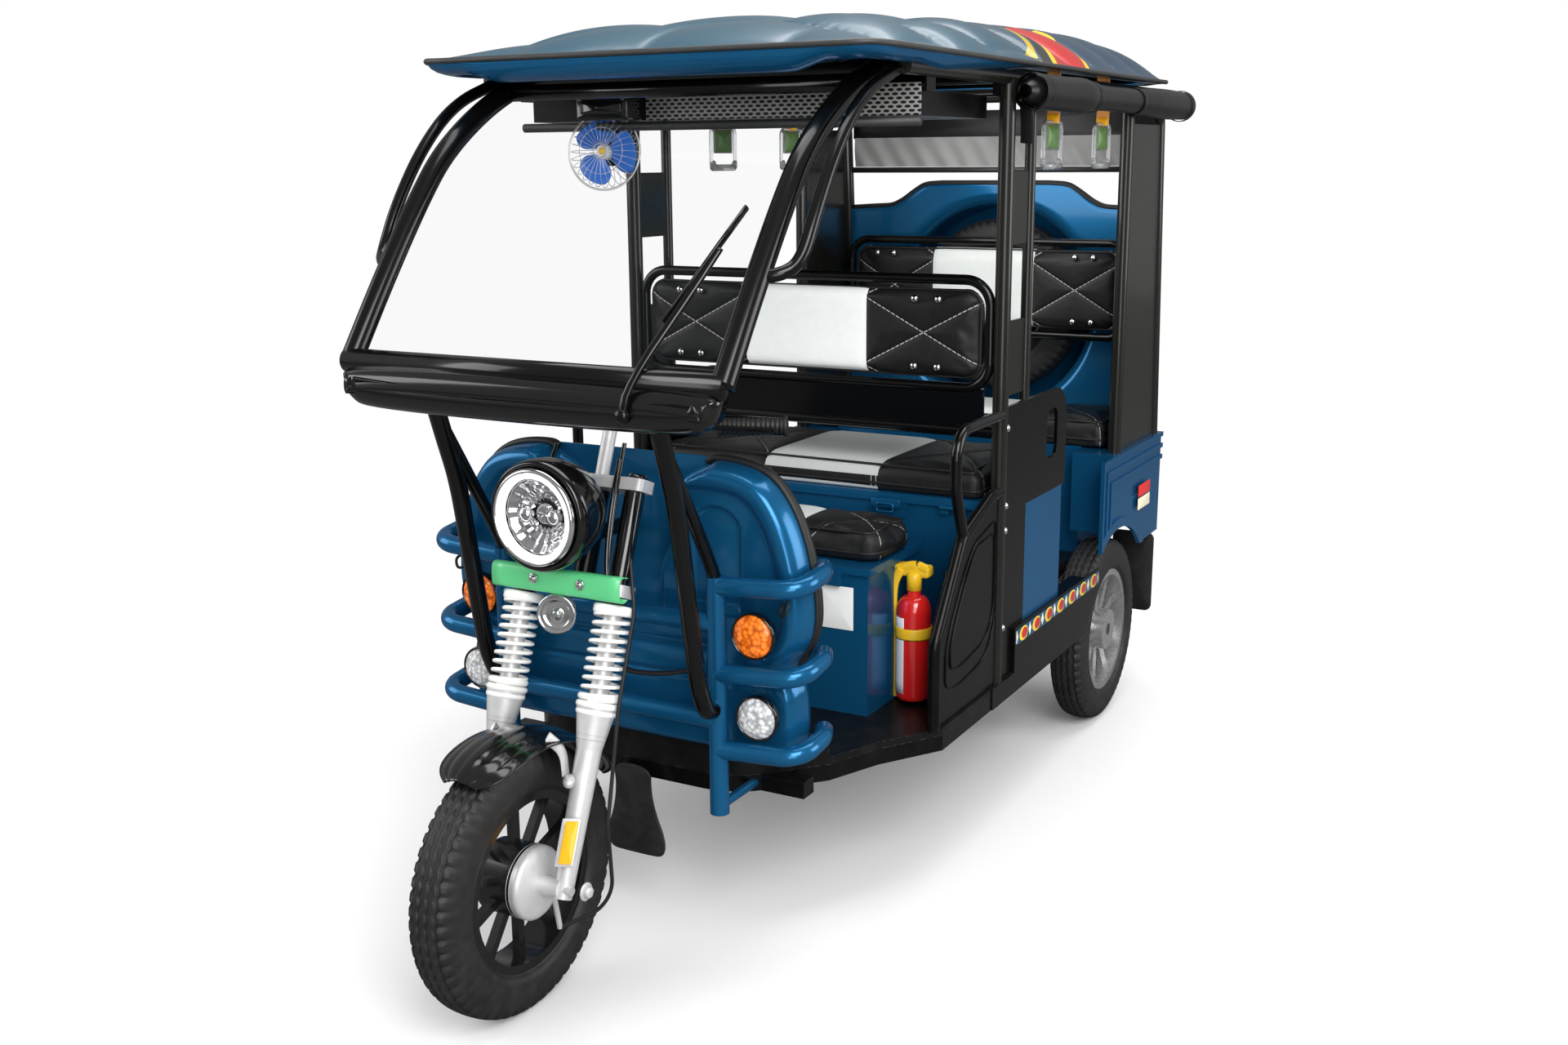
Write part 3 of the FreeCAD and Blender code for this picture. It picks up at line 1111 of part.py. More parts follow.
def gate_panels(canopy, lower):
    """Black boards beside the bench's ends, each with a hand slot and a rounded rear corner."""
    board = side_sheet([(B_PILLAR_STATION, GATE_LOW_Z), (GATE_REAR_STATION, GATE_LOW_Z),
                        (GATE_REAR_STATION, GATE_TOP_Z), (B_PILLAR_STATION, GATE_TOP_Z)])
    corners = [edge for edge in board.Edges
               if abs(edge.CenterOfMass.y - at(0, GATE_REAR_STATION, 0).y) < FIT
               and abs(edge.CenterOfMass.z - GATE_TOP_Z) < FIT]
    board = board.makeFillet(GATE_CORNER, corners)
    slot = sheet([at(PANEL_X - PANEL_THICKNESS, GATE_SLOT_FRONT_STATION, GATE_SLOT_LOW_Z),
                  at(PANEL_X - PANEL_THICKNESS, GATE_SLOT_REAR_STATION, GATE_SLOT_LOW_Z),
                  at(PANEL_X - PANEL_THICKNESS, GATE_SLOT_REAR_STATION, GATE_SLOT_TOP_Z),
                  at(PANEL_X - PANEL_THICKNESS, GATE_SLOT_FRONT_STATION, GATE_SLOT_TOP_Z)],
                 V(PANEL_THICKNESS + PANEL_THICKNESS, 0, 0), GATE_SLOT_CORNER)
    return {"gate_panels": both(without(board, slot, canopy, lower))}


def lower_panels(canopy, steps):
    """Blue boards under the gates, from the front pillar to the doorway."""
    board = side_sheet([(LOWER_PANEL_FRONT_STATION, STEP_TOP_Z), (LOWER_PANEL_REAR_STATION, STEP_TOP_Z),
                        (LOWER_PANEL_REAR_STATION, GATE_LOW_Z), (LOWER_PANEL_FRONT_STATION, GATE_LOW_Z)])
    return {"lower_panels": both(without(board, canopy, steps))}


def grab_loops(canopy, legs):
    """Round handles between each front pillar and the leg board's slope."""
    loop = bent_tube([at(PANEL_X, B_PILLAR_STATION, GRAB_TOP_Z),
                      at(PANEL_X, GRAB_FRONT_STATION, GRAB_TOP_Z),
                      at(PANEL_X, GRAB_FRONT_STATION, GRAB_LOW_Z),
                      at(PANEL_X, GRAB_FOOT_STATION, LEG_SLOPE_Z)], GRAB_RADIUS, GRAB_BEND)
    return {"grab_loops": both(without(loop, canopy, legs))}


def open_box(x_half, front, rear, low, top, wall):
    """A box with a floor and four walls, open at the top."""
    outer = box(-x_half, x_half, front, rear, low, top)
    inner = box(wall - x_half, x_half - wall, front + wall, rear - wall, low + wall, top + OVERRUN)
    return outer.cut(inner)


def lid_hinge(x, wall_station, edge_station, axis_station, top_z):
    """A butt hinge at a lid's edge: two knuckles and the pin on the box, a bored one on the lid."""
    def knuckle(x_low, x_high, station, low, high):
        near, far = sorted((station, axis_station))
        barrel = rod(at(x_low, axis_station, top_z), at(x_high, axis_station, top_z), HINGE_RADIUS)
        return joined([barrel, box(x_low, x_high, near, far, low, high)])
    half, middle = HINGE_HALF_LENGTH, HINGE_MIDDLE_HALF_LENGTH
    base = [knuckle(x - half, x - middle, wall_station, top_z - HINGE_LEAF_HEIGHT, top_z - HINGE_GAP),
            knuckle(x + middle, x + half, wall_station, top_z - HINGE_LEAF_HEIGHT, top_z - HINGE_GAP),
            rod(at(x - half, axis_station, top_z), at(x + half, axis_station, top_z), PIN_RADIUS)]
    moving = knuckle(x - middle + HINGE_GAP, x + middle - HINGE_GAP, edge_station, top_z + FIT,
                     top_z + FIT + HINGE_LEAF_THICKNESS)
    bore = rod(at(x - half, axis_station, top_z), at(x + half, axis_station, top_z),
               PIN_RADIUS + SHAFT_CLEARANCE)
    return base, moving.cut(bore)


def hinged(base, top, x, wall_station, edge_station, axis_station, top_z):
    """A box and its lid with a pair of hinges between them."""
    bases, lids = [base], [top]
    for place in (x, -x):
        fixed, moving = lid_hinge(place, wall_station, edge_station, axis_station, top_z)
        bases += fixed
        lids.append(moving)
    return joined(bases), joined(lids)


def cushion(x_half, front, rear, low, height):
    """A plain padded block with all its upright and upper edges rounded."""
    block = box(-x_half, x_half, front, rear, low, low + height)
    upper = [edge for edge in block.Edges if edge.BoundBox.ZMax > low + FIT]
    return block.makeFillet(CUSHION_EDGE, upper)


def driver_seat():
    """The driver's box with its hinged lid, hasp and cushion."""
    base = open_box(BOX_HALF_WIDTH, BOX_FRONT_STATION, BOX_REAR_STATION, FLOOR_TOP_Z, BOX_TOP_Z, SHEET)
    top = box(-BOX_HALF_WIDTH - LID_OVERLAP, BOX_HALF_WIDTH + LID_OVERLAP, BOX_FRONT_STATION - LID_OVERLAP,
              BOX_REAR_STATION, BOX_TOP_Z + FIT, BOX_TOP_Z + FIT + LID_THICKNESS)
    front = BOX_FRONT_STATION - LID_OVERLAP
    hasp = box(HASP_X - HASP_WIDTH / 2, HASP_X + HASP_WIDTH / 2, front - HASP_THICKNESS, front,
               BOX_TOP_Z + LID_THICKNESS / 2 - HASP_HEIGHT, BOX_TOP_Z + LID_THICKNESS / 2)
    pad = cushion(BOX_HALF_WIDTH + DRIVER_CUSHION_OVERHANG, BOX_FRONT_STATION + DRIVER_CUSHION_FRONT_INSET,
                  BOX_REAR_STATION - DRIVER_CUSHION_REAR_INSET,
                  BOX_TOP_Z + LID_THICKNESS + FIT + FIT, DRIVER_CUSHION_HEIGHT)
    base, top = hinged(base, joined([top, hasp]), DRIVER_HINGE_X, BOX_REAR_STATION, BOX_REAR_STATION,
                       BOX_REAR_STATION + HINGE_RADIUS + HINGE_GAP, BOX_TOP_Z)
    return {"driver_box": [base], "driver_lid": [top], "driver_cushion": [pad]}


def bench_seat():
    """The passengers' front bench: battery box, hinged lid and cushion."""
    base = open_box(BENCH_HALF_WIDTH, BENCH_FRONT_STATION, BENCH_REAR_STATION, FLOOR_TOP_Z, BENCH_TOP_Z,
                    BENCH_WALL)
    front = BENCH_FRONT_STATION - LID_OVERLAP
    top = box(-BENCH_HALF_WIDTH, BENCH_HALF_WIDTH, front, BENCH_REAR_STATION, BENCH_TOP_Z + FIT,
              BENCH_TOP_Z + FIT + BENCH_LID_THICKNESS)
    latch = box(HASP_X - HASP_WIDTH / 2, HASP_X + HASP_WIDTH / 2, BENCH_FRONT_STATION - HASP_THICKNESS,
                BENCH_FRONT_STATION, BENCH_TOP_Z - HASP_HEIGHT, BENCH_TOP_Z)
    base, top = hinged(joined([base, latch]), top, BENCH_HINGE_X, BENCH_FRONT_STATION, front,
                       front - HINGE_RADIUS - HINGE_GAP, BENCH_TOP_Z)
    pad = cushion(BENCH_HALF_WIDTH, BENCH_FRONT_STATION - BENCH_CUSHION_NOSE - LID_OVERLAP,
                  BENCH_REAR_STATION - BENCH_CUSHION_NOSE, BENCH_TOP_Z + BENCH_LID_THICKNESS + FIT + FIT,
                  BENCH_CUSHION_HEIGHT)
    middle = (BENCH_FRONT_STATION + BENCH_REAR_STATION) / 2
    low = FLOOR_TOP_Z + BENCH_WALL
    pack = box(-BATTERY_WIDTH / 2, BATTERY_WIDTH / 2, middle - BATTERY_LENGTH / 2,
               middle + BATTERY_LENGTH / 2,
               low, low + BATTERY_HEIGHT)
    return {"bench_base": [base], "bench_lid": [top], "bench_cushion": [pad], "battery_pack": [pack]}


def backrest(station, z, half_width, half_height):
    """A padded board with rounded corners, and the bent tube that runs round it."""
    def frame_points(grow):
        wide, tall = half_width + grow, half_height + grow
        return [at(x, station, z + rise) for x, rise in ((wide, -tall), (wide, tall), (-wide, tall),
                                                         (-wide, -tall))]
    pad = sheet(frame_points(0), V(0, BACKREST_THICKNESS, 0), BACKREST_CORNER)
    pad.translate(V(0, -BACKREST_THICKNESS / 2, 0))
    grow = BACKREST_TUBE_RADIUS + FIT
    bend = BACKREST_CORNER + grow
    ring = path_edges(frame_points(grow), bend, closed=True)
    first = ring[0]
    start = first.Vertexes[0].Point
    section = Part.Wire([Part.makeCircle(BACKREST_TUBE_RADIUS, start,
                                         first.tangentAt(first.FirstParameter))])
    tube = Part.Wire(ring).makePipeShell([section], True, False)
    return pad, tube


def backrests(canopy):
    """Both backrests with their tubes, and the grab rail in front of the bench."""
    bench_pad, bench_tube = backrest(BACKREST_STATION, BACKREST_Z, BACKREST_HALF_WIDTH,
                                     BACKREST_HALF_HEIGHT)
    rear_pad, rear_tube = backrest(REAR_BACKREST_STATION, REAR_BACKREST_Z, REAR_BACKREST_HALF_WIDTH,
                                   REAR_BACKREST_HALF_HEIGHT)
    rail = rod(at(-PILLAR_X, BACKREST_STATION, BENCH_RAIL_Z), at(PILLAR_X, BACKREST_STATION, BENCH_RAIL_Z),
               CROSS_RADIUS)
    half = BACKREST_HALF_WIDTH
    board = box(-half, half, BACKREST_STATION - BENCH_BOARD_THICKNESS / 2,
                BACKREST_STATION + BENCH_BOARD_THICKNESS / 2, BENCH_RAIL_Z,
                BACKREST_Z - BACKREST_HALF_HEIGHT - BACKREST_TUBE_RADIUS)
    stays = []
    for z in (BACKREST_Z - BACKREST_HALF_HEIGHT / 2, BACKREST_Z + BACKREST_HALF_HEIGHT / 2):
        wide = BACKREST_HALF_WIDTH + BACKREST_TUBE_RADIUS
        stays.append(both(rod(at(wide, BACKREST_STATION, z), at(PILLAR_X, BACKREST_STATION, z),
                              CROSS_RADIUS / 2)))
    front = joined([bench_tube, board] + stays[0] + stays[1])
    wide = REAR_BACKREST_HALF_WIDTH + BACKREST_TUBE_RADIUS
    lugs = []
    for z in (REAR_BACKREST_Z - REAR_BACKREST_HALF_HEIGHT / 2,
              REAR_BACKREST_Z + REAR_BACKREST_HALF_HEIGHT / 2):
        share = (z - PILLAR_FOOT_Z) / (ROLL_Z - ROLL_RADIUS - PILLAR_FOOT_Z)
        pillar = at(PILLAR_X, D_FOOT_STATION + (D_TOP_STATION - D_FOOT_STATION) * share, z)
        lugs += both(rod(at(wide, REAR_BACKREST_STATION, z), pillar, CROSS_RADIUS / 2))
    rear = joined([rear_tube] + lugs)
    frames = [without(shape, canopy) for shape in (front, rear, rail)]
    frames = [without(frames[0], bench_pad, frames[2]), without(frames[1], rear_pad), frames[2]]
    return {"backrest_frames": frames, "bench_backrest": [bench_pad], "rear_backrest": [rear_pad]}


def rear_seat():
    """The rear seat's closed box and its cushion."""
    low = REAR_FLOOR_BOTTOM_Z + REAR_FLOOR_THICKNESS
    base = open_box(REAR_SEAT_HALF_WIDTH, REAR_SEAT_FRONT_STATION, REAR_SEAT_REAR_STATION, low,
                    REAR_SEAT_TOP_Z, SHEET)
    top = box(-REAR_SEAT_HALF_WIDTH, REAR_SEAT_HALF_WIDTH, REAR_SEAT_FRONT_STATION, REAR_SEAT_REAR_STATION,
              REAR_SEAT_TOP_Z - SHEET, REAR_SEAT_TOP_Z)
    pad = cushion(REAR_CUSHION_HALF_WIDTH, REAR_SEAT_FRONT_STATION - REAR_CUSHION_NOSE,
                  REAR_SEAT_REAR_STATION - REAR_CUSHION_NOSE, REAR_BODY_TOP_Z + PANEL_WALL + FIT,
                  REAR_CUSHION_HEIGHT)
    seat = box(-REAR_SEAT_HALF_WIDTH, REAR_SEAT_HALF_WIDTH, REAR_SEAT_FRONT_STATION, REAR_SEAT_REAR_STATION,
               REAR_SEAT_TOP_Z, REAR_BODY_TOP_Z + PANEL_WALL)
    return {"rear_seat_base": [joined([base, top, seat])], "rear_seat_cushion": [pad]}


def tilted(shape):
    """A rear piece leaned forward with the rear pillars."""
    lean = atan2(D_FOOT_STATION - D_TOP_STATION, ROLL_Z - ROLL_RADIUS - PILLAR_FOOT_Z)
    leaned = shape.copy()
    leaned.rotate(at(0, REAR_PANEL_STATION, PILLAR_FOOT_Z), V(1, 0, 0), degrees(lean))
    return leaned


def rear_panel(canopy):
    """The wall behind the rear seat: stepped top, round well for the spare wheel, its wall, back."""
    wide, shoulder, crown = REAR_PANEL_HALF_WIDTH, REAR_PANEL_SHOULDER_Z, REAR_PANEL_CROWN_Z
    step = REAR_PANEL_CROWN_HALF_WIDTH + REAR_PANEL_STEP_WIDTH
    half = [(wide, REAR_PANEL_FOOT_Z), (wide, shoulder), (step, shoulder),
            (REAR_PANEL_CROWN_HALF_WIDTH, crown)]
    left = [at(x, REAR_PANEL_STATION, z) for x, z in half]
    wall = sheet(left + [V(-p.x, p.y, p.z) for p in reversed(left)], V(0, REAR_PANEL_WALL, 0))
    centre = at(0, REAR_PANEL_STATION, WELL_Z)
    back = centre + V(0, WELL_DEPTH, 0)
    drum = rod(centre, back, WELL_RADIUS + REAR_PANEL_WALL)
    hollow = rod(centre - V(0, OVERRUN, 0), back - V(0, REAR_PANEL_WALL, 0), WELL_RADIUS)
    stud = rod(centre + V(0, WELL_DEPTH / 2 - SPARE_HUB_WIDTH / 2, 0), back, SPARE_STUD_RADIUS)
    panel = joined([joined([wall, drum]).cut(hollow), stud])
    return {"rear_panel": [tilted(panel).cut(canopy)]}


def spare_wheel():
    """The spare tyre and rim standing in the well, as two rings on the stud."""
    centre = at(0, REAR_PANEL_STATION + WELL_DEPTH / 2 - REAR_PANEL_WALL / 2, WELL_Z)
    ring = tyre(V(0, 0, 0))
    bore = SPARE_STUD_RADIUS + FIT
    wheel = rim(V(0, 0, 0), SPARE_HUB_RADIUS, SPARE_HUB_WIDTH, bore, REAR_SPOKE_WIDTH)
    placed = []
    for shape in (ring, wheel):
        shape.rotate(V(0, 0, 0), V(0, 0, 1), degrees(pi / 2))
        shape.translate(centre)
        placed.append(tilted(shape))
    return {"spare_wheel": placed}


def rear_sides(canopy, chassis):
    """Side bodies round the rear wheels: ribbed wall, tail wall, arch with its lip."""
    front, rear = REAR_BODY_FRONT_STATION, REAR_BODY_REAR_STATION
    outer, inner = BODY_HALF_WIDTH, REAR_SEAT_HALF_WIDTH + FIT
    low, top, wall = REAR_BODY_BOTTOM_Z, REAR_BODY_TOP_Z, REAR_BODY_WALL
    skin = box(outer - wall, outer, front, rear, low, top)
    shelf = box(inner, outer, C_PILLAR_STATION - RAIL_WIDTH, rear, top - wall, top)
    face = box(inner, outer, C_PILLAR_STATION - RAIL_WIDTH, C_PILLAR_STATION - RAIL_WIDTH + wall,
               TYRE_RADIUS * 2 + FENDER_GAP, top)
    tail = box(inner, outer, rear - wall, rear, low, top)
    pieces = [skin, shelf, face, tail]
    for index in range(RIB_COUNT):
        rib_top, rib_front = top - RIB_PITCH * index, front + RIB_PITCH * index
        along = box(outer, outer + RIB_DEPTH, rib_front, rear, rib_top - RIB_HEIGHT, rib_top)
        down = box(outer, outer + RIB_DEPTH, rib_front, rib_front + RIB_HEIGHT, low, rib_top)
        pieces += [along, down]
    wheel = at(outer - wall - OVERRUN, REAR_AXLE_STATION, TYRE_RADIUS)
    arch = Part.makeCylinder(ARCH_RADIUS, wall + OVERRUN + RIB_DEPTH + OVERRUN, wheel, V(1, 0, 0))
    lip_start = at(outer, REAR_AXLE_STATION, TYRE_RADIUS)
    lip = Part.makeCylinder(ARCH_RADIUS + ARCH_LIP_WIDTH, RIB_DEPTH, lip_start, V(1, 0, 0))
    lip = lip.common(box(outer, outer + RIB_DEPTH, front, rear, low, top))
    body = joined([joined(pieces).cut(arch), lip.cut(arch)])
    return {"rear_sides": both(without(body, canopy, chassis))}


def tail_wall(chassis):
    """The blue wall across the tail under the rear panel, with its shelf."""
    half = REAR_SEAT_HALF_WIDTH
    wall = box(-half, half, REAR_BODY_REAR_STATION - REAR_BODY_WALL, REAR_BODY_REAR_STATION,
               REAR_BODY_BOTTOM_Z, REAR_BODY_TOP_Z)
    shelf = box(-half, half, REAR_SEAT_REAR_STATION + FIT, REAR_BODY_REAR_STATION,
                REAR_BODY_TOP_Z - REAR_BODY_WALL, REAR_BODY_TOP_Z)
    return {"tail_wall": [joined([wall, shelf]).cut(chassis)]}


def quarter_panels(canopy, sides):
    """Dark boards between the last two pillars on each side."""
    board = side_sheet([(C_PILLAR_STATION, REAR_BODY_TOP_Z), (D_FOOT_STATION, REAR_BODY_TOP_Z),
                        (D_TOP_STATION, QUARTER_TOP_Z), (C_PILLAR_STATION, QUARTER_TOP_Z)])
    return {"quarter_panels": both(without(board, canopy, sides))}


def mud_flaps(chassis, floor):
    """Rubber flaps behind the front wheel and behind each rear wheel."""
    front = sheet([at(-FRONT_FLAP_HALF_WIDTH, FRONT_FLAP_STATION, FRONT_FLAP_TOP_Z),
                   at(-FRONT_FLAP_HALF_WIDTH, FRONT_FLAP_STATION + FRONT_FLAP_LEAN, FRONT_FLAP_BOTTOM_Z),
                   at(FRONT_FLAP_HALF_WIDTH, FRONT_FLAP_STATION + FRONT_FLAP_LEAN, FRONT_FLAP_BOTTOM_Z),
                   at(FRONT_FLAP_HALF_WIDTH, FRONT_FLAP_STATION, FRONT_FLAP_TOP_Z)],
                  V(0, FLAP_THICKNESS, 0))
    tab = box(-FRONT_FLAP_HALF_WIDTH, FRONT_FLAP_HALF_WIDTH, FRONT_FLAP_STATION,
              PAN_NOSE_STATION + RAIL_WIDTH, FRONT_FLAP_TOP_Z - FLAP_THICKNESS, FRONT_FLAP_TOP_Z)
    rear = box(REAR_AXLE_X - REAR_FLAP_HALF_WIDTH, REAR_AXLE_X + REAR_FLAP_HALF_WIDTH - FLAP_THICKNESS,
               REAR_FLAP_STATION, REAR_FLAP_STATION + FLAP_THICKNESS, REAR_FLAP_BOTTOM_Z, REAR_FLAP_TOP_Z)
    brace = box(LEAF_X, REAR_AXLE_X, REAR_FLAP_STATION - FLAP_THICKNESS, REAR_FLAP_STATION,
                REAR_FLAP_TOP_Z - RAIL_WIDTH, REAR_FLAP_TOP_Z - RAIL_WIDTH / 2)
    pieces = [joined([front, tab])] + both(joined([rear, brace]))
    return {"mud_flaps": [without(piece, chassis, floor) for piece in pieces]}


def curtain_rolls(canopy):
    """Rolled side curtains under the eaves, the roll across the rear and the strip that hangs from it."""
    side = rod(at(ROLL_X, ROLL_FRONT_STATION, ROLL_Z), at(ROLL_X, ROLL_REAR_STATION, ROLL_Z), ROLL_RADIUS)
    rear = rod(at(-REAR_ROLL_HALF_LENGTH, REAR_ROLL_STATION, REAR_ROLL_Z),
               at(REAR_ROLL_HALF_LENGTH, REAR_ROLL_STATION, REAR_ROLL_Z), REAR_ROLL_RADIUS)
    strip = box(-REAR_ROLL_HALF_LENGTH, REAR_ROLL_HALF_LENGTH, REAR_ROLL_STATION - CURTAIN_THICKNESS / 2,
                REAR_ROLL_STATION + CURTAIN_THICKNESS / 2, CURTAIN_BOTTOM_Z, REAR_ROLL_Z)
    ties = []
    for station in (B_PILLAR_STATION, C_PILLAR_STATION):
        ties.append(rod(at(PILLAR_X, station, ROLL_Z), at(ROLL_X, station, ROLL_Z), CROSS_RADIUS / 2))
    tie = both(rod(at(PILLAR_X, D_TOP_STATION, ROLL_Z - ROLL_RADIUS),
                   at(REAR_ROLL_HALF_LENGTH - RAIL_WIDTH, REAR_ROLL_STATION, REAR_ROLL_Z),
                   CROSS_RADIUS / 2))
    return {"curtain_rolls": [shape.cut(canopy) for shape in both(joined([side] + ties))]
            + [joined([rear, strip] + tie).cut(canopy)]}


def front_lamps():
    """Round amber signals and clear fog lamps, seated on the shield's lobes."""
    signal = at(SIGNAL_X, NOSE_FACE_STATION, SIGNAL_Z)
    fog = at(FOG_X, NOSE_FACE_STATION, FOG_Z)
    reach = V(0, SIGNAL_DEPTH, 0)
    signals = rod(signal - reach, signal, SIGNAL_RADIUS)
    fogs = rod(fog - reach, fog, FOG_RADIUS)
    return {"turn_signals": both(signals), "fog_lamps": both(fogs)}


def tail_lamps():
    """Upright red lamps on the tail wall."""
    lamp = box(TAIL_LAMP_X - TAIL_LAMP_WIDTH / 2, TAIL_LAMP_X + TAIL_LAMP_WIDTH / 2, REAR_BODY_REAR_STATION,
               REAR_BODY_REAR_STATION + TAIL_LAMP_DEPTH, TAIL_LAMP_Z - TAIL_LAMP_HEIGHT / 2,
               TAIL_LAMP_Z + TAIL_LAMP_HEIGHT / 2)
    return {"tail_lamps": both(lamp)}


def fire_extinguisher():
    """A bottle with its valve head, held to the driver's box by a bracket and a band."""
    x = BOX_HALF_WIDTH + BRACKET_THICKNESS + FIT + BOTTLE_RADIUS
    foot, shoulder = at(x, BOTTLE_STATION, BOTTLE_FOOT_Z), at(x, BOTTLE_STATION, BOTTLE_SHOULDER_Z)
    neck = at(x, BOTTLE_STATION, BOTTLE_SHOULDER_Z + BOTTLE_RADIUS)
    top = at(x, BOTTLE_STATION, BOTTLE_TOP_Z)
    bottle = joined([rod(foot, shoulder, BOTTLE_RADIUS),
                     cone(shoulder, neck, BOTTLE_RADIUS, BOTTLE_NECK_RADIUS),
                     rod(neck, top, BOTTLE_NECK_RADIUS)])
    head = box(x - BOTTLE_HEAD_WIDTH / 2, x + BOTTLE_HEAD_WIDTH / 2,
               BOTTLE_STATION - BOTTLE_HEAD_LENGTH / 2, BOTTLE_STATION + BOTTLE_HEAD_LENGTH / 2,
               BOTTLE_TOP_Z, BOTTLE_TOP_Z + BOTTLE_HEAD_HEIGHT)
    wall = BOX_HALF_WIDTH
    plate = box(wall, wall + BRACKET_THICKNESS, BOTTLE_STATION - BRACKET_WIDTH / 2, BOTTLE_STATION
                + BRACKET_WIDTH / 2,
                BOTTLE_FOOT_Z, BOTTLE_TOP_Z)
    band_foot = at(x, BOTTLE_STATION, BRACKET_BAND_Z)
    band = rod(band_foot, band_foot + V(0, 0, BRACKET_BAND_HEIGHT), BOTTLE_RADIUS + BRACKET_THICKNESS)
    return {"fire_extinguisher": [joined([bottle, head, band, plate]).cut(
        box(wall - RAIL_WIDTH, wall, BOTTLE_STATION - RAIL_WIDTH, BOTTLE_STATION + RAIL_WIDTH,
            BOTTLE_FOOT_Z, BOTTLE_TOP_Z))]}


def cab_fan(tray):
    """A small fan in a round guard, on a stem under the tray's right side."""
    centre = at(-FAN_X, FAN_STATION, FAN_Z)
    depth = V(0, FAN_DEPTH / 2, 0)
    rings = [Part.makeTorus(FAN_RADIUS, FAN_RING_RADIUS, centre + side,
                            V(0, 1, 0)) for side in (depth, depth * -1)]
    hub = rod(centre - depth, centre + depth, FAN_HUB_RADIUS)
    blades = []
    for index in range(FAN_BLADE_COUNT):
        blade = Part.makeBox(FAN_BLADE_WIDTH, FAN_BLADE_THICKNESS,
                             FAN_RADIUS - FAN_RING_RADIUS - FAN_RING_RADIUS,
                             centre - V(FAN_BLADE_WIDTH / 2, FAN_BLADE_THICKNESS / 2, 0))
        blade.rotate(centre, V(0, 1, 0), degrees(2 * pi) * index / FAN_BLADE_COUNT)
        blades.append(blade)
    stays = []
    for index in range(FAN_BLADE_COUNT):
        for side in (depth, depth * -1):
            stay = rod(centre + side, centre + side + V(0, 0, FAN_RADIUS), FAN_RING_RADIUS / 2)
            stay.rotate(centre, V(0, 1, 0), degrees(2 * pi) * index / FAN_BLADE_COUNT)
            stays.append(stay)
    rear = at(-FAN_X, TRAY_FRONT_STATION + RAIL_WIDTH / 2, FAN_Z)
    arm = bent_tube([centre, rear, V(rear.x, rear.y, TRAY_BOTTOM_Z)], FAN_RING_RADIUS * 2,
                    FAN_RING_RADIUS * 4)
    return {"cab_fan": [joined(rings + [hub, arm] + blades + stays).cut(tray)]}


def hand_straps(canopy):
    """Clear handles on short straps that hang from the roof rails."""
    straps = []
    top = ROOF_RAIL_Z - ROOF_RAIL_RADIUS - FIT
    low = top - STRAP_LENGTH
    for station in (STRAP_FIRST_STATION, STRAP_SECOND_STATION):
        band = box(STRAP_X, STRAP_X + STRAP_THICKNESS, station - STRAP_WIDTH / 2, station + STRAP_WIDTH / 2,
                   low, ROOF_RAIL_Z)
        hook = box(STRAP_X, ROOF_RAIL_X, station - STRAP_WIDTH / 2, station + STRAP_WIDTH / 2,
                   ROOF_RAIL_Z - STRAP_THICKNESS, ROOF_RAIL_Z)
        ring = box(STRAP_X - STRAP_THICKNESS / 2, STRAP_X + STRAP_THICKNESS * 2,
                   station - STRAP_HANDLE_WIDTH / 2, station + STRAP_HANDLE_WIDTH / 2,
                   low - STRAP_HANDLE_HEIGHT, low)
        half = STRAP_HANDLE_WIDTH / 2 - STRAP_HANDLE_BAR
        hole = box(STRAP_X - STRAP_LENGTH, STRAP_X + STRAP_LENGTH, station - half, station + half,
                   low - STRAP_HANDLE_HEIGHT + STRAP_HANDLE_BAR, low - STRAP_HANDLE_HEIGHT / 2)
        straps += both(joined([band, hook, ring.cut(hole)]).cut(canopy))
    return {"hand_straps": straps}


def fork_clamp(z, thickness):
    """A flat yoke across the steering axis, square to it, holding both legs and the stem."""
    stem = stem_point(z)
    half = FORK_LEG_X + UPPER_TUBE_RADIUS + HEAD_TUBE_WALL
    ahead = FORK_OFFSET * cos(RAKE) + UPPER_TUBE_RADIUS + HEAD_TUBE_WALL
    neck = STEM_RADIUS + CLAMP_CORNER
    low = -thickness / 2
    left = [V(half, -ahead, low), V(half, CLAMP_EAR - ahead, low), V(neck, CLAMP_DEPTH / 2, low)]
    outline = left + [V(-p.x, p.y, p.z) for p in reversed(left)]
    block = sheet(outline, V(0, 0, thickness), CLAMP_CORNER)
    block.rotate(V(0, 0, 0), V(1, 0, 0), -STEERING_RAKE_DEGREES)
    block.translate(stem)
    return block


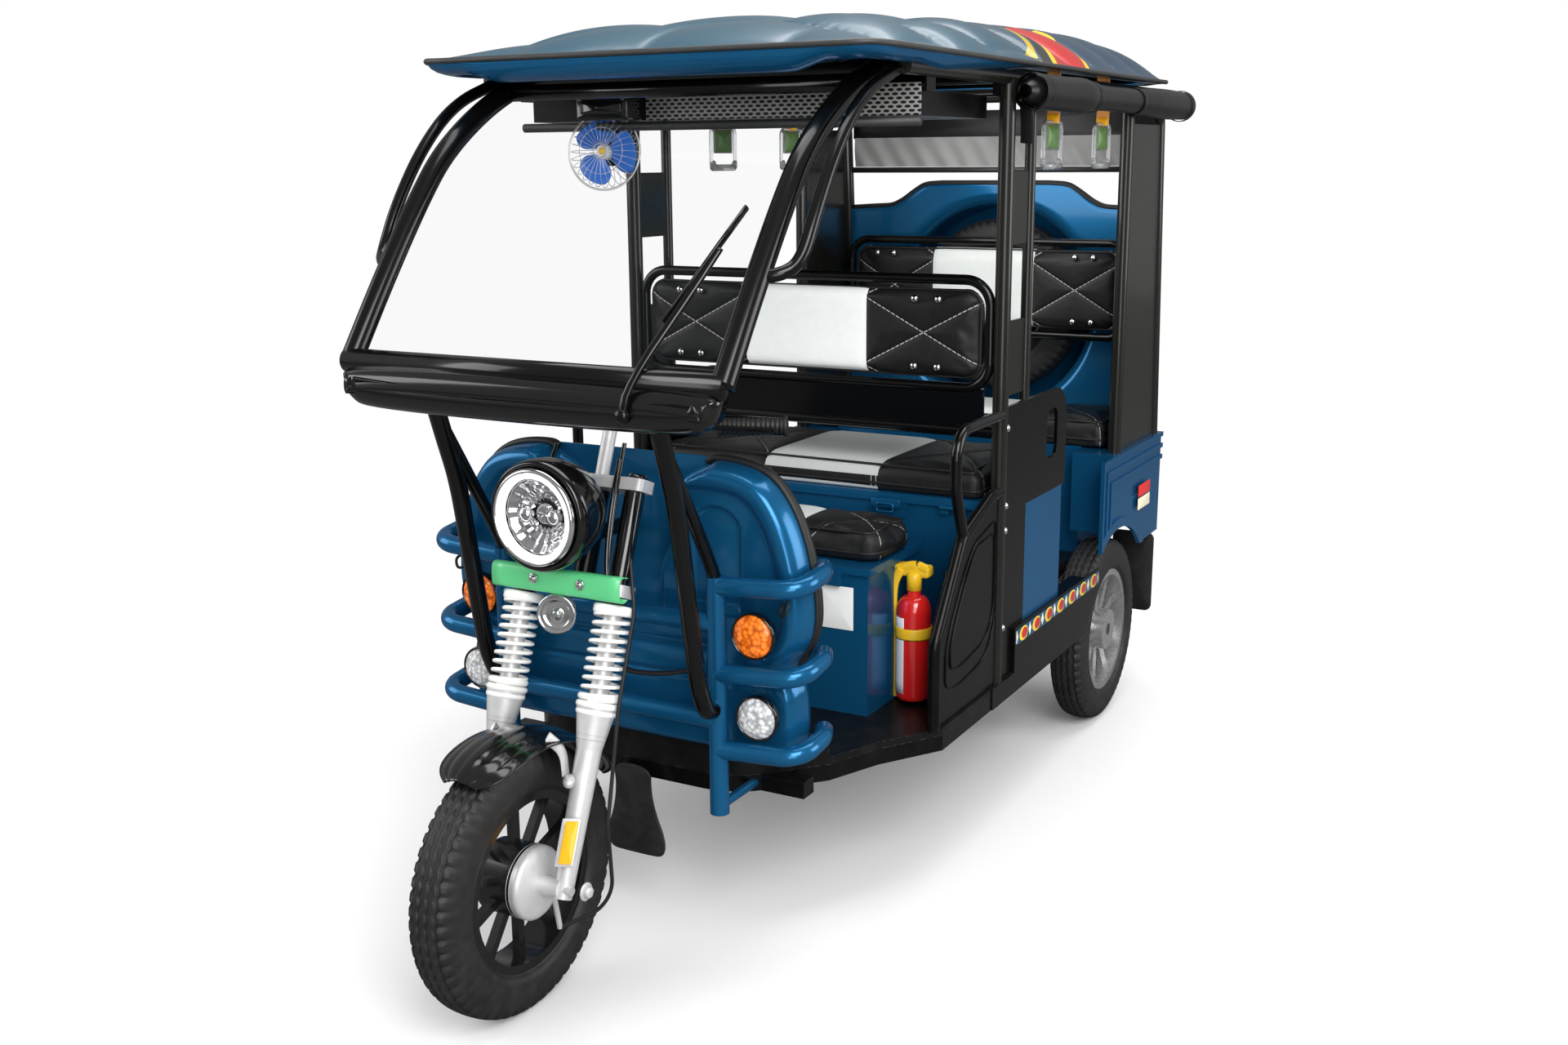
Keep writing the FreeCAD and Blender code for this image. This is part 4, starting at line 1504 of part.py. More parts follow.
def fork_legs():
    """Silver sliders with the axle, brake plate and lever; black tubes, yokes and the steering stem."""
    legs = []
    for x in (FORK_LEG_X, -FORK_LEG_X):
        foot_z = TYRE_RADIUS - FORK_FOOT_DROP
        cup_low, cup_top, top = [(z - foot_z) / cos(RAKE) for z in (CUP_BOTTOM_Z, CUP_TOP_Z,
                                                                    UPPER_TUBE_TOP_Z)]
        profile = [(0, 0), (0, LEG_FOOT_RADIUS), (cup_low, LEG_RADIUS), (cup_top, CUP_RADIUS),
                   (cup_top, UPPER_TUBE_RADIUS), (top, UPPER_TUBE_RADIUS), (top, 0)]
        legs.append(turned(profile, leg_point(x, foot_z), AXIS, V(1, 0, 0)))
    hub = at(0, 0, TYRE_RADIUS)
    across = V(FORK_LEG_X + LEG_RADIUS, 0, 0)
    legs.append(rod(hub - across, hub + across, AXLE_RADIUS))
    legs += [fork_clamp(LOWER_CLAMP_Z, CLAMP_THICKNESS), fork_clamp(UPPER_CLAMP_Z, CLAMP_THICKNESS)]
    legs.append(rod(stem_point(LOWER_CLAMP_Z), stem_point(UPPER_CLAMP_Z) + AXIS * HANDLEBAR_RISE,
                    STEM_RADIUS))
    inner = FRONT_HUB_WIDTH / 2 + BRAKE_RIM_GAP
    plate = rod(hub + V(inner, 0, 0), hub + V(inner + BRAKE_PLATE_THICKNESS, 0, 0), BRAKE_PLATE_RADIUS)
    boss = rod(hub + V(inner, 0, 0), hub + V(FORK_LEG_X, 0, 0), LEG_FOOT_RADIUS)
    legs += [plate, boss, brake_arm()]
    return joined(legs)


def brake_arm():
    """The lever on the brake plate that the cable pulls."""
    x = FRONT_HUB_WIDTH / 2 + BRAKE_RIM_GAP + BRAKE_PLATE_THICKNESS
    pivot = at(x, BRAKE_PLATE_RADIUS / 2, TYRE_RADIUS - BRAKE_PLATE_RADIUS / 2)
    end = pivot + V(0, BRAKE_ARM_WIDTH, -BRAKE_ARM_LENGTH)
    boss = rod(pivot - V(BRAKE_PLATE_THICKNESS / 2, 0, 0), pivot + V(BRAKE_ARM_WIDTH, 0, 0),
               BRAKE_ARM_WIDTH / 2)
    arm = rod(pivot + V(BRAKE_ARM_WIDTH / 2, 0, 0), end + V(BRAKE_ARM_WIDTH / 2, 0, 0), BRAKE_ARM_WIDTH / 3)
    return joined([boss, arm])


def fork_springs(legs):
    """White coil springs round the fork, drawn as a core with a ring for every turn."""
    springs = []
    length = (SPRING_TOP_Z - CUP_TOP_Z) / cos(RAKE)
    pitch = length / SPRING_TURNS
    for x in (FORK_LEG_X, -FORK_LEG_X):
        foot = leg_point(x, CUP_TOP_Z)
        inner = UPPER_TUBE_RADIUS + FIT
        profile = [(0, inner)]
        for turn in range(SPRING_TURNS):
            start = turn * pitch
            profile += [(start, SPRING_CORE_RADIUS), (start + pitch / 4, SPRING_RADIUS),
                        (start + pitch / 2, SPRING_RADIUS), (start + pitch * 3 / 4, SPRING_CORE_RADIUS)]
        profile += [(length, SPRING_CORE_RADIUS), (length, inner)]
        springs.append(turned(profile, foot, AXIS, V(1, 0, 0)).cut(legs))
    return springs


def handlebar(legs):
    """A bar bent back towards the driver, with grips and two levers."""
    top = stem_point(UPPER_CLAMP_Z) + AXIS * HANDLEBAR_RISE
    side = [top, top + V(HANDLEBAR_FIRST_X, 0, 0), top + V(HANDLEBAR_SECOND_X, HANDLEBAR_BACK, 0),
            top + V(GRIP_END_X, HANDLEBAR_BACK + HANDLEBAR_BACK / 4, 0)]
    whole = [V(-p.x, p.y, p.z) for p in reversed(side)][:-1] + side[1:]
    bar = bent_tube(whole, HANDLEBAR_RADIUS, HANDLEBAR_BEND)
    outward = side[3] - side[2]
    outward.normalize()
    grip = rod(side[3] - outward * GRIP_LENGTH, side[3], GRIP_RADIUS)
    perch = side[3] - outward * (GRIP_LENGTH + LEVER_RADIUS * 3)
    pivot = perch - V(0, LEVER_GAP, 0)
    lever = rod(pivot, pivot + outward * LEVER_LENGTH, LEVER_RADIUS)
    bracket = rod(perch, pivot, LEVER_RADIUS)
    pieces = [bar]
    for shape in (grip, lever, bracket):
        pieces += both(shape)
    return joined(pieces).cut(legs)


def headlamp(legs):
    """A round bucket with a bright ring and a recessed lens, on a bracket to the lower yoke."""
    centre = at(0, LAMP_STATION, LAMP_Z)
    half = LAMP_DEPTH / 2
    profile = [(half, 0), (half, LAMP_TAIL_RADIUS), (0, LAMP_RADIUS - LAMP_RING_DEPTH / 4),
               (LAMP_RING_DEPTH - half, LAMP_RADIUS),
               (-half, LAMP_RING_RADIUS), (-half, LAMP_GLASS_RADIUS), (LAMP_GLASS_INSET - half,
                                                                       LAMP_GLASS_RADIUS),
               (LAMP_GLASS_INSET - half, 0)]
    bucket = turned(profile, centre, V(0, 1, 0), V(0, 0, 1))
    back = at(0, LAMP_STATION + half - LAMP_BRACKET_THICKNESS, LAMP_Z)
    arms = []
    for x in (FORK_LEG_X, -FORK_LEG_X):
        leg = leg_point(x, LAMP_Z)
        sweep = rod(V(x / 3, back.y, back.z), V(x, leg.y, leg.z), LAMP_BRACKET_THICKNESS)
        arms.append(sweep)
    return joined([bucket] + arms).cut(legs)


def number_plate(legs):
    """A blank plate folded along its middle, on two stays to the lower yoke."""
    station = PLATE_STATION
    half_w, half_h = PLATE_WIDTH / 2, PLATE_HEIGHT / 2
    wing = sheet([at(-half_w, station, PLATE_Z + half_h), at(half_w, station, PLATE_Z + half_h),
                  at(half_w, station - PLATE_FOLD, PLATE_Z - half_h), at(-half_w, station - PLATE_FOLD,
                                                                         PLATE_Z - half_h)],
                 V(0, SHEET, 0))
    stays = []
    for x in (PLATE_STAY_X, -PLATE_STAY_X):
        yoke = stem_point(LOWER_CLAMP_Z) + V(x, -FORK_OFFSET, FORK_OFFSET * RAKE_SLOPE)
        stays.append(rod(at(x, station - PLATE_FOLD / 2 + SHEET / 2, PLATE_Z), yoke, PLATE_STAY_RADIUS))
    return joined([wing] + stays).cut(legs)


def horn(legs, plate):
    """A disc horn with its bell, on a stay to the lower yoke."""
    centre = at(HORN_X, HORN_STATION, HORN_Z)
    half = HORN_DEPTH / 2
    profile = [(half, 0), (half, HORN_BACK_RADIUS), (0, HORN_RADIUS), (-half, HORN_RADIUS),
               (-half, HORN_RADIUS - SHEET),
               (0, HORN_THROAT_RADIUS), (0, 0)]
    bell = turned(profile, centre, V(0, 1, 0), V(0, 0, 1))
    yoke = stem_point(LOWER_CLAMP_Z)
    stay = rod(centre + V(0, half / 2, 0), V(HORN_X, yoke.y, HORN_Z + (LOWER_CLAMP_Z - HORN_Z) / 2),
               HORN_STAY_RADIUS)
    return joined([bell, stay]).cut(legs).cut(plate)


def front_fender(legs):
    """A curved guard over the tyre with folded sides, on stays to the sliders."""
    centre = at(0, 0, TYRE_RADIUS)
    outer = TYRE_RADIUS + FENDER_GAP + FENDER_WALL
    half = FENDER_HALF_WIDTH
    profile = [(-half, outer - FENDER_SIDE_DROP), (-half, outer - FENDER_WALL),
               (-half + FENDER_SIDE_DROP, outer),
               (half - FENDER_SIDE_DROP, outer), (half, outer - FENDER_WALL), (half,
                                                                               outer - FENDER_SIDE_DROP),
               (half - FENDER_WALL, outer - FENDER_SIDE_DROP), (half - FENDER_WALL, outer - FENDER_WALL
                                                                - FENDER_WALL),
               (half - FENDER_SIDE_DROP, outer - FENDER_WALL), (FENDER_SIDE_DROP - half,
                                                                outer - FENDER_WALL),
               (FENDER_WALL - half, outer - FENDER_WALL - FENDER_WALL), (FENDER_WALL - half,
                                                                         outer - FENDER_SIDE_DROP)]
    start = V(0, -cos(radians(FENDER_FRONT_DEGREES)), sin(radians(FENDER_FRONT_DEGREES)))
    points = [centre + V(along, 0, 0) + start * radius for along, radius in profile]
    face = Part.Face(Part.makePolygon(points + [points[0]]))
    guard = face.revolve(centre, V(1, 0, 0), FENDER_FRONT_DEGREES - FENDER_REAR_DEGREES)
    stays = []
    for x in (FORK_LEG_X, -FORK_LEG_X):
        leg = leg_point(x, FENDER_STAY_Z)
        inward = (half - FENDER_WALL / 2) / FORK_LEG_X
        stays.append(rod(V(x * inward, leg.y, leg.z), leg, FENDER_STAY_RADIUS))
    return joined([guard] + stays).cut(legs)


def brake_cable(legs):
    """The front brake cable, from the lever's end up behind the left slider to the yoke."""
    arm_end = at(FRONT_HUB_WIDTH / 2 + BRAKE_RIM_GAP + BRAKE_PLATE_THICKNESS + BRAKE_ARM_WIDTH / 2,
                 BRAKE_PLATE_RADIUS / 2 + BRAKE_ARM_WIDTH,
                 TYRE_RADIUS - BRAKE_PLATE_RADIUS / 2 - BRAKE_ARM_LENGTH)
    out = FORK_LEG_X + SPRING_RADIUS + CABLE_RADIUS * 2
    points = [arm_end, at(out, TYRE_WIDTH, TYRE_RADIUS - BRAKE_PLATE_RADIUS),
              leg_point(out, CUP_BOTTOM_Z - LEVER_LENGTH, FORK_OFFSET + CABLE_RADIUS),
              leg_point(out, CUP_TOP_Z, CABLE_RADIUS), leg_point(out, SPRING_TOP_Z, 0),
              leg_point(FORK_LEG_X, UPPER_CLAMP_Z - CLAMP_DEPTH, 0)]
    return bent_tube(points, CABLE_RADIUS, TYRE_WIDTH).cut(legs)


def steering():
    """Everything that turns with the fork, apart from the wheel."""
    legs = fork_legs()
    plate = number_plate(legs)
    return {"fork_legs": [legs], "fork_springs": fork_springs(legs), "handlebar": [handlebar(legs)],
            "headlamp": [headlamp(legs)], "number_plate": [plate], "horn": [horn(legs, plate)],
            "front_fender": [front_fender(legs)], "brake_cable": [brake_cable(legs)]}


def vehicle():
    """All nodes by name, each a list of solids."""
    nodes = {}
    nodes.update(chassis_frame())
    chassis = nodes["chassis_frame"][0]
    nodes.update(floor_pan(chassis))
    nodes.update(side_steps())
    steps = joined(nodes["side_steps"])
    nodes.update(nose_panel(chassis, nodes["floor_pan"][0]))
    nose = nodes["nose_panel"][0]
    nodes.update(crash_guard(nose, chassis))
    nodes.update(windscreen_frame())
    screen = nodes["windscreen_frame"][0]
    nodes.update(front_cage(nodes["crash_guard"][0], screen))
    nodes.update(windscreen_glass(screen))
    nodes.update(front_fascia(screen, joined(nodes["front_cage"])))
    nodes.update(wiper(screen, nodes["front_fascia"][0]))
    nodes.update(canopy_frame())
    canopy = nodes["canopy_frame"][0].cut(screen)
    nodes["canopy_frame"] = [canopy]
    nodes.update(roof_shell(canopy))
    nodes.update(roof_tray(canopy))
    nodes.update(lower_panels(canopy, steps))
    nodes.update(leg_panels(canopy, steps))
    nodes.update(gate_panels(canopy, joined(nodes["lower_panels"])))
    nodes.update(grab_loops(canopy, joined(nodes["leg_panels"])))
    for make in (driver_seat, bench_seat, rear_seat, spare_wheel, rear_axle, leaf_springs, tail_lamps,
                 fire_extinguisher, front_wheel, rear_wheels, steering):
        nodes.update(make())
    nodes.update(backrests(canopy))
    nodes.update(rear_panel(canopy))
    nodes.update(rear_sides(canopy, chassis))
    nodes.update(tail_wall(chassis))
    nodes.update(quarter_panels(canopy, joined(nodes["rear_sides"])))
    nodes.update(mud_flaps(chassis, nodes["floor_pan"][0]))
    nodes.update(curtain_rolls(canopy))
    nodes.update(front_lamps())
    nodes.update(cab_fan(nodes["roof_tray"][0]))
    nodes.update(hand_straps(canopy))
    return nodes


def save(nodes):
    """Write every node to its own file."""
    os.makedirs("parts", exist_ok=True)
    for name, shapes in nodes.items():
        solids = [solid for shape in shapes for solid in shape.Solids]
        shape = solids[0] if len(solids) == 1 else Part.makeCompound(solids)
        shape.exportStep("parts/" + name + ".step")
        print(name, len(solids), shape.isValid(), round(shape.Volume / 1000))


save(vehicle())
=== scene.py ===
from math import cos, pi, radians, sin, tan

import bmesh
import bpy
import numpy as np
from bpy.props import FloatProperty, FloatVectorProperty, IntProperty, PointerProperty
from bpy.types import Operator, Panel, PropertyGroup
from mathutils import Matrix, Vector
from mathutils.bvhtree import BVHTree


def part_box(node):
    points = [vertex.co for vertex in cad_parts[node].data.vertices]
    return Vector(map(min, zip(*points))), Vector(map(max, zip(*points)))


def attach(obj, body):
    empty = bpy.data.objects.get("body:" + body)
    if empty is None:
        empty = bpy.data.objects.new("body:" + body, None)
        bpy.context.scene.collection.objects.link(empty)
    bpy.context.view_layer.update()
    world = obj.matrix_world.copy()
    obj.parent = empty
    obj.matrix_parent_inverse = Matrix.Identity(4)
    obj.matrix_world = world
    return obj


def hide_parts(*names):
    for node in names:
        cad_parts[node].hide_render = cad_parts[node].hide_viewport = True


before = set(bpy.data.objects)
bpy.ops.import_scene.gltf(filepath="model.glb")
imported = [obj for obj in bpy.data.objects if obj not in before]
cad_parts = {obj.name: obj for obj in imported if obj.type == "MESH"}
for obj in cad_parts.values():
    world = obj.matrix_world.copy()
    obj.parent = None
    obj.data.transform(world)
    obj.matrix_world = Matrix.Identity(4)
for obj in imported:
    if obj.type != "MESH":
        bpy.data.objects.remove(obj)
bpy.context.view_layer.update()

bl_info = {
    "name": "Battery rickshaw dressing",
    "version": (1, 0, 0),
    "blender": (4, 5, 0),
    "location": "View3D > Sidebar > Rickshaw",
    "description": "Finishes and detailed pieces for a three-wheeled battery rickshaw",
    "category": "Object",
}

# A station is a distance behind the front axle; every length is in metres
AXLE_Y = sum(corner.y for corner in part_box("front_tyre")) / 2
RAKE = radians(21)
LEG_X, LEG_LEAD, HUB_Z = 0.100, 0.008, 0.245
UP_AXIS = np.array([0, sin(RAKE), cos(RAKE)])
ACROSS = np.array([1.0, 0, 0])
AHEAD = np.array([0, -1.0, 0])
UP = np.array([0, 0, 1.0])
MM = 0.001
SIDES = (1, -1)


# Shapes
def at(x, station, z):
    """A point given by its station behind the front axle, in metres."""
    return np.array([x, AXLE_Y + station, z])


def line_at(points, side=1):
    """Rows of (x, station, z) in the frame, as written or on the other side."""
    return np.asarray(points, float) * [side, 1, 1] + [0, AXLE_Y, 0]


def leg_at(x, z, behind=0.0):
    """A point of the fork's raked plane at a height."""
    return at(x, LEG_LEAD + behind + (z - HUB_Z) * tan(RAKE), z)


class Shape:
    """Surfaces gathered into one mesh: each is a grid of points joined by four-sided faces."""

    def __init__(self):
        self.points, self.faces, self.marks, self.count = [], [], [], 0

    def grid(self, points, around=False, ring=False, mark=0):
        """points is (rows, columns, 3). around joins the last column to the first, ring the last row."""
        rows, columns = points.shape[:2]
        place = np.arange(rows * columns).reshape(rows, columns) + self.count
        if around:
            place = np.concatenate([place, place[:, :1]], 1)
        if ring:
            place = np.concatenate([place, place[:1]], 0)
        quads = np.stack([place[:-1, :-1], place[:-1, 1:], place[1:, 1:], place[1:, :-1]], -1).reshape(-1, 4)
        self.points.append(points.reshape(-1, 3))
        self.faces.append(quads)
        self.marks.append(np.full(len(quads), mark))
        self.count += rows * columns
        return self

    def wrap(self, points, mark=0):
        """A grid whose last column joins its first."""
        return self.grid(points, around=True, mark=mark)

    def loop(self, points, mark=0):
        """A grid closed both ways."""
        return self.grid(points, around=True, ring=True, mark=mark)

    def mirrored(self):
        """The same surfaces again on the other side of the centre plane."""
        for points, faces, marks in list(zip(self.points, self.faces, self.marks)):
            start = faces.min()
            self.points.append(points * [-1, 1, 1])
            self.faces.append(faces[:, ::-1] - start + self.count)
            self.marks.append(marks)
            self.count += len(points)
        return self

    def build(self, name, body, slot, *finishes, replaces=(), outward=True):
        """The piece as an object at the origin, riding on its body."""
        points, faces, marks = (np.concatenate(part) for part in (self.points, self.faces, self.marks))
        mesh = bpy.data.meshes.new(name)
        mesh.vertices.add(len(points))
        mesh.vertices.foreach_set("co", points.astype(np.float32).ravel())
        mesh.loops.add(faces.size)
        mesh.loops.foreach_set("vertex_index", faces.astype(np.int32).ravel())
        mesh.polygons.add(len(faces))
        mesh.polygons.foreach_set("loop_start", np.arange(0, faces.size, 4, dtype=np.int32))
        mesh.polygons.foreach_set("material_index", marks.astype(np.int32))
        mesh.update(calc_edges=True)
        clean = bmesh.new()
        clean.from_mesh(mesh)
        bmesh.ops.remove_doubles(clean, verts=clean.verts, dist=1e-6)
        bmesh.ops.dissolve_degenerate(clean, edges=clean.edges, dist=1e-7)
        if outward:
            bmesh.ops.recalc_face_normals(clean, faces=clean.faces)
        clean.to_mesh(mesh)
        clean.free()
        mesh.polygons.foreach_set("use_smooth", np.full(len(mesh.polygons), True))
        piece = bpy.data.objects.new(name, mesh)
        bpy.context.scene.collection.objects.link(piece)
        for finish in finishes:
            mesh.materials.append(FINISHES[finish])
        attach(piece, body)
        if replaces:
            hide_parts(*replaces)
        return piece


def walled(piece, thickness, offset=-1.0):
    """Gives a sheet its thickness, on its inner side unless told otherwise."""
    wall = piece.modifiers.new("wall", "SOLIDIFY")
    wall.thickness, wall.offset = thickness, offset
    return wall


def angles(count):
    """Even angles round a full turn."""
    return np.linspace(0, 2 * pi, count, endpoint=False)


def eased(value):
    """A soft step: 3 v^2 - 2 v^3 between 0 and 1."""
    value = np.clip(value, 0, 1)
    return value ** 2 * (3 - 2 * value)


def sides_of(axis):
    """Two unit vectors across an axis."""
    axis = np.asarray(axis, float) / np.linalg.norm(axis)
    seed = UP if abs(axis[2]) < 0.9 else ACROSS
    first = np.cross(seed, axis)
    first /= np.linalg.norm(first)
    return axis, first, np.cross(axis, first)


def circle(centre, radius, first, second, count):
    """Points round a circle in the plane of two unit vectors."""
    turn = angles(count)[:, None]
    return centre + radius * (np.cos(turn) * first + np.sin(turn) * second)


def turned(profile, centre, axis, steps=64):
    """Surface of revolution: (along, radius) pairs turned about an axis through a centre."""
    axis, first, second = sides_of(axis)
    profile = np.asarray(profile, float)
    spoke = circle(0, 1, first, second, steps)
    return np.asarray(centre) + profile[:, :1, None] * axis + profile[:, 1:, None] * spoke[None]


def section(tangent, seed, sides, flat):
    """Directions across each tangent of a path: cos t n + flat sin t b."""
    tangent = tangent / np.linalg.norm(tangent, axis=1)[:, None]
    if seed is None:
        seed = np.eye(3)[np.abs(tangent).max(0).argmin()]
    normal = np.cross(tangent, seed)
    normal /= np.linalg.norm(normal, axis=1)[:, None]
    binormal = np.cross(tangent, normal)
    turn = angles(sides)[None, :, None]
    return np.cos(turn) * normal[:, None] + flat * np.sin(turn) * binormal[:, None]


def tube(path, radius, sides, flat=1.0, seed=None):
    """A round section carried along a path, path + radius (cos t n + flat sin t b), closed at its ends."""
    path = np.asarray(path, float)
    across = section(np.gradient(path, axis=0), seed, sides, flat)
    spots = [0, *range(len(path)), -1]
    size = np.full((len(spots), 1, 1), radius, float)
    size[[0, -1]] = 0
    return path[spots][:, None] + size * across[spots]


def ring_tube(points, radius, sides, flat=1.0, seed=None):
    """The same section carried round a closed loop of points."""
    tangent = np.roll(points, -1, 0) - np.roll(points, 1, 0)
    return points[:, None] + radius * section(tangent, seed, sides, flat)


def softened(points, rounds, share=0.25, closed=False):
    """Corner cutting: every run is cut near both ends, again and again, into a smooth line."""
    points = np.asarray(points, float)
    for _ in range(rounds):
        ahead = np.roll(points, -1, 0) if closed else points[1:]
        here = points if closed else points[:-1]
        step = (ahead - here) * share
        cut = np.stack([here + step, ahead - step], 1).reshape(-1, points.shape[1])
        points = cut if closed else np.concatenate([points[:1], cut, points[-1:]])
    return points


def resampled(points, count, closed=False):
    """The same line with points at even distances."""
    points = np.asarray(points, float)
    if closed:
        points = np.concatenate([points, points[:1]])
    reach = np.concatenate([[0], np.cumsum(np.linalg.norm(np.diff(points, axis=0), axis=1))])
    wanted = np.linspace(0, reach[-1], count, endpoint=not closed)
    return np.stack([np.interp(wanted, reach, points[:, k]) for k in range(points.shape[1])], 1)


def bent(points, radius, sides, rounds=3, share=0.25, **section_options):
    """A tube along a softened line."""
    return tube(softened(points, rounds, share), radius, sides, **section_options)


def rounded_outline(half_width, half_height, corner, count):
    """A rectangle with round corners as (u, v) points, the corner circles joined by straight sides."""
    turn = angles(count) + pi / count
    u = np.sign(np.cos(turn)) * (half_width - corner) + corner * np.cos(turn)
    v = np.sign(np.sin(turn)) * (half_height - corner) + corner * np.sin(turn)
    return np.stack([u, v], 1)


def inset_outline(outline, amount):
    """Each point of a closed outline moved inwards along its normal."""
    along = np.roll(outline, -1, 0) - np.roll(outline, 1, 0)
    normal = np.stack([-along[:, 1], along[:, 0]], 1)
    normal /= np.maximum(np.linalg.norm(normal, axis=1), 1e-9)[:, None]
    area = np.sum(outline[:, 0] * np.roll(outline[:, 1], -1) - outline[:, 1] * np.roll(outline[:, 0], -1))
    return outline + normal * amount * np.sign(area)


def pad_of(outline, levels, place):
    """A closed slab: rings of an outline, each inset and lifted, closed by its middle at both ends."""
    rings = []
    for inset, lift in levels:
        ring = inset_outline(outline, inset)
        rings.append(np.concatenate([ring, np.full((len(ring), 1), lift)], 1))
    middle = outline.mean(0)
    first = np.tile([*middle, levels[0][1]], (len(outline), 1))
    last = np.tile([*middle, levels[-1][1]], (len(outline), 1))
    return place(np.stack([first] + rings + [last]))


def facing(centre, u_axis=ACROSS, v_axis=UP, out_axis=AHEAD):
    """A placing function: (u, v, lift) into the frame, to the front unless told otherwise."""
    centre, axes = np.asarray(centre, float), np.stack([u_axis, v_axis, out_axis]).astype(float)
    return lambda local: centre + local @ axes


def plate(half_width, half_height, corner, count, levels, place):
    """A slab over a rounded rectangle."""
    return pad_of(rounded_outline(half_width, half_height, corner, count), levels, place)


def slab_levels(thickness, edge):
    """Levels for pad_of with both edges rounded."""
    return [(edge, 0), (edge * 0.3, edge * 0.3), (0, edge), (0, thickness - edge),
            (edge * 0.3, thickness - edge * 0.3), (edge, thickness)]


def dome(radius, height, centre, out, steps, sides):
    """A small round head: profile of an arch turned about its axis."""
    turn = np.linspace(0, pi / 2, steps // 4 + 2)
    profile = np.stack([height * np.sin(turn), radius * np.cos(turn)], 1)
    profile = np.concatenate([[[0, 0]], [[0, radius]], profile])
    return turned(profile, centre, out, sides)


def bolt(shape, centre, out, radius, mark=0):
    """A six-sided head on a washer, with a low domed top."""
    shape.wrap(turned([(0, 0), (0, radius * 1.5), (radius * 0.25, radius * 1.5),
                       (radius * 0.3, radius * 1.3), (radius * 0.3, 0)], centre, out, 16), mark=mark)
    shape.wrap(turned([(radius * 0.3, 0), (radius * 0.3, radius), (radius * 0.95, radius),
                       (radius * 1.1, radius * 0.7), (radius * 1.15, 0)], centre, out, 6), mark=mark)


# Finishes
class Finish:
    """A material in the making: short calls for its nodes and links."""

    def __init__(self, name):
        self.material = bpy.data.materials.new(name)
        self.material.use_nodes = True
        self.nodes, self.links = self.material.node_tree.nodes, self.material.node_tree.links
        self.shader = self.nodes["Principled BSDF"]

    def add(self, kind, inputs=(), **settings):
        node = self.nodes.new(kind)
        for key, value in settings.items():
            setattr(node, key, value)
        for key, value in dict(inputs).items():
            self.feed(node.inputs[key], value)
        return node

    def feed(self, socket, value):
        if isinstance(value, bpy.types.NodeSocket):
            self.links.new(value, socket)
        elif hasattr(socket.default_value, "__len__") and hasattr(value, "__len__") and len(value) == 3 \
                and len(socket.default_value) == 4:
            socket.default_value = (*value, 1)
        else:
            socket.default_value = value

    def set(self, **sockets):
        for key, value in sockets.items():
            self.feed(self.shader.inputs[key.replace("_", " ")], value)
        return self

    def math(self, operation, a, b=0.0, c=0.0):
        node = self.add("ShaderNodeMath", operation=operation)
        for socket, value in zip(node.inputs, (a, b, c)):
            self.feed(socket, value)
        return node.outputs[0]

    def mix(self, factor, a, b):
        node = self.add("ShaderNodeMix", data_type="RGBA")
        self.feed(node.inputs[0], factor)
        self.feed(node.inputs[6], a)
        self.feed(node.inputs[7], b)
        return node.outputs[2]

    def position(self):
        return self.add("ShaderNodeTexCoord").outputs["Object"]

    def times(self, first, second):
        return self.math("MULTIPLY", first, second)

    def plus(self, first, second):
        return self.math("ADD", first, second)

    def minus(self, first, second):
        return self.math("SUBTRACT", first, second)

    def over(self, first, second):
        return self.math("DIVIDE", first, second)

    def below(self, value, limit):
        return self.math("LESS_THAN", value, limit)

    def parts(self, vector):
        return self.add("ShaderNodeSeparateXYZ", {"Vector": vector}).outputs

    def noise(self, place, scale, detail):
        return self.add("ShaderNodeTexNoise",
                        {"Vector": place, "Scale": scale, "Detail": detail}).outputs["Fac"]

    def ramp(self, value, low, high):
        inputs = {"Value": value, "From Min": low, "From Max": high}
        return self.add("ShaderNodeMapRange", inputs).outputs[0]

    def grain(self, place, scale, depth):
        return self.group("Grain", Place=place, Scale=scale, Depth=depth)

    def group(self, name, **inputs):
        node = self.add("ShaderNodeGroup", node_tree=bpy.data.node_groups[name])
        for key, value in inputs.items():
            self.feed(node.inputs[key.replace("_", " ")], value)
        return node.outputs

    def bump(self, height, strength, distance):
        inputs = {"Height": height, "Strength": strength, "Distance": distance}
        return self.add("ShaderNodeBump", inputs).outputs[0]


class Group(Finish):
    """A node group in the making, with named inputs and outputs."""

    def __init__(self, name, inputs, outputs):
        self.tree = bpy.data.node_groups.new(name, "ShaderNodeTree")
        self.nodes, self.links = self.tree.nodes, self.tree.links
        for key, value in inputs.items():
            kind = "NodeSocketVector" if value is None else "NodeSocketFloat"
            socket = self.tree.interface.new_socket(key, in_out="INPUT", socket_type=kind)
            if value is not None:
                socket.default_value = value
        for key in outputs:
            self.tree.interface.new_socket(key, in_out="OUTPUT", socket_type="NodeSocketFloat")
        self.inside = self.nodes.new("NodeGroupInput").outputs
        self.out = self.nodes.new("NodeGroupOutput").inputs


def toned(colour, share):
    """A colour made darker or brighter."""
    return tuple(c * share for c in colour)


def grey(level):
    """A neutral colour."""
    return (level, level, level)


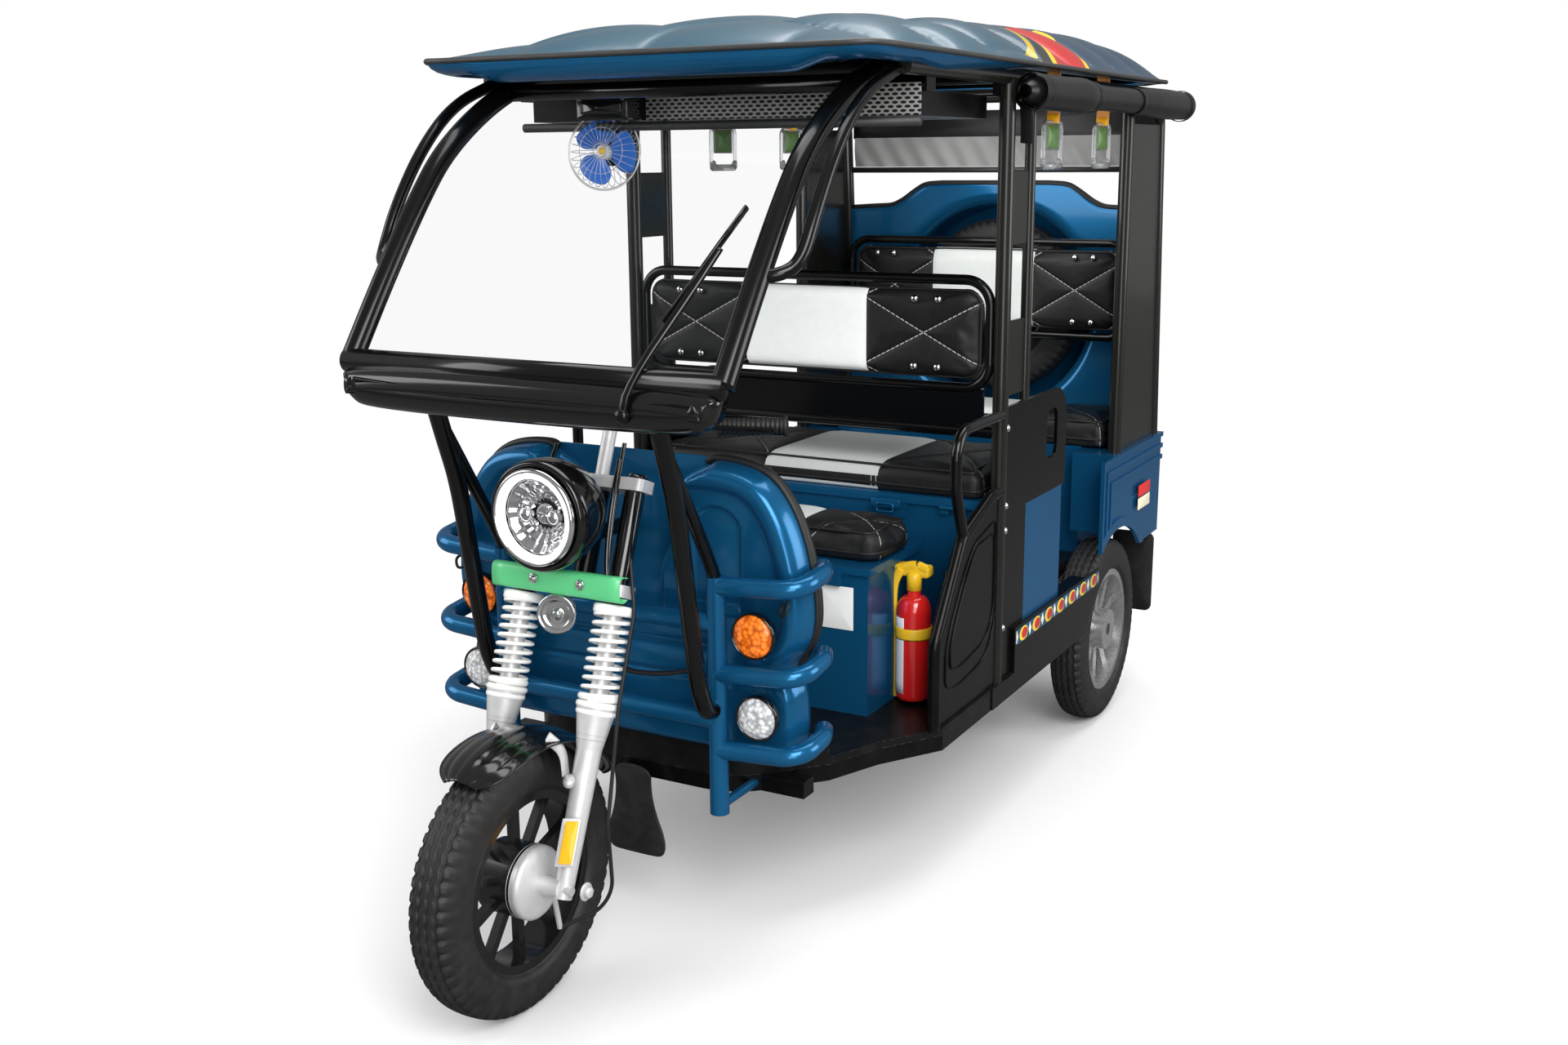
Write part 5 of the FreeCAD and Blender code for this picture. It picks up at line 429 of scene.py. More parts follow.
def make_groups():
    """The effects that several finishes share."""
    g = Group("Grain", {"Place": None, "Scale": 900.0, "Depth": 0.5}, ["Height", "Blotch"])
    cells = g.add("ShaderNodeTexVoronoi", {"Vector": g.inside["Place"], "Scale": g.inside["Scale"]},
                  feature="DISTANCE_TO_EDGE")
    fold = g.noise(g.inside["Place"], 60.0, 4.0)
    cell = g.math("MINIMUM", g.times(cells.outputs["Distance"], 3.0), 1.0)
    g.feed(g.out["Height"], g.times(g.plus(cell, fold), g.inside["Depth"]))
    g.feed(g.out["Blotch"], fold)

    g = Group("Flake", {"Place": None, "Scale": 4000.0}, ["Sparkle", "Sheen", "Ripple"])
    flakes = g.add("ShaderNodeTexVoronoi", {"Vector": g.inside["Place"], "Scale": g.inside["Scale"]})
    parted = g.add("ShaderNodeSeparateColor", {"Color": flakes.outputs["Color"]})
    cloud = g.noise(g.inside["Place"], 7.0, 3.0)
    peel = g.noise(g.inside["Place"], 320.0, 1.0)
    g.feed(g.out["Sparkle"], parted.outputs[0])
    g.feed(g.out["Sheen"], cloud)
    g.feed(g.out["Ripple"], peel)

    g = Group("Dust", {"Place": None, "Low": 0.15, "High": 0.75, "Amount": 0.5}, ["Mask"])
    height = g.parts(g.inside["Place"])["Z"]
    fade = g.ramp(height, g.inside["High"], g.inside["Low"])
    specks = g.add("ShaderNodeTexNoise", {"Vector": g.inside["Place"], "Scale": 24.0, "Detail": 7.0,
                                          "Roughness": 0.7})
    cover = g.ramp(specks.outputs["Fac"], 0.42, 0.75)
    mask = g.times(g.times(fade, cover), g.inside["Amount"])
    g.feed(g.out["Mask"], mask)

    g = Group("Edge wear", {"Place": None, "Reach": 0.003, "Amount": 0.5}, ["Mask"])
    soft = g.add("ShaderNodeBevel", {"Radius": g.inside["Reach"]}, samples=4)
    true = g.nodes.new("ShaderNodeNewGeometry")
    turn = g.add("ShaderNodeVectorMath", operation="DOT_PRODUCT")
    g.links.new(soft.outputs[0], turn.inputs[0])
    g.links.new(true.outputs["Normal"], turn.inputs[1])
    edge = g.ramp(turn.outputs["Value"], 0.98, 0.8)
    chips = g.noise(g.inside["Place"], 90.0, 5.0)
    spots = g.ramp(chips, 0.5, 0.62)
    g.feed(g.out["Mask"], g.times(g.times(edge, spots), g.inside["Amount"]))

    g = Group("Weave", {"Place": None, "Threads": 900.0}, ["Height", "Thread"])
    parts = g.parts(g.inside["Place"])
    run = g.math("SINE", g.times(g.plus(parts["X"], parts["Y"]), g.inside["Threads"]))
    rise = g.math("SINE", g.times(parts["Z"], g.inside["Threads"]))
    g.feed(g.out["Height"], g.plus(g.math("ABSOLUTE", run), g.math("ABSOLUTE", rise)))
    g.feed(g.out["Thread"], g.times(run, rise))

    g = Group("Diamond stitch", {"U": 0.0, "V": 0.0, "Width": 0.08, "Height": 0.05, "Line": 0.0012},
              ["Thread", "Seam"])
    rising = g.plus(g.over(g.inside["U"], g.inside["Width"]), g.over(g.inside["V"], g.inside["Height"]))
    falling = g.minus(g.over(g.inside["U"], g.inside["Width"]), g.over(g.inside["V"], g.inside["Height"]))
    near = g.math("MINIMUM", g.math("PINGPONG", rising, 0.5), g.math("PINGPONG", falling, 0.5))
    reach = g.times(near, g.inside["Height"])
    g.feed(g.out["Seam"], reach)
    dash = g.math("GREATER_THAN", g.math("PINGPONG", g.times(g.inside["U"], 90.0), 0.5), 0.12)
    g.feed(g.out["Thread"], g.times(g.below(reach, g.inside["Line"]), dash))


def paint(name, colour, rough, metal, coat, painted_glint_amount=0.0, dust=0.25, wear=0.15, spec=0.5, edge=(1.0, 1.0, 1.0)):
    """Sprayed paint: slight colour drift, painted glints where flakes would catch the light, fine ripple,
    dust near the ground, wear on edges.
    """
    f = Finish(name)
    place = f.position()
    spray = f.group("Flake", Place=place, Scale=3000.0)
    lighter = tuple(min(1, c * 1.1) for c in colour)
    darker = toned(colour, 0.92)
    body = f.mix(spray["Sheen"], darker, lighter)
    # Painted glint: tiny specks lifted to a bright colour stand in for flakes catching the light.
    if painted_glint_amount:
        painted_glint = f.times(f.math("GREATER_THAN", spray["Sparkle"], 0.8), painted_glint_amount)
        body = f.mix(painted_glint, body, tuple(min(1, c * 3 + 0.1) for c in colour))
    bare = f.group("Edge wear", Place=place, Amount=wear)["Mask"] if wear else 0.0
    if wear:
        body = f.mix(bare, body, (0.35, 0.36, 0.37))
    mask = f.group("Dust", Place=place, Amount=dust)["Mask"]
    f.set(Base_Color=f.mix(mask, body, (0.20, 0.18, 0.15)), Metallic=metal, Coat_Weight=coat,
          Coat_Roughness=0.08, Specular_IOR_Level=spec, Specular_Tint=edge,
          Roughness=f.plus(f.times(mask, 0.5), f.math("MULTIPLY_ADD", spray["Sheen"], 0.06, rough - 0.03)),
          Normal=f.bump(spray["Ripple"], 0.03, 0.0002))
    return f.material


def rubber(name, colour, rough, dust):
    """Moulded rubber: matt, finely grained, greyed by dust."""
    f = Finish(name)
    place = f.position()
    grain = f.grain(place, 700.0, 0.3)
    mask = f.group("Dust", Place=place, Low=0.0, High=0.55, Amount=dust)["Mask"]
    body = f.mix(grain["Blotch"], toned(colour, 0.7), toned(colour, 1.5))
    f.set(Base_Color=f.mix(mask, body, (0.16, 0.15, 0.14)),
          Roughness=f.math("MULTIPLY_ADD", grain["Blotch"], 0.2, rough - 0.1),
          Normal=f.bump(grain["Height"], 0.25, 0.0006))
    return f.material


def alloy(name, colour, rough, metal=1.0, cast=0.35):
    """Cast or drawn metal with a fine grain."""
    f = Finish(name)
    place = f.position()
    grain = f.grain(place, 1400.0, 0.5)
    mask = f.group("Dust", Place=place, Low=0.0, High=0.5, Amount=0.35)["Mask"]
    body = f.mix(grain["Blotch"], toned(colour, 0.82), colour)
    f.set(Base_Color=f.mix(mask, body, (0.3, 0.28, 0.25)), Metallic=metal,
          Roughness=f.math("MULTIPLY_ADD", grain["Blotch"], 0.2, rough - 0.1),
          Normal=f.bump(grain["Height"], cast, 0.0003))
    return f.material


def plastic(name, colour, rough, clear=0.0, glow=0.0):
    """Moulded plastic, clear or solid, with a faint skin texture."""
    f = Finish(name)
    place = f.position()
    grain = f.grain(place, 1100.0, 0.4)
    f.set(Base_Color=f.mix(grain["Blotch"], toned(colour, 0.9), colour), Transmission_Weight=clear,
          Roughness=f.math("MULTIPLY_ADD", grain["Blotch"], 0.1, rough - 0.05), IOR=1.49,
          Normal=f.bump(grain["Height"], 0.05, 0.0002))
    if glow:
        f.set(Emission_Color=colour, Emission_Strength=glow)
    return f.material


def vinyl(name, flat, pitch, crossing, panel, panel_colour=(0.70, 0.73, 0.71)):
    """Seat vinyl: leather grain, a diamond of pale stitches and a pale panel, given as (low, high, start)
    across x and behind or above a line."""
    f = Finish(name)
    place = f.position()
    parts = f.parts(place)
    grain = f.grain(place, 650.0, 0.6)
    second = parts["Y" if flat else "Z"]
    stitch = f.group("Diamond stitch", U=f.minus(parts["X"], crossing[0]),
                     V=f.minus(second, crossing[1]), Width=pitch[0], Height=pitch[1])
    body = f.mix(grain["Blotch"], grey(0.004), grey(0.009))
    low, high, start = panel
    from_middle = f.math("ABSOLUTE", f.minus(parts["X"], (low + high) / 2))
    inside = f.below(from_middle, (high - low) / 2)
    pale = f.times(inside, f.math("GREATER_THAN", second, start))
    cloud = f.mix(grain["Blotch"], toned(panel_colour, 0.9), panel_colour)
    body = f.mix(pale, body, cloud)
    thread = f.times(stitch["Thread"], f.minus(1.0, pale))
    body = f.mix(thread, body, (0.40, 0.40, 0.39))
    f.set(Base_Color=body, Roughness=f.math("MULTIPLY_ADD", grain["Blotch"], 0.2, 0.36),
          Specular_IOR_Level=0.35, Normal=f.bump(grain["Height"], 0.35, 0.0005))
    return f.material


def roof_vinyl(name, colour):
    """Coated cover: soft gloss, darker towards the rear, with slanted bands of red and yellow."""
    f = Finish(name)
    place = f.position()
    parts = f.parts(place)
    grain = f.grain(place, 9.0, 0.4)
    back = f.ramp(parts["Y"], AXLE_Y + 0.9, AXLE_Y + 1.6)
    body = f.mix(grain["Blotch"], toned(colour, 0.95), toned(colour, 1.05))
    body = f.mix(back, body, (0.020, 0.042, 0.070))
    slant = f.math("MULTIPLY_ADD", parts["Z"], -1.7, parts["Y"])
    side = f.math("GREATER_THAN", f.math("ABSOLUTE", parts["X"]), 0.30)
    for low, high, tone in ((1.225, 1.240, (0.40, 0.27, 0.01)), (1.245, 1.285, grey(0.02)),
                            (1.285, 1.310, (0.62, 0.42, 0.01)), (1.310, 1.500, (0.36, 0.012, 0.010)),
                            (1.500, 1.525, (0.62, 0.42, 0.01))):
        start = AXLE_Y + low - 1.7 * 1.70 + 0.05
        inside = f.below(f.math("ABSOLUTE", f.minus(slant, start + (high - low) / 2)), (high - low) / 2)
        body = f.mix(f.times(inside, side), body, tone)
    f.set(Base_Color=body, Roughness=0.34, Coat_Weight=0.3, Coat_Roughness=0.16, Specular_IOR_Level=0.3)
    return f.material


def ornament(name):
    """Painted border: a white diamond between yellow leaves with red hearts, repeated along a blue strip."""
    f = Finish(name)
    parts = f.parts(f.position())
    pitch = 0.0846
    repeat = f.math("FRACT", f.over(f.minus(parts["Y"], AXLE_Y + 1.197), pitch))
    along = f.times(f.minus(repeat, 0.5), pitch)
    up = f.over(f.minus(parts["Z"], 0.4265), 1.35)

    def round_spot(shift, wide, high):
        first = f.math("POWER", f.math("ABSOLUTE", f.over(f.minus(along, shift), wide)), 2.0)
        second = f.math("POWER", f.math("ABSOLUTE", f.over(up, high)), 2.0)
        return f.below(f.plus(first, second), 1.0)

    edge = f.plus(f.over(f.minus(0.0423, f.math("ABSOLUTE", along)), 0.009),
                  f.over(f.math("ABSOLUTE", up), 0.012))
    body = f.mix(f.below(edge, 1.0), (0.006, 0.06, 0.13), (0.75, 0.75, 0.73))
    body = f.mix(round_spot(0.002, 0.027, 0.0125), body, (0.72, 0.55, 0.02))
    body = f.mix(round_spot(0.008, 0.019, 0.009), body, (0.006, 0.05, 0.11))
    body = f.mix(round_spot(0.006, 0.016, 0.0095), body, (0.50, 0.012, 0.012))
    worn = f.grain(f.position(), 300.0, 0.3)
    f.set(Base_Color=f.mix(f.times(worn["Blotch"], 0.15), body, grey(0.02)), Roughness=0.35,
          Coat_Weight=0.3, Normal=f.bump(worn["Height"], 0.1, 0.0003))
    return f.material


def mesh_sheet(name):
    """Expanded metal: pale strands round slanted holes that are painted near black as shade."""
    f = Finish(name)
    parts = f.parts(f.position())
    row = f.over(parts["Z"], 0.0075)
    shift = f.times(f.math("MODULO", f.math("FLOOR", row), 2.0), 0.5)
    column = f.plus(f.over(parts["X"], 0.017), shift)
    across = f.minus(f.math("FRACT", column), 0.5)
    up = f.minus(f.math("FRACT", row), 0.5)
    hole = f.plus(f.times(across, across), f.times(up, up))
    # Painted shade: the holes are not cut, they are coloured near black.
    shaded_hole = f.below(hole, 0.13)
    f.set(Base_Color=f.mix(shaded_hole, (0.32, 0.32, 0.31), grey(0.003)), Metallic=0.4, Roughness=0.4,
          Normal=f.bump(hole, 0.5, 0.002))
    return f.material


def canvas(name, colour, rough=0.6, sheen=0.1):
    """Coated cloth: a fine weave with soft colour drift."""
    f = Finish(name)
    place = f.position()
    weave = f.group("Weave", Place=place, Threads=2600.0)
    cloud = f.noise(place, 9.0, 4.0)
    f.set(Base_Color=f.mix(cloud, toned(colour, 0.7), toned(colour, 1.4)),
          Roughness=f.math("MULTIPLY_ADD", weave["Thread"], 0.08, rough), Sheen_Weight=sheen,
          Specular_IOR_Level=0.35, Normal=f.bump(weave["Height"], 0.2, 0.0002))
    return f.material


def pane(name, rough=0.02):
    """Clear sheet: see-through with a sharp gloss."""
    f = Finish(name)
    place = f.position()
    smear = f.noise(place, 14.0, 4.0)
    f.set(Base_Color=(0.04, 0.05, 0.05), Roughness=f.math("MULTIPLY_ADD", smear, 0.03, rough), Alpha=0.03,
          Specular_IOR_Level=0.5)
    f.material.use_transparent_shadow = True
    return f.material


def lens(name, colour, cells, clear, glow=0.0):
    """Moulded lamp lens: pressed cells with a painted highlight in their middles and painted shade at their
    edges.
    """
    f = Finish(name)
    place = f.position()
    cell = f.add("ShaderNodeTexVoronoi", {"Vector": place, "Scale": cells})
    # Painted highlight and shade: each cell is lightened towards its middle and darkened towards its edges.
    tone = f.ramp(cell.outputs["Distance"], 0.15, 0.75)
    bright = tuple(min(1, c * 1.6 + 0.02) for c in colour)
    body = f.mix(tone, bright, toned(colour, 0.45))
    f.set(Base_Color=body, Roughness=0.12, Transmission_Weight=clear, IOR=1.49, Coat_Weight=0.5,
          Normal=f.bump(cell.outputs["Distance"], 0.8, 0.002))
    if glow:
        f.set(Emission_Color=body, Emission_Strength=glow)
    return f.material


# Diamonds of the seats: (width, height) of one and the middle of one crossing, across and along or up
QUILT = {
    "bench": ((0.27, 0.36), (0.305, AXLE_Y + 1.285)),
    "seat": ((0.27, 0.24), (0.245, AXLE_Y + 0.90)),
    "rear seat": ((0.27, 0.30), (0.305, AXLE_Y + 2.10)),
    "back": ((0.288, 0.15), (0.288, 1.113)),
    "rear back": ((0.27, 0.16), (0.27, 1.125)),
}
FINISHES = {}


def make_finishes(colours):
    """Every finish, by a plain name."""
    make_groups()
    blue = tuple(colours.body_blue)
    FINISHES.update({
        "blue": paint("Metallic blue paint", blue, 0.25, 0.55, 0.4, painted_glint_amount=0.04, dust=0.0, wear=0.03,
                      spec=0.4, edge=(0.12, 0.42, 0.75)),
        "tube": paint("Black gloss tube", grey(0.002), 0.2, 0.0, 0.2, dust=0.02, spec=0.3, wear=0.05),
        "olive": paint("Dark olive pillar", tuple(colours.pillar_olive), 0.28, 0.0, 0.25, dust=0.03,
                       spec=0.35, wear=0.05),
        "board": paint("Black satin board", grey(0.002), 0.25, 0.0, 0.04, dust=0.03, spec=0.18, wear=0.05),
        "gloss": paint("Black gloss moulding", grey(0.003), 0.14, 0.0, 0.5, dust=0.03, wear=0, spec=0.4),
        "floor": paint("Dark floor sheet", grey(0.003), 0.4, 0.0, 0.03, dust=0.06, spec=0.2),
        "white": paint("White spring paint", (0.82, 0.82, 0.8), 0.3, 0.0, 0.5, dust=0.35, wear=0),
        "green": paint("Green plate", (0.09, 0.50, 0.20), 0.35, 0.0, 0.3, dust=0.15),
        "red": paint("Red enamel", (0.62, 0.012, 0.012), 0.15, 0.0, 0.8, dust=0.1, wear=0),
        "yellow": plastic("Yellow moulding", (0.85, 0.52, 0.02), 0.3),
        "tyre": rubber("Tyre rubber", grey(0.008), 0.55, 0.10),
        "rubber": rubber("Black rubber", grey(0.006), 0.5, 0.15),
        "black alloy": paint("Black wheel paint", grey(0.006), 0.25, 0.2, 0.3, dust=0.03, wear=0.05),
        "silver": alloy("Silver cast metal", grey(0.74), 0.36, 0.45),
        "rim": alloy("Bright wheel metal", (0.66, 0.66, 0.67), 0.28, 0.85),
        "chrome": alloy("Bright metal", (0.86, 0.86, 0.87), 0.12, cast=0.05),
        "mirror": alloy("Pressed reflector", (0.80, 0.80, 0.82), 0.14, cast=0.0),
        "lamp glass": pane("Lamp glass", rough=0.03),
        "roof blue": roof_vinyl("Roof cover vinyl", (0.020, 0.072, 0.110)),
        "steel": alloy("Dark steel", grey(0.09), 0.5, 0.8), "pane": pane("Clear pane"),
        "amber": lens("Amber lens", (0.78, 0.13, 0.0), 110.0, 0.0, glow=0.35),
        "clear lens": lens("Faceted clear lens", (0.80, 0.82, 0.85), 120.0, 0.1),
        "red lens": lens("Red lens", (0.5, 0.01, 0.01), 220.0, 0.3),
        "halo": plastic("White light ring", (0.95, 0.95, 0.97), 0.25, glow=0.6),
        "fan blue": plastic("Blue fan plastic", (0.03, 0.16, 0.62), 0.2),
        "clear plastic": plastic("Clear handle plastic", (0.93, 0.95, 0.96), 0.12, clear=0.85),
        "leaf": plastic("Green insert", (0.12, 0.24, 0.07), 0.4),
        "strap": canvas("Orange strap web", (0.75, 0.32, 0.08)),
        "canvas": canvas("Dark coated canvas", (0.006, 0.006, 0.0065), 0.34, 0.0),
        "curtain": canvas("Grey curtain cloth", (0.30, 0.30, 0.295), 0.45),
        "border": ornament("Painted border"), "mesh": mesh_sheet("Expanded metal"),
        "card": paint("Blank white card", (0.8, 0.8, 0.79), 0.5, 0.0, 0.0, dust=0.1, wear=0),
        "cream": plastic("Cream reflector", (0.82, 0.74, 0.55), 0.3),
        "tape red": plastic("Red reflector", (0.65, 0.02, 0.02), 0.3),
        # The amber reflector glows as painted light, though it is no lamp.
        "tape amber": plastic("Amber reflector with painted glow", (0.9, 0.42, 0.01), 0.25, glow=0.15),
        "bench": vinyl("Bench vinyl", True, *QUILT["bench"], panel=(-0.109, 0.180, AXLE_Y + 1.098),
                       panel_colour=(0.50, 0.52, 0.51)),
        "seat": vinyl("Driver seat vinyl", True, *QUILT["seat"], panel=(-0.125, 0.125, AXLE_Y + 0.85)),
        "rear seat": vinyl("Rear seat vinyl", True, *QUILT["rear seat"],
                           panel=(-0.14, 0.14, AXLE_Y + 1.985)),
        "back": vinyl("Backrest vinyl", False, *QUILT["back"], panel=(-0.152, 0.152, 1.017),
                      panel_colour=(0.86, 0.89, 0.87)),
        "rear back": vinyl("Rear backrest vinyl", False, *QUILT["rear back"], panel=(-0.150, 0.150, 1.02)),
    })


NODE_FINISH = {
    "blue": ["nose_panel", "crash_guard", "roof_shell", "lower_panels", "driver_box", "driver_lid",
             "bench_base", "bench_lid", "rear_seat_base", "rear_panel", "rear_sides", "tail_wall"],
    "tube": ["windscreen_frame", "front_cage", "grab_loops", "backrest_frames", "handlebar"],
    "olive": ["canopy_frame", "quarter_panels"],
    "board": ["front_fascia", "leg_panels", "gate_panels", "side_steps", "roof_tray", "chassis_frame"],
    "gloss": ["headlamp", "front_fender"], "floor": ["floor_pan"], "pane": ["windscreen_glass"],
    "rubber": ["mud_flaps", "wiper", "brake_cable", "battery_pack"],
    "tyre": ["front_tyre", "rear_tyre_left", "rear_tyre_right", "spare_wheel"],
    "black alloy": ["front_rim"], "silver": ["fork_legs", "horn"],
    "rim": ["rear_rim_left", "rear_rim_right"], "white": ["fork_springs"], "green": ["number_plate"],
    "bench": ["bench_cushion"], "seat": ["driver_cushion"], "rear seat": ["rear_seat_cushion"],
    "back": ["bench_backrest"], "rear back": ["rear_backrest"], "canvas": ["curtain_rolls"],
    "amber": ["turn_signals"], "clear lens": ["fog_lamps"], "red lens": ["tail_lamps"],
    "red": ["fire_extinguisher"], "steel": ["rear_axle", "leaf_springs"], "fan blue": ["cab_fan"],
    "clear plastic": ["hand_straps"],
}


def dress_nodes():
    """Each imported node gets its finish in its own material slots."""
    for finish, names in NODE_FINISH.items():
        for name in names:
            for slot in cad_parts[name].material_slots:
                slot.material = FINISHES[finish]


# Wheels
def tyre_surface(centre, radius, half, lugs):
    """A tyre as r(t, s): a rounded section carried round the axle, its tread cut by zigzag grooves
    r = R - depth * [|x - a tri(n t)| < w] and its shoulders by short slots every 2 pi / lugs."""
    turn = np.linspace(0, 2 * pi, lugs * 6, endpoint=False)
    across = np.linspace(-1, 1, 49)
    x = across * half * 0.80
    crown = radius - 0.006 * np.abs(across) ** 2.2 - 0.006 * np.abs(across) ** 8
    wave = np.abs((turn * lugs / 2 / pi) % 1 * 2 - 1) * 2 - 1
    depth = np.zeros((len(turn), len(across)))
    for place, swing in ((0.0085, 0.0016), (-0.0085, 0.0016), (0.0245, 0.0014), (-0.0245, 0.0014)):
        gap = np.abs(x[None] - place - swing * wave[:, None])
        depth = np.maximum(depth, 0.006 * np.clip((0.0031 - gap) / 0.0010, 0, 1))
    slot = np.clip(1 - np.abs(((turn * lugs / 2 / pi + 0.25) % 1) - 0.5) / 0.13, 0, 1)
    edge = np.clip((np.abs(x) - 0.0275) / 0.002, 0, 1)
    depth = np.maximum(depth, 0.005 * np.minimum(slot[:, None] * 3, 1) * edge[None])
    tread = np.stack(np.broadcast_arrays(x[None], crown[None] - depth), -1)
    side = np.array([(half * 0.90, radius - 0.022), (half * 0.97, radius - 0.036), (half, radius - 0.052),
                     (half * 0.985, radius - 0.060), (half, radius - 0.064), (half * 0.96, radius - 0.075),
                     (half * 0.86, 0.166), (half * 0.80, 0.1645), (half * 0.77, 0.160),
                     (half * 0.60, 0.1535)])
    right = np.broadcast_to(side[None], (len(turn), *side.shape)).copy()
    ribs = 0.0012 * np.clip(np.abs(((turn * lugs / 2 / pi) % 1) - 0.5) * 8 - 2, 0, 1)
    right[:, 0, 0] -= ribs
    left = right[:, ::-1] * [-1, 1]
    inner = np.broadcast_to(np.array([(half * 0.3, 0.153), (-half * 0.3, 0.153)])[None], (len(turn), 2, 2))
    section = np.concatenate([left, tread, right, inner], 1)
    spoke = np.stack([np.zeros_like(turn), np.cos(turn), np.sin(turn)], 1)
    return np.asarray(centre) + section[..., :1] * ACROSS + section[..., 1:] * spoke[:, None]


def middle_of(node):
    """The middle of a node's box."""
    low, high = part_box(node)
    return np.array((low + high) / 2)


def build_tyres():
    """One treaded tyre on each wheel."""
    sizes = bpy.context.scene.rickshaw_sizes
    for node, body in (("front_tyre", "front_wheel"), ("rear_tyre_left", "rear_wheel_left"),
                       ("rear_tyre_right", "rear_wheel_right")):
        surface = tyre_surface(middle_of(node), sizes.tyre_radius, sizes.tyre_width / 2, sizes.lugs)
        tread = Shape().loop(surface)
        tread.build(node.replace("tyre", "tread"), body, "tyre_rubber", "tyre", replaces=[node])


# Front pieces
NOSE_HALF = ((0.0, 0.398), (0.345, 0.398), (0.374, 0.415), (0.375, 0.524), (0.360, 0.552), (0.358, 0.580),
             (0.380, 0.612), (0.395, 0.650), (0.396, 0.700), (0.388, 0.756), (0.374, 0.815), (0.350, 0.872),
             (0.310, 0.922), (0.256, 0.943), (0.187, 0.948), (0.0, 0.948))
NOSE_FACE, NOSE_BACK, NOSE_MIDDLE = 0.337, 0.408, 0.70
# Distance from the shield's edge and depth behind its face: over the lobes, and below them
LOBE_PROFILE = ((0, 0.055), (0.003, 0.026), (0.007, 0.014), (0.012, 0.006), (0.018, 0.002), (0.026, 0.000),
                (0.034, 0.001), (0.042, 0.005), (0.050, 0.013), (0.056, 0.018), (0.062, 0.019))
SKIRT_PROFILE = ((0, 0.060), (0.006, 0.020), (0.016, 0.010), (0.03, 0.008))


def nose_depth(inset, x, z):
    """Depth behind the face: the profile from the edge, an arch in each lobe, the channel between them."""
    side = np.abs(x)
    low = eased((z - 0.575) / 0.035)
    depth = np.interp(inset, *zip(*LOBE_PROFILE)) * low + np.interp(inset, *zip(*SKIRT_PROFILE)) * (1 - low)
    wall = 0.076 + 0.034 * eased((z - 0.72) / 0.12) + 0.075 * eased((z - 0.870) / 0.07) ** 2
    lobe = np.maximum(eased((side - wall) / 0.016), 1 - eased((z - 0.640) / 0.02))
    arch_side = np.abs(side - 0.205)
    arch_top = 0.815 + 0.056 * np.sqrt(np.clip(1 - (arch_side / 0.058) ** 2, 0, 1))
    arch = eased((0.056 - arch_side) / 0.009) * eased((arch_top - z) / 0.012) * eased((z - 0.665) / 0.02)
    depth = depth + 0.009 * arch
    channel = np.clip(0.030 + (z - 0.64) * 0.14, 0, 0.066)
    return np.where(lobe < 1, np.maximum(depth, channel * (1 - lobe) + depth * lobe), depth)


def nose_surface():
    """Shield as P(a, r): centre + (1 - inset / h(a)) (outline(a) - centre), its station face +
    depth(inset, x, z), where h(a) is the outline's distance from the centre along its normal. The first ring
    lies at the back."""
    right = np.array(NOSE_HALF)
    outline = np.concatenate([right, right[-2:0:-1] * [-1, 1]])
    outline = resampled(softened(outline, 3, closed=True), 264, closed=True)
    middle = np.array([0, NOSE_MIDDLE])
    along = np.roll(outline, -1, 0) - np.roll(outline, 1, 0)
    normal = np.stack([along[:, 1], -along[:, 0]], 1) / np.linalg.norm(along, axis=1)[:, None]
    reach = np.abs(np.sum((outline - middle) * normal, 1))
    insets = np.array([0, 0, 0.001, 0.003, 0.006, 0.009, 0.013, 0.017, 0.022, 0.027, 0.032, 0.037, 0.042,
                       0.047, 0.052, 0.057, 0.062, 0.068])
    edge = 1 - insets[:, None] / reach
    inner = edge[-1] * (1 - np.linspace(0, 1, 66)[1:, None])
    share = np.concatenate([edge, inner])
    flat = middle + share[..., None] * (outline - middle)
    x, z = flat[..., 0], flat[..., 1]
    station = NOSE_FACE + nose_depth((1 - share) * reach, x, z)
    station[0] = NOSE_BACK
    slot = 0.006 * np.exp(-((z - 0.600) / 0.005) ** 2) * (np.abs(x) < 0.20)
    seam = 0.005 * np.exp(-((z - 0.540) / 0.005) ** 2)
    points = np.stack([x, AXLE_Y + np.minimum(station + slot + seam, NOSE_BACK), z], -1)
    return points[:, ::-1]


def build_nose():
    """The pressed shield, and the beading as a flat tube swept along each of its shoulders."""
    shell = Shape().wrap(nose_surface()).build("nose_press", "root", "blue_paint", "blue",
                                               replaces=["nose_panel"])
    walled(shell, 3 * MM)
    rim = resampled(softened([(0.352, 0.572), (0.380, 0.612), (0.396, 0.655), (0.397, 0.700), (0.389, 0.756),
                              (0.375, 0.815), (0.351, 0.872), (0.311, 0.924), (0.256, 0.945), (0.187, 0.950),
                              (0.170, 0.940)], 3), 120)
    rim = np.insert(rim, 1, AXLE_Y + 0.399, axis=1)
    bead = Shape().wrap(tube(rim, 0.0075, 10, flat=1.6, seed=AHEAD)).mirrored()
    bead.build("nose_beading", "root", "black_rubber", "rubber")


def build_fascia():
    """The band under the screen: a rounded outline whose rings bulge forwards as an arch, b sin(q)."""
    half, low, high, middle = 0.392, 1.046, 1.126, 1.088
    outline = [(-half, high), (-half, low + 0.050), (-half + 0.012, low + 0.020), (-half + 0.055, low),
               (half - 0.055, low), (half - 0.012, low + 0.020), (half, low + 0.050), (half, high)]
    outline = resampled(softened(outline, 3, closed=True), 160, closed=True)
    turn = np.linspace(0, pi / 2, 9)
    levels = [(0.0, -0.013)]
    levels += [(0.034 * (1 - np.cos(t)), 0.010 + 0.026 * np.sin(t)) for t in turn]
    levels += [(0.0375, 0.0355), (0.039, 0.0345), (0.041, 0.0345)]
    place = facing(at(0, 0.084, middle), v_axis=(0, 0.05, 1.0))
    band = Shape().wrap(pad_of(outline - [0, middle], levels, place))
    band.build("fascia_moulding", "root", "black_board", "gloss", replaces=["front_fascia"])


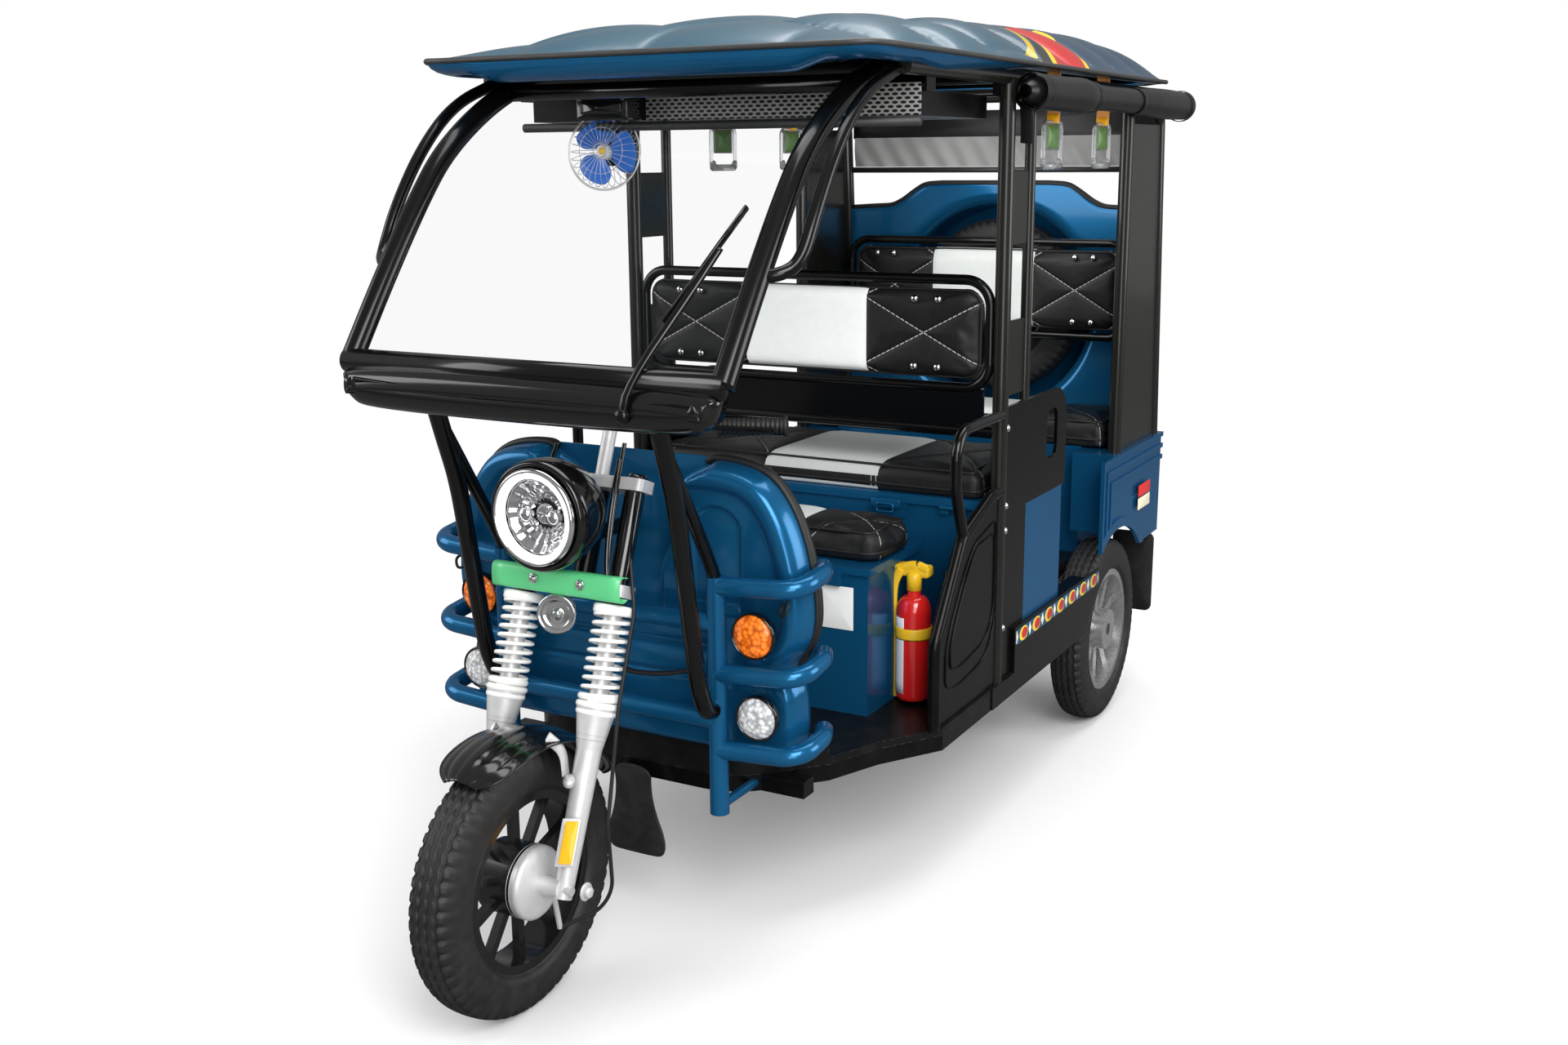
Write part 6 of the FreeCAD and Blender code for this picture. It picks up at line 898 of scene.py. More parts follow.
def helix(centre, axis, radius, wire, turns, height):
    """Coil: centre + axis z(t) + radius (cos t, sin t), pitch flat at both ends."""
    axis, first, second = sides_of(axis)
    t = np.linspace(0, turns, int(turns * 36))
    share = np.interp(t, [0, 0.9, turns - 0.9, turns], [0, 0.030, 0.970, 1])
    path = np.asarray(centre) + (share * height)[:, None] * axis \
        + radius * (np.cos(t * 2 * pi)[:, None] * first + np.sin(t * 2 * pi)[:, None] * second)
    return tube(path, wire, 10, seed=axis)


def build_springs():
    """Both fork springs round their rods, with rounded collars below and a cap above each."""
    sizes = bpy.context.scene.rickshaw_sizes
    springs, collars = Shape(), Shape()
    bead = [(0.006 * sin(t), 0.005 * cos(t)) for t in np.linspace(0, 2 * pi, 13)]
    for side in SIDES:
        foot, top = leg_at(side * LEG_X, 0.552), leg_at(side * LEG_X, 0.700)
        springs.wrap(helix(foot, UP_AXIS, 0.0315, 0.0036, sizes.spring_turns, np.linalg.norm(top - foot)))
        springs.wrap(turned([(0, 0), (0, 0.015), (0.162, 0.015), (0.162, 0)], foot, UP_AXIS, 20), mark=1)
        for lift, radius in ((0.004, 0.036), (-0.009, 0.037), (-0.022, 0.035)):
            ring = [(along, radius - 0.004 + out) for along, out in bead]
            collars.wrap(turned(ring, foot + UP_AXIS * lift, UP_AXIS, 40))
        collars.wrap(turned([(0.152, 0.0), (0.152, 0.035), (0.155, 0.037), (0.166, 0.037), (0.169, 0.034),
                             (0.169, 0)], foot, UP_AXIS, 32))
    springs.build("coil_springs", "steering", "white_coil", "white", "steel", replaces=["fork_springs"])
    collars.build("spring_collars", "steering", "white_coil", "white")


LAMP_MOUTH = 0.0685


def reflector_surface(centre, out):
    """A faceted bowl: depth = b + 6.5 r^2 + facets |2 frac(18 t) - 1| + steps in r, with a raised middle."""
    turn, radius = np.meshgrid(angles(144), np.linspace(0.0, LAMP_MOUTH, 26))
    facet = 0.0022 * np.abs(((turn * 18 / 2 / pi) % 1) * 2 - 1) * np.clip(radius / 0.03, 0, 1)
    steps = 0.0035 * (((radius / LAMP_MOUTH) * 4) % 1)
    bowl = -0.040 + 6.5 * radius ** 2 + facet + steps * (radius > 0.018) + 0.012 * (radius < 0.0165)
    axis, first, second = sides_of(out)
    spoke = np.cos(turn)[..., None] * first + np.sin(turn)[..., None] * second
    return centre + np.minimum(bowl, -0.004)[..., None] * axis + radius[..., None] * spoke


def build_headlamp():
    """Bucket, bright bezel, glowing ring, reflector, two bulb caps and a domed glass about one axis."""
    centre, out = at(0, 0.098, 0.877), AHEAD
    bucket = Shape().wrap(turned([(-0.150, 0), (-0.150, 0.044), (-0.135, 0.054), (-0.09, 0.085),
                                  (-0.05, 0.098), (-0.02, 0.100), (-0.004, 0.098), (0.0, 0.093),
                                  (-0.002, 0.089), (-0.03, 0.086), (-0.034, 0)], centre, out, 72))
    bucket.build("lamp_bucket", "steering", "black_board", "gloss", replaces=["headlamp"])
    rings = Shape()
    rings.loop(turned([(-0.006, 0.0875), (0.006, 0.0865), (0.010, 0.083), (0.010, 0.080), (-0.006, 0.079)],
                      centre, out, 72))
    rings.loop(turned([(-0.006, 0.0788), (0.007, 0.0785), (0.011, 0.074), (0.007, 0.0690), (-0.006, 0.0685)],
                      centre, out, 72), mark=1)
    rings.build("lamp_rings", "steering", "lamp_metal", "chrome", "halo")
    face = reflector_surface(centre, out)
    bowl = Shape().wrap(face[1:])
    bowl.wrap(np.stack([np.tile(face[0, :1], (face.shape[1], 1)), face[1]]))
    for side in SIDES:
        bowl.wrap(turned([(-0.030, 0), (-0.030, 0.013), (-0.006, 0.013), (-0.004, 0.0)],
                         centre + side * sides_of(out)[1] * 0.030, out, 20))
    walled(bowl.build("lamp_reflector", "steering", "lamp_metal", "mirror"), 1 * MM)
    front = [(0.004 + 0.012 * (1 - r * r), 0.0705 * r) for r in np.linspace(0, 1, 9)]
    back = [(along - 0.003, radius) for along, radius in reversed(front)]
    Shape().wrap(turned(front + back, centre, out, 72)).build("lamp_glass", "steering", "clear_pane",
                                                              "lamp glass")


def lamp_parts(centre, radius, depth):
    """Housing and dish-backed domed lens about a lamp's axis, as (along, radius) profiles."""
    housing = [(-depth, 0), (-depth, radius * 0.8), (-0.004, radius), (0.004, radius),
               (0.008, radius * 0.97), (0.008, radius * 0.93), (0.002, radius * 0.91), (0.0, 0)]
    arc = np.linspace(0, pi / 2, 9)
    bulb = [(0.001, 0)] + [(0.001, radius * 0.90)] + [(0.004 + 0.014 * np.sin(t), radius * 0.90 * np.cos(t))
                                                      for t in arc]
    return turned(housing, centre, AHEAD, 48), turned(bulb, centre, AHEAD, 48)


def build_small_lamps():
    """Signals and fog lamps on the guard, tail lamps as rounded slabs."""
    for name, node, x, z, radius, finish, slot in (
            ("signal", "turn_signals", 0.310, 0.648, 0.044, "amber", "amber_lens"),
            ("fog", "fog_lamps", 0.316, 0.494, 0.043, "clear lens", "clear_lens")):
        cases, lenses = Shape(), Shape()
        for side in SIDES:
            case, bulb = lamp_parts(at(side * x, 0.314, z), radius, 0.022)
            cases.wrap(case)
            lenses.wrap(bulb)
        cases.build(name + "_cases", "root", "black_board", "gloss", replaces=[node])
        lenses.build(name + "_lenses", "root", slot, finish)
    tails = Shape()
    for side in SIDES:
        tails.wrap(plate(0.028, 0.062, 0.012, 48, slab_levels(0.022, 0.005),
                         facing(at(side * 0.402, 2.333, 0.600), out_axis=-AHEAD)))
    tails.build("tail_lenses", "root", "red_lens", "red lens", replaces=["tail_lamps"])


# Fender and fork
def fender_surface():
    """Guard over the wheel: P(q, u) = hub + r(u) (sin q, cos q) with x = w(q) u and
    r = R - a |u|^2.6 + ridge - groove + lip."""
    q = np.radians(np.linspace(-31, 62, 120))
    u = np.linspace(-1, 1, 49)
    side = np.abs(u)
    share = np.clip(np.abs((q - q[0]) / (q[-1] - q[0]) * 2 - 1), 0, 1)
    width = 0.076 * (1 - share ** 9 * 0.55)
    ridge = 0.0025 * np.exp(-(u / 0.16) ** 4)
    groove = 0.0025 * np.exp(-((side - 0.62) / 0.10) ** 2)
    lip = 0.005 * np.clip((side - 0.90) / 0.10, 0, 1) ** 1.5
    drop = 0.020 * side ** 2.6 - ridge + groove - lip
    r = 0.268 - drop[None] * (1 - 0.3 * share[:, None] ** 6)
    y, z = AXLE_Y + r * np.sin(q)[:, None], HUB_Z + r * np.cos(q)[:, None]
    return np.stack([width[:, None] * u, y, z], -1)


def build_fender():
    """The guard as one sheet, its flat stays and the turned knobs on the fork."""
    guard = Shape().grid(fender_surface())
    walled(guard.build("fender_press", "steering", "black_board", "gloss", replaces=["front_fender"]),
           2.4 * MM, 0)
    stays, knobs = Shape(), Shape()
    for side in SIDES:
        stays.wrap(bent([at(side * 0.060, 0.030, 0.507), at(side * 0.070, 0.060, 0.475),
                         leg_at(side * 0.074, 0.430, -0.020)], 0.011, 10, flat=0.25, seed=ACROSS))
        knobs.wrap(turned([(0, 0), (0, 0.009), (0.020, 0.011), (0.034, 0.010), (0.044, 0.006), (0.047, 0)],
                          leg_at(side * 0.088, 0.430, -0.030), (side * 0.55, -0.75, 0.15), 20))
    stays.build("fender_stays", "steering", "silver_alloy", "silver")
    knobs.build("fender_knobs", "steering", "silver_alloy", "silver")


def build_fork():
    """Turned covers, seals and axle nuts of the fork, its reflectors, the hub's drum and the bent cables."""
    covers, metal, marks = Shape(), Shape(), Shape()
    for side in SIDES:
        foot, top = leg_at(side * LEG_X, 0.706), leg_at(side * LEG_X, 0.930)
        reach = np.linalg.norm(top - foot)
        covers.wrap(turned([(0, 0), (0, 0.0185), (0.010, 0.020), (0.018, 0.0185), (reach - 0.01, 0.0180),
                            (reach, 0.0165), (reach, 0)], foot, UP_AXIS, 32))
        outwards = (cos(radians(25)), side * sin(radians(25)), 0)
        place = facing(leg_at(side * (LEG_X + 0.010), 0.330, -0.030), outwards, UP_AXIS,
                       np.cross(outwards, UP_AXIS))
        metal.wrap(plate(0.0165, 0.042, 0.003, 32, slab_levels(0.004, 0.001), place))
        marks.wrap(pad_of(rounded_outline(0.0115, 0.037, 0.003, 32) + [0.002, 0],
                          [(0, 0.004), (0, 0.006), (0.001, 0.0068)], place))
        for z, r in ((0.496, 0.0275), (0.488, 0.0262)):
            metal.loop(turned([(-0.002, r - 0.004), (-0.002, r), (0.002, r), (0.002, r - 0.004)],
                              leg_at(side * LEG_X, z), UP_AXIS, 32))
        bolt(metal, at(side * 0.142, 0.012, HUB_Z), (side, 0, 0), 0.011)
    for side, start, lead in ((1, 0.985, -0.030), (1, 0.960, -0.038), (-1, 0.975, -0.034)):
        covers.wrap(bent([leg_at(side * 0.072, start, lead + 0.010), leg_at(side * 0.078, 0.90, lead),
                          leg_at(side * 0.086, 0.80, lead),
                          leg_at(side * (0.070 - lead), 0.735, lead - 0.004)], 0.0042, 10, seed=ACROSS))
    drum = [(0.016, 0), (0.016, 0.050), (0.026, 0.064), (0.030, 0.0665), (0.0335, 0.064), (0.036, 0.0665),
            (0.0395, 0.064), (0.042, 0.0665), (0.049, 0.066), (0.054, 0.061), (0.058, 0.050), (0.062, 0.030),
            (0.063, 0.0)]
    Shape().wrap(turned(drum, at(0, 0, HUB_Z), ACROSS)).build("hub_drum", "front_wheel", "silver_alloy",
                                                              "silver")
    covers.build("fork_covers", "steering", "black_board", "gloss")
    metal.build("fork_trim", "steering", "silver_alloy", "silver")
    marks.build("fork_reflectors", "steering", "amber_lens", "tape amber")


# Soft pieces
def rows_of(items, name="co"):
    """A vector of each of a mesh's points, as rows."""
    flat = np.empty(len(items) * 3, np.float32)
    items.foreach_get(name, flat)
    return flat.reshape(-1, 3).astype(float)


def move_points(mesh, points):
    """Puts a mesh's points in new places."""
    mesh.vertices.foreach_set("co", points.astype(np.float32).ravel())
    mesh.update()


def applied(piece):
    """The piece's modifiers worked into its mesh; the new points are returned."""
    shown = piece.evaluated_get(bpy.context.evaluated_depsgraph_get())
    mesh = bpy.data.meshes.new_from_object(shown)
    piece.modifiers.clear()
    piece.data = mesh
    return rows_of(mesh.vertices)


def swell(piece, resting, cap, net):
    """Air under pressure: the pad is meshed evenly and blown up while its resting side, the points where
    sense (p[axis] - level) < 0, is held still. A point's way d becomes cap tanh(d / cap), then every face is
    divided once."""
    voxels = piece.modifiers.new("net", "REMESH")
    voxels.mode, voxels.voxel_size = "VOXEL", net
    start = applied(piece)
    axis, level, sense = resting
    held = piece.vertex_groups.new(name="still")
    held.add(np.flatnonzero(sense * (start[:, axis] - level) < 0).tolist(), 1.0, "REPLACE")
    cloth = piece.modifiers.new("cloth", "CLOTH").settings
    cloth.use_pressure, cloth.uniform_pressure_force, cloth.vertex_group_mass = True, 4.0, "still"
    cloth.effector_weights.gravity = 0
    for number in range(1, 21):
        bpy.context.scene.frame_set(number)
    way = applied(piece) - start
    reach = np.maximum(np.linalg.norm(way, axis=1), 1e-9)[:, None]
    move_points(piece.data, start + way * (cap * np.tanh(reach / cap) / reach))
    piece.vertex_groups.clear()
    bpy.context.scene.frame_set(1)
    fine = piece.modifiers.new("fine", "SUBSURF")
    fine.levels = fine.render_levels = 1
    applied(piece)


def seam_gap(points, flat, quilt, panel):
    """Distance to the nearest quilting line or to the pale panel's edge."""
    (width, height), (u0, v0) = quilt
    u, v = points[:, 0] - u0, points[:, 1 if flat else 2] - v0
    near = np.minimum(*(np.abs((line + 0.5) % 1 - 0.5)
                        for line in (u / width + v / height, u / width - v / height)))
    near = near * width * height / np.hypot(width, height)
    low, high, start = panel
    inside = (points[:, 0] > low - 0.004) & (points[:, 0] < high + 0.004)
    near = np.where(inside, 1.0, near)
    beyond = points[:, 1 if flat else 2] > start
    edges = np.minimum(np.abs(points[:, 0] - low), np.abs(points[:, 0] - high))
    near = np.minimum(near, np.where(beyond, edges, 1.0))
    return np.minimum(near, np.where(inside, np.abs(points[:, 1 if flat else 2] - start), 1.0))


def piping(piece, ring, centre, seed):
    """A welt sewn on where lines from outside, aimed at the middle, meet the pad."""
    tree = BVHTree.FromObject(piece, bpy.context.evaluated_depsgraph_get())
    hits = []
    for start, aim in zip(ring, centre):
        hit = tree.ray_cast(Vector(start), Vector(aim - start).normalized())[0]
        hits.append(hit if hit is not None else start)
    line = np.array(hits, float)
    for _ in range(3):
        line = (np.roll(line, 1, 0) + line * 2 + np.roll(line, -1, 0)) / 4
    return ring_tube(line, 0.0032, 8, seed=seed)


# Each pad: node, whether it lies flat, finish, corner, most it swells, pale panel, levels of its piping
PADS = (
    ("bench_cushion", True, "bench", 0.030, 0.010, (-0.109, 0.180, 1.098), (0.25, 0.86)),
    ("driver_cushion", True, "seat", 0.040, 0.014, (-0.125, 0.125, 0.85), (0.25, 0.80)),
    ("rear_seat_cushion", True, "rear seat", 0.035, 0.012, (-0.14, 0.14, 1.985), (0.25, 0.82)),
    ("bench_backrest", False, "back", 0.040, 0.007, (-0.152, 0.152, 1.017), (0.5,)),
    ("rear_backrest", False, "rear back", 0.040, 0.007, (-0.150, 0.150, 1.02), (0.5,)),
)


def build_pads():
    """Each pad: rings of a rounded outline, inset e (1 - cos q) and lifted e sin q at both edges, blown up
    and then pressed in along its quilting by d exp(-(gap / w)^2), with welts sewn round its sides."""
    sizes = bpy.context.scene.rickshaw_sizes
    for node, flat, finish, corner, cap, panel, welts in PADS:
        low, high = (np.array(end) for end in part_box(node))
        middle, half, span = (low + high) / 2, (high - low) / 2, high - low
        rise, second = (2, 1) if flat else (1, 2)
        thin = cap * 0.75
        if flat:
            place = facing((middle[0], middle[1], low[2]), ACROSS, -AHEAD, UP)
            resting = (2, low[2] + 0.004, 1)
        else:
            place = facing((middle[0], high[1] - 0.001, middle[2]), -ACROSS, UP, AHEAD)
            resting = (1, high[1] - 0.005, -1)
        outline = rounded_outline(half[0] - thin, half[second] - thin, corner, 120)
        thickness = span[rise] - thin
        edge = min(half) * 0.62
        foot = edge * 0.45
        arc = np.linspace(0, pi / 2, 7)
        levels = [(foot * (1 - np.sin(t)), foot * (1 - np.cos(t))) for t in arc]
        levels += [(edge * (1 - np.cos(t)), thickness - edge * (1 - np.sin(t))) for t in arc]
        body = {"bench_cushion": "bench_lid", "driver_cushion": "driver_lid"}.get(node, "root")
        name = node.replace("_cushion", "").replace("_backrest", "_back")
        pad = Shape().wrap(pad_of(outline, levels, place))
        pad = pad.build(name + "_pad", body, "black_vinyl", finish, replaces=[node])
        swell(pad, resting, cap, sizes.cloth_net)
        points = rows_of(pad.data.vertices)
        line = (panel[0], panel[1], panel[2] + (AXLE_Y if flat else 0))
        gap = seam_gap(points, flat, QUILT[finish], line)
        raised = points[:, 2] - low[2] if flat else high[1] - points[:, 1]
        face = np.clip(raised / span[rise] * 2.5 - (1.2 if flat else 1.0), 0, 1)
        dip = 0.0032 * np.exp(-(gap / 0.0045) ** 2) + 0.0030 * np.exp(-(gap / 0.022) ** 2)
        normals = rows_of(pad.data.vertex_normals, "vector")
        move_points(pad.data, points - normals * (dip * face)[:, None])
        pad.data.polygons.foreach_set("use_smooth", np.full(len(pad.data.polygons), True))
        cords = Shape()
        wide = rounded_outline(half[0] + 0.03, half[second] + 0.03, corner + 0.02, 240)
        near = rounded_outline(half[0] - 0.06, half[second] - 0.06, 0.02, 240)
        for share in welts:
            level = low[2] + span[2] * share if flat else high[1] - span[1] * share
            spots = [np.insert(ring + middle[[0, second]], rise, level, axis=1) for ring in (wide, near)]
            cords.loop(piping(pad, *spots, seed=UP if flat else AHEAD))
        cords.build(name + "_piping", body, "black_vinyl", "rubber")


def rolled(start, end, outer, turns, side, sag, swellings):
    """A cloth rolled on itself, r(t) = R - p t, pinched at its ties and swelling between them."""
    t = np.linspace(0, turns, int(turns * 40))
    r = outer - (outer - 0.007) * t / turns
    along = np.linspace(0, 1, 64)
    start, end = np.asarray(start, float), np.asarray(end, float)
    first, second = sides_of(end - start)[1:]
    line = start + along[:, None] * (end - start)
    bulge = np.interp(along, *swellings) * (1 + 0.02 * np.sin(along * 23 + 1.0))
    pinch = 1 - sag * np.exp(-((along[:, None] - np.array([0.035, 0.335, 0.615, 0.955]))
                               / 0.010) ** 2).sum(1)
    size = (r[None] * (bulge * pinch)[:, None])[..., None]
    turn = (2 * pi * t)[None, :, None] * side + 0.4 * np.sin(along * 12)[:, None, None]
    return line[:, None] + size * (np.cos(turn) * first + np.sin(turn) * second)


ROLL_X, ROLL_Z, ROLL_START, ROLL_END = 0.5105, 1.6085, 1.080, 2.300
STRAPS = ((1.123, 0.0372), (1.489, 0.033), (1.830, 0.032), (2.245, 0.0385))
ROLL_SWELLINGS = ((0, 0.05, 0.28, 0.34, 0.60, 0.66, 0.72, 0.97, 1),
                  (0.45, 1.2, 1.28, 0.98, 0.96, 1.1, 1.24, 1.24, 0.9))


def run(points, axis):
    """Mean length of a grid's lines, to the millimetre."""
    steps = np.linalg.norm(np.diff(points, axis=axis), axis=2)
    return round(float(steps.sum(axis).mean()), 3)


def build_curtains():
    """Rolled side curtains and the pleated strip, y = y0 + a(z) sin(95 x + 60 z), each one sheet, with the
    straps and the rail that hold them."""
    straps = Shape()
    for side, name in ((1, "left"), (-1, "right")):
        roll = rolled(at(side * ROLL_X, ROLL_START, ROLL_Z), at(side * ROLL_X, ROLL_END, ROLL_Z), 0.0315,
                      6.5, side, 0.06, ROLL_SWELLINGS)
        piece = Shape().grid(roll).build("side_curtain_" + name, "root", "dark_canvas", "canvas",
                                         replaces=["curtain_rolls"] if side > 0 else (), outward=False)
        for station, radius in STRAPS:
            ring = circle(at(side * ROLL_X, station, ROLL_Z), radius, ACROSS, UP, 60)
            straps.loop(ring_tube(ring, 0.0012, 8, flat=11.0, seed=AHEAD))
        tail = np.array([(0, 0, 0), (side * 0.003, 0.004, -0.04), (0, 0.012, -0.085)])
        tail += at(side * 0.4915, 1.135, 1.592)
        straps.wrap(bent(tail, 0.0016, 8, flat=9.0, seed=ACROSS))
    hung = np.linspace(-0.442, 0.442, 260)
    drop = np.linspace(1.538, 1.456, 14)
    fold = 0.004 * np.sin(hung[None] * 95 + drop[:, None] * 60) * np.linspace(0.3, 1, 14)[:, None]
    rows = np.stack(np.broadcast_arrays(hung[None], AXLE_Y + 2.238 + fold, drop[:, None]), -1)
    strip = Shape().grid(rows).build("rear_strip", "root", "dark_canvas", "curtain", outward=False)
    rail = Shape().wrap(tube(line_at([(-0.452, 2.240, 1.447), (0.452, 2.240, 1.447)]), 0.008, 12, seed=UP))
    rail.wrap(plate(0.448, 0.038, 0.006, 40, slab_levels(0.003, 0.0008), facing(at(0, 2.243, 1.572))),
              mark=1)
    rail.build("rear_curtain_rail", "root", "black_tube", "steel", "canvas")
    straps.build("curtain_straps", "root", "dark_canvas", "canvas")


# Rear pieces
def panel_outline():
    """Half outline of the rear panel from its foot's middle to its crown's middle, S-curved at the step."""
    half = [(0.0, 0.728), (0.452, 0.728), (0.452, 1.338), (0.368, 1.343), (0.318, 1.345), (0.285, 1.360),
            (0.250, 1.385), (0.215, 1.406), (0.160, 1.409), (0.0, 1.409)]
    line = np.concatenate([half[:2], softened(half[2:-1], 3, share=0.2), half[-1:]])
    return np.concatenate([line, line[-2:0:-1] * [-1, 1]])


WELL = ((0.318, 0.0), (0.312, 0.001), (0.306, 0.004), (0.300, 0.009), (0.294, 0.015), (0.290, 0.022),
        (0.288, 0.03), (0.286, 0.08), (0.285, 0.143), (0.280, 0.149), (0.14, 0.150), (0.0, 0.150))


def build_panel():
    """Panel P(a, r): from a rolled edge over the flat face into a round well and across its back, its rings
    drawn along rays from the well's middle, with beading over its top."""
    outline = resampled(panel_outline(), 360, closed=True)
    middle = np.array([0, 1.063])
    ray = outline - middle
    reach = np.linalg.norm(ray, axis=1)[:, None]
    rings = [(middle + ray, 0.016), (middle + ray * 0.999, 0.003), (middle + ray * 0.99, 0.0)]
    for share in np.linspace(0, 1, 9)[1:-1]:
        rings.append((middle + ray / reach * (reach * 0.985 * (1 - share) + WELL[0][0] * share), 0.0))
    rings += [(middle + ray / reach * radius, depth) for radius, depth in WELL]
    flat = np.stack([ring for ring, depth in rings])
    depths = np.array([depth for ring, depth in rings])[:, None]
    points = np.stack(np.broadcast_arrays(flat[..., 0], AXLE_Y + 2.231 + depths, flat[..., 1]), -1)
    panel = Shape().wrap(points[:, ::-1])
    walled(panel.build("rear_press", "root", "blue_paint", "blue", replaces=["rear_panel"]), 2 * MM)
    top = outline[(outline[:, 1] > 1.30) & (np.abs(outline[:, 0]) < 0.449)]
    top = top[np.argsort(top[:, 0])]
    rim = np.stack([top[:, 0], np.full(len(top), AXLE_Y + 2.238), top[:, 1] + 0.001], 1)
    beading = Shape().wrap(tube(rim, 0.0080, 10, flat=1.4, seed=AHEAD))
    beading.build("rear_beading", "root", "black_rubber", "rubber")


def build_spare():
    """The spare tyre lies in the well on its turned rim."""
    sizes = bpy.context.scene.rickshaw_sizes
    low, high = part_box("spare_wheel")
    hub = np.array([0, (low.y + high.y) / 2 - 0.004, (low.z + high.z) / 2])
    spare = tyre_surface((0, 0, 0), sizes.tyre_radius, sizes.tyre_width / 2, sizes.lugs)
    spare = spare[..., [1, 0, 2]] + hub
    wheel = Shape().loop(spare)
    wheel.wrap(turned([(-0.030, 0.0), (-0.030, 0.030), (-0.012, 0.045), (-0.008, 0.120), (-0.028, 0.135),
                       (-0.030, 0.160), (0.030, 0.160), (0.028, 0.135), (0.060, 0.04), (0.060, 0.0)],
                      hub, -AHEAD, 72), mark=1)
    wheel.build("spare_tread", "root", "tyre_rubber", "tyre", "black alloy", replaces=["spare_wheel"])


def build_bolts():
    """Bright domed heads on both backrests and on the pillars."""
    bolts = Shape()
    for station, spots in ((1.086, ((0.270, 1.186), (0.325, 1.186), (0.270, 1.041), (0.325, 1.041))),
                           (2.144, ((0.270, 1.214), (0.322, 1.214), (0.270, 1.040), (0.322, 1.040)))):
        for x, z in spots:
            for side in SIDES:
                bolts.wrap(dome(0.0085, 0.006, at(side * x, station, z), AHEAD, 24, 20))
    for side in SIDES:
        for z in (0.745, 0.915, 0.470, 0.690):
            bolts.wrap(dome(0.008, 0.005, at(side * 0.4775, 1.118, z), (side, 0, 0), 24, 16))
    bolts.build("bright_bolts", "root", "silver_alloy", "chrome")


# Cab pieces
def build_fan():
    """Three dished blades r(t) = (r cos(w(r) t), r sin(w(r) t), lift t), a hub and a cage of bent wires."""
    centre, out = at(-0.244, 0.690, 1.495), np.array([0.25, -0.95, 0.10])
    out /= np.linalg.norm(out)
    axis, first, second = sides_of(out)
    blades, cage = Shape(), Shape()
    r, t = np.meshgrid(np.linspace(0.012, 0.066, 14), np.linspace(-1, 1, 17), indexing="ij")
    half = 0.30 + 0.62 * np.sin(pi * np.clip((r - 0.006) / 0.066, 0, 1)) ** 0.6
    lift = 0.012 * t * (r / 0.066) ** 0.5
    for k in range(3):
        swing = half * t + k * 2 * pi / 3
        blades.grid(centre + lift[..., None] * axis + (r * np.cos(swing))[..., None] * first
                    + (r * np.sin(swing))[..., None] * second)
    walled(blades.build("fan_blades", "root", "fan_plastic", "fan blue", outward=False), 1.6 * MM)
    hub = Shape().wrap(turned([(-0.012, 0), (-0.012, 0.015), (0.014, 0.015), (0.020, 0.011), (0.021, 0)],
                              centre, out, 32))
    hub.wrap(turned([(0.0215, 0), (0.0215, 0.007), (0.024, 0.005), (0.0245, 0)], centre, out, 20), mark=1)
    hub.build("fan_hub", "root", "fan_plastic", "card", "yellow", replaces=["cab_fan"])
    bends = ((0.030, 0.014), (0.030, 0.055), (0.006, 0.076), (-0.026, 0.060), (-0.030, 0.020))
    for turn in angles(28):
        spoke = np.cos(turn) * first + np.sin(turn) * second
        wire = [centre + axis * rise + spoke * reach for rise, reach in bends]
        cage.wrap(bent(wire, 0.0008, 6, seed=axis))
    for lift, radius, wire in ((0.006, 0.0762, 0.0022), (0.0305, 0.014, 0.0015), (0.027, 0.046, 0.001),
                               (-0.030, 0.020, 0.0015)):
        cage.loop(ring_tube(circle(centre + axis * lift, radius, first, second, 72), wire, 8, seed=axis))
    cage.build("fan_cage", "root", "handle_plastic", "clear plastic")
    motor = Shape().wrap(turned([(-0.052, 0), (-0.052, 0.016), (-0.046, 0.024), (-0.020, 0.026),
                                 (-0.014, 0.018), (-0.012, 0)], centre, out, 32))
    motor.wrap(bent([centre - axis * 0.034, centre - axis * 0.060 + UP * 0.030, at(-0.236, 0.730, 1.560)],
                    0.008, 12))
    motor.build("fan_motor", "root", "black_board", "gloss")


def build_tray():
    """The box on the tray with its raised lid, the mesh sheet in front and the rail below."""
    box = Shape().wrap(plate(0.062, 0.030, 0.008, 48, slab_levels(0.060, 0.004),
                             facing(at(-0.216, 0.700, 1.586))))
    box.wrap(plate(0.050, 0.012, 0.004, 40, [(0.002, 0.060), (0, 0.062), (0.002, 0.064)],
                   facing(at(-0.216, 0.700, 1.580))))
    for x in (-0.268, -0.164):
        bolt(box, at(x, 0.640, 1.600), AHEAD, 0.004, mark=1)
    box.build("roof_box", "root", "black_board", "gloss", "chrome")
    front = Shape().wrap(plate(0.300, 0.0290, 0.003, 32, slab_levels(0.0015, 0.0004),
                               facing(at(0.152, 0.699, 1.5845))))
    front.build("tray_mesh", "root", "black_tube", "mesh")
    rail = Shape().wrap(tube(line_at([(-0.452, 0.697, 1.545), (0.452, 0.697, 1.545)]), 0.009, 12, seed=UP))
    rail.build("tray_rail", "root", "silver_alloy", "steel")


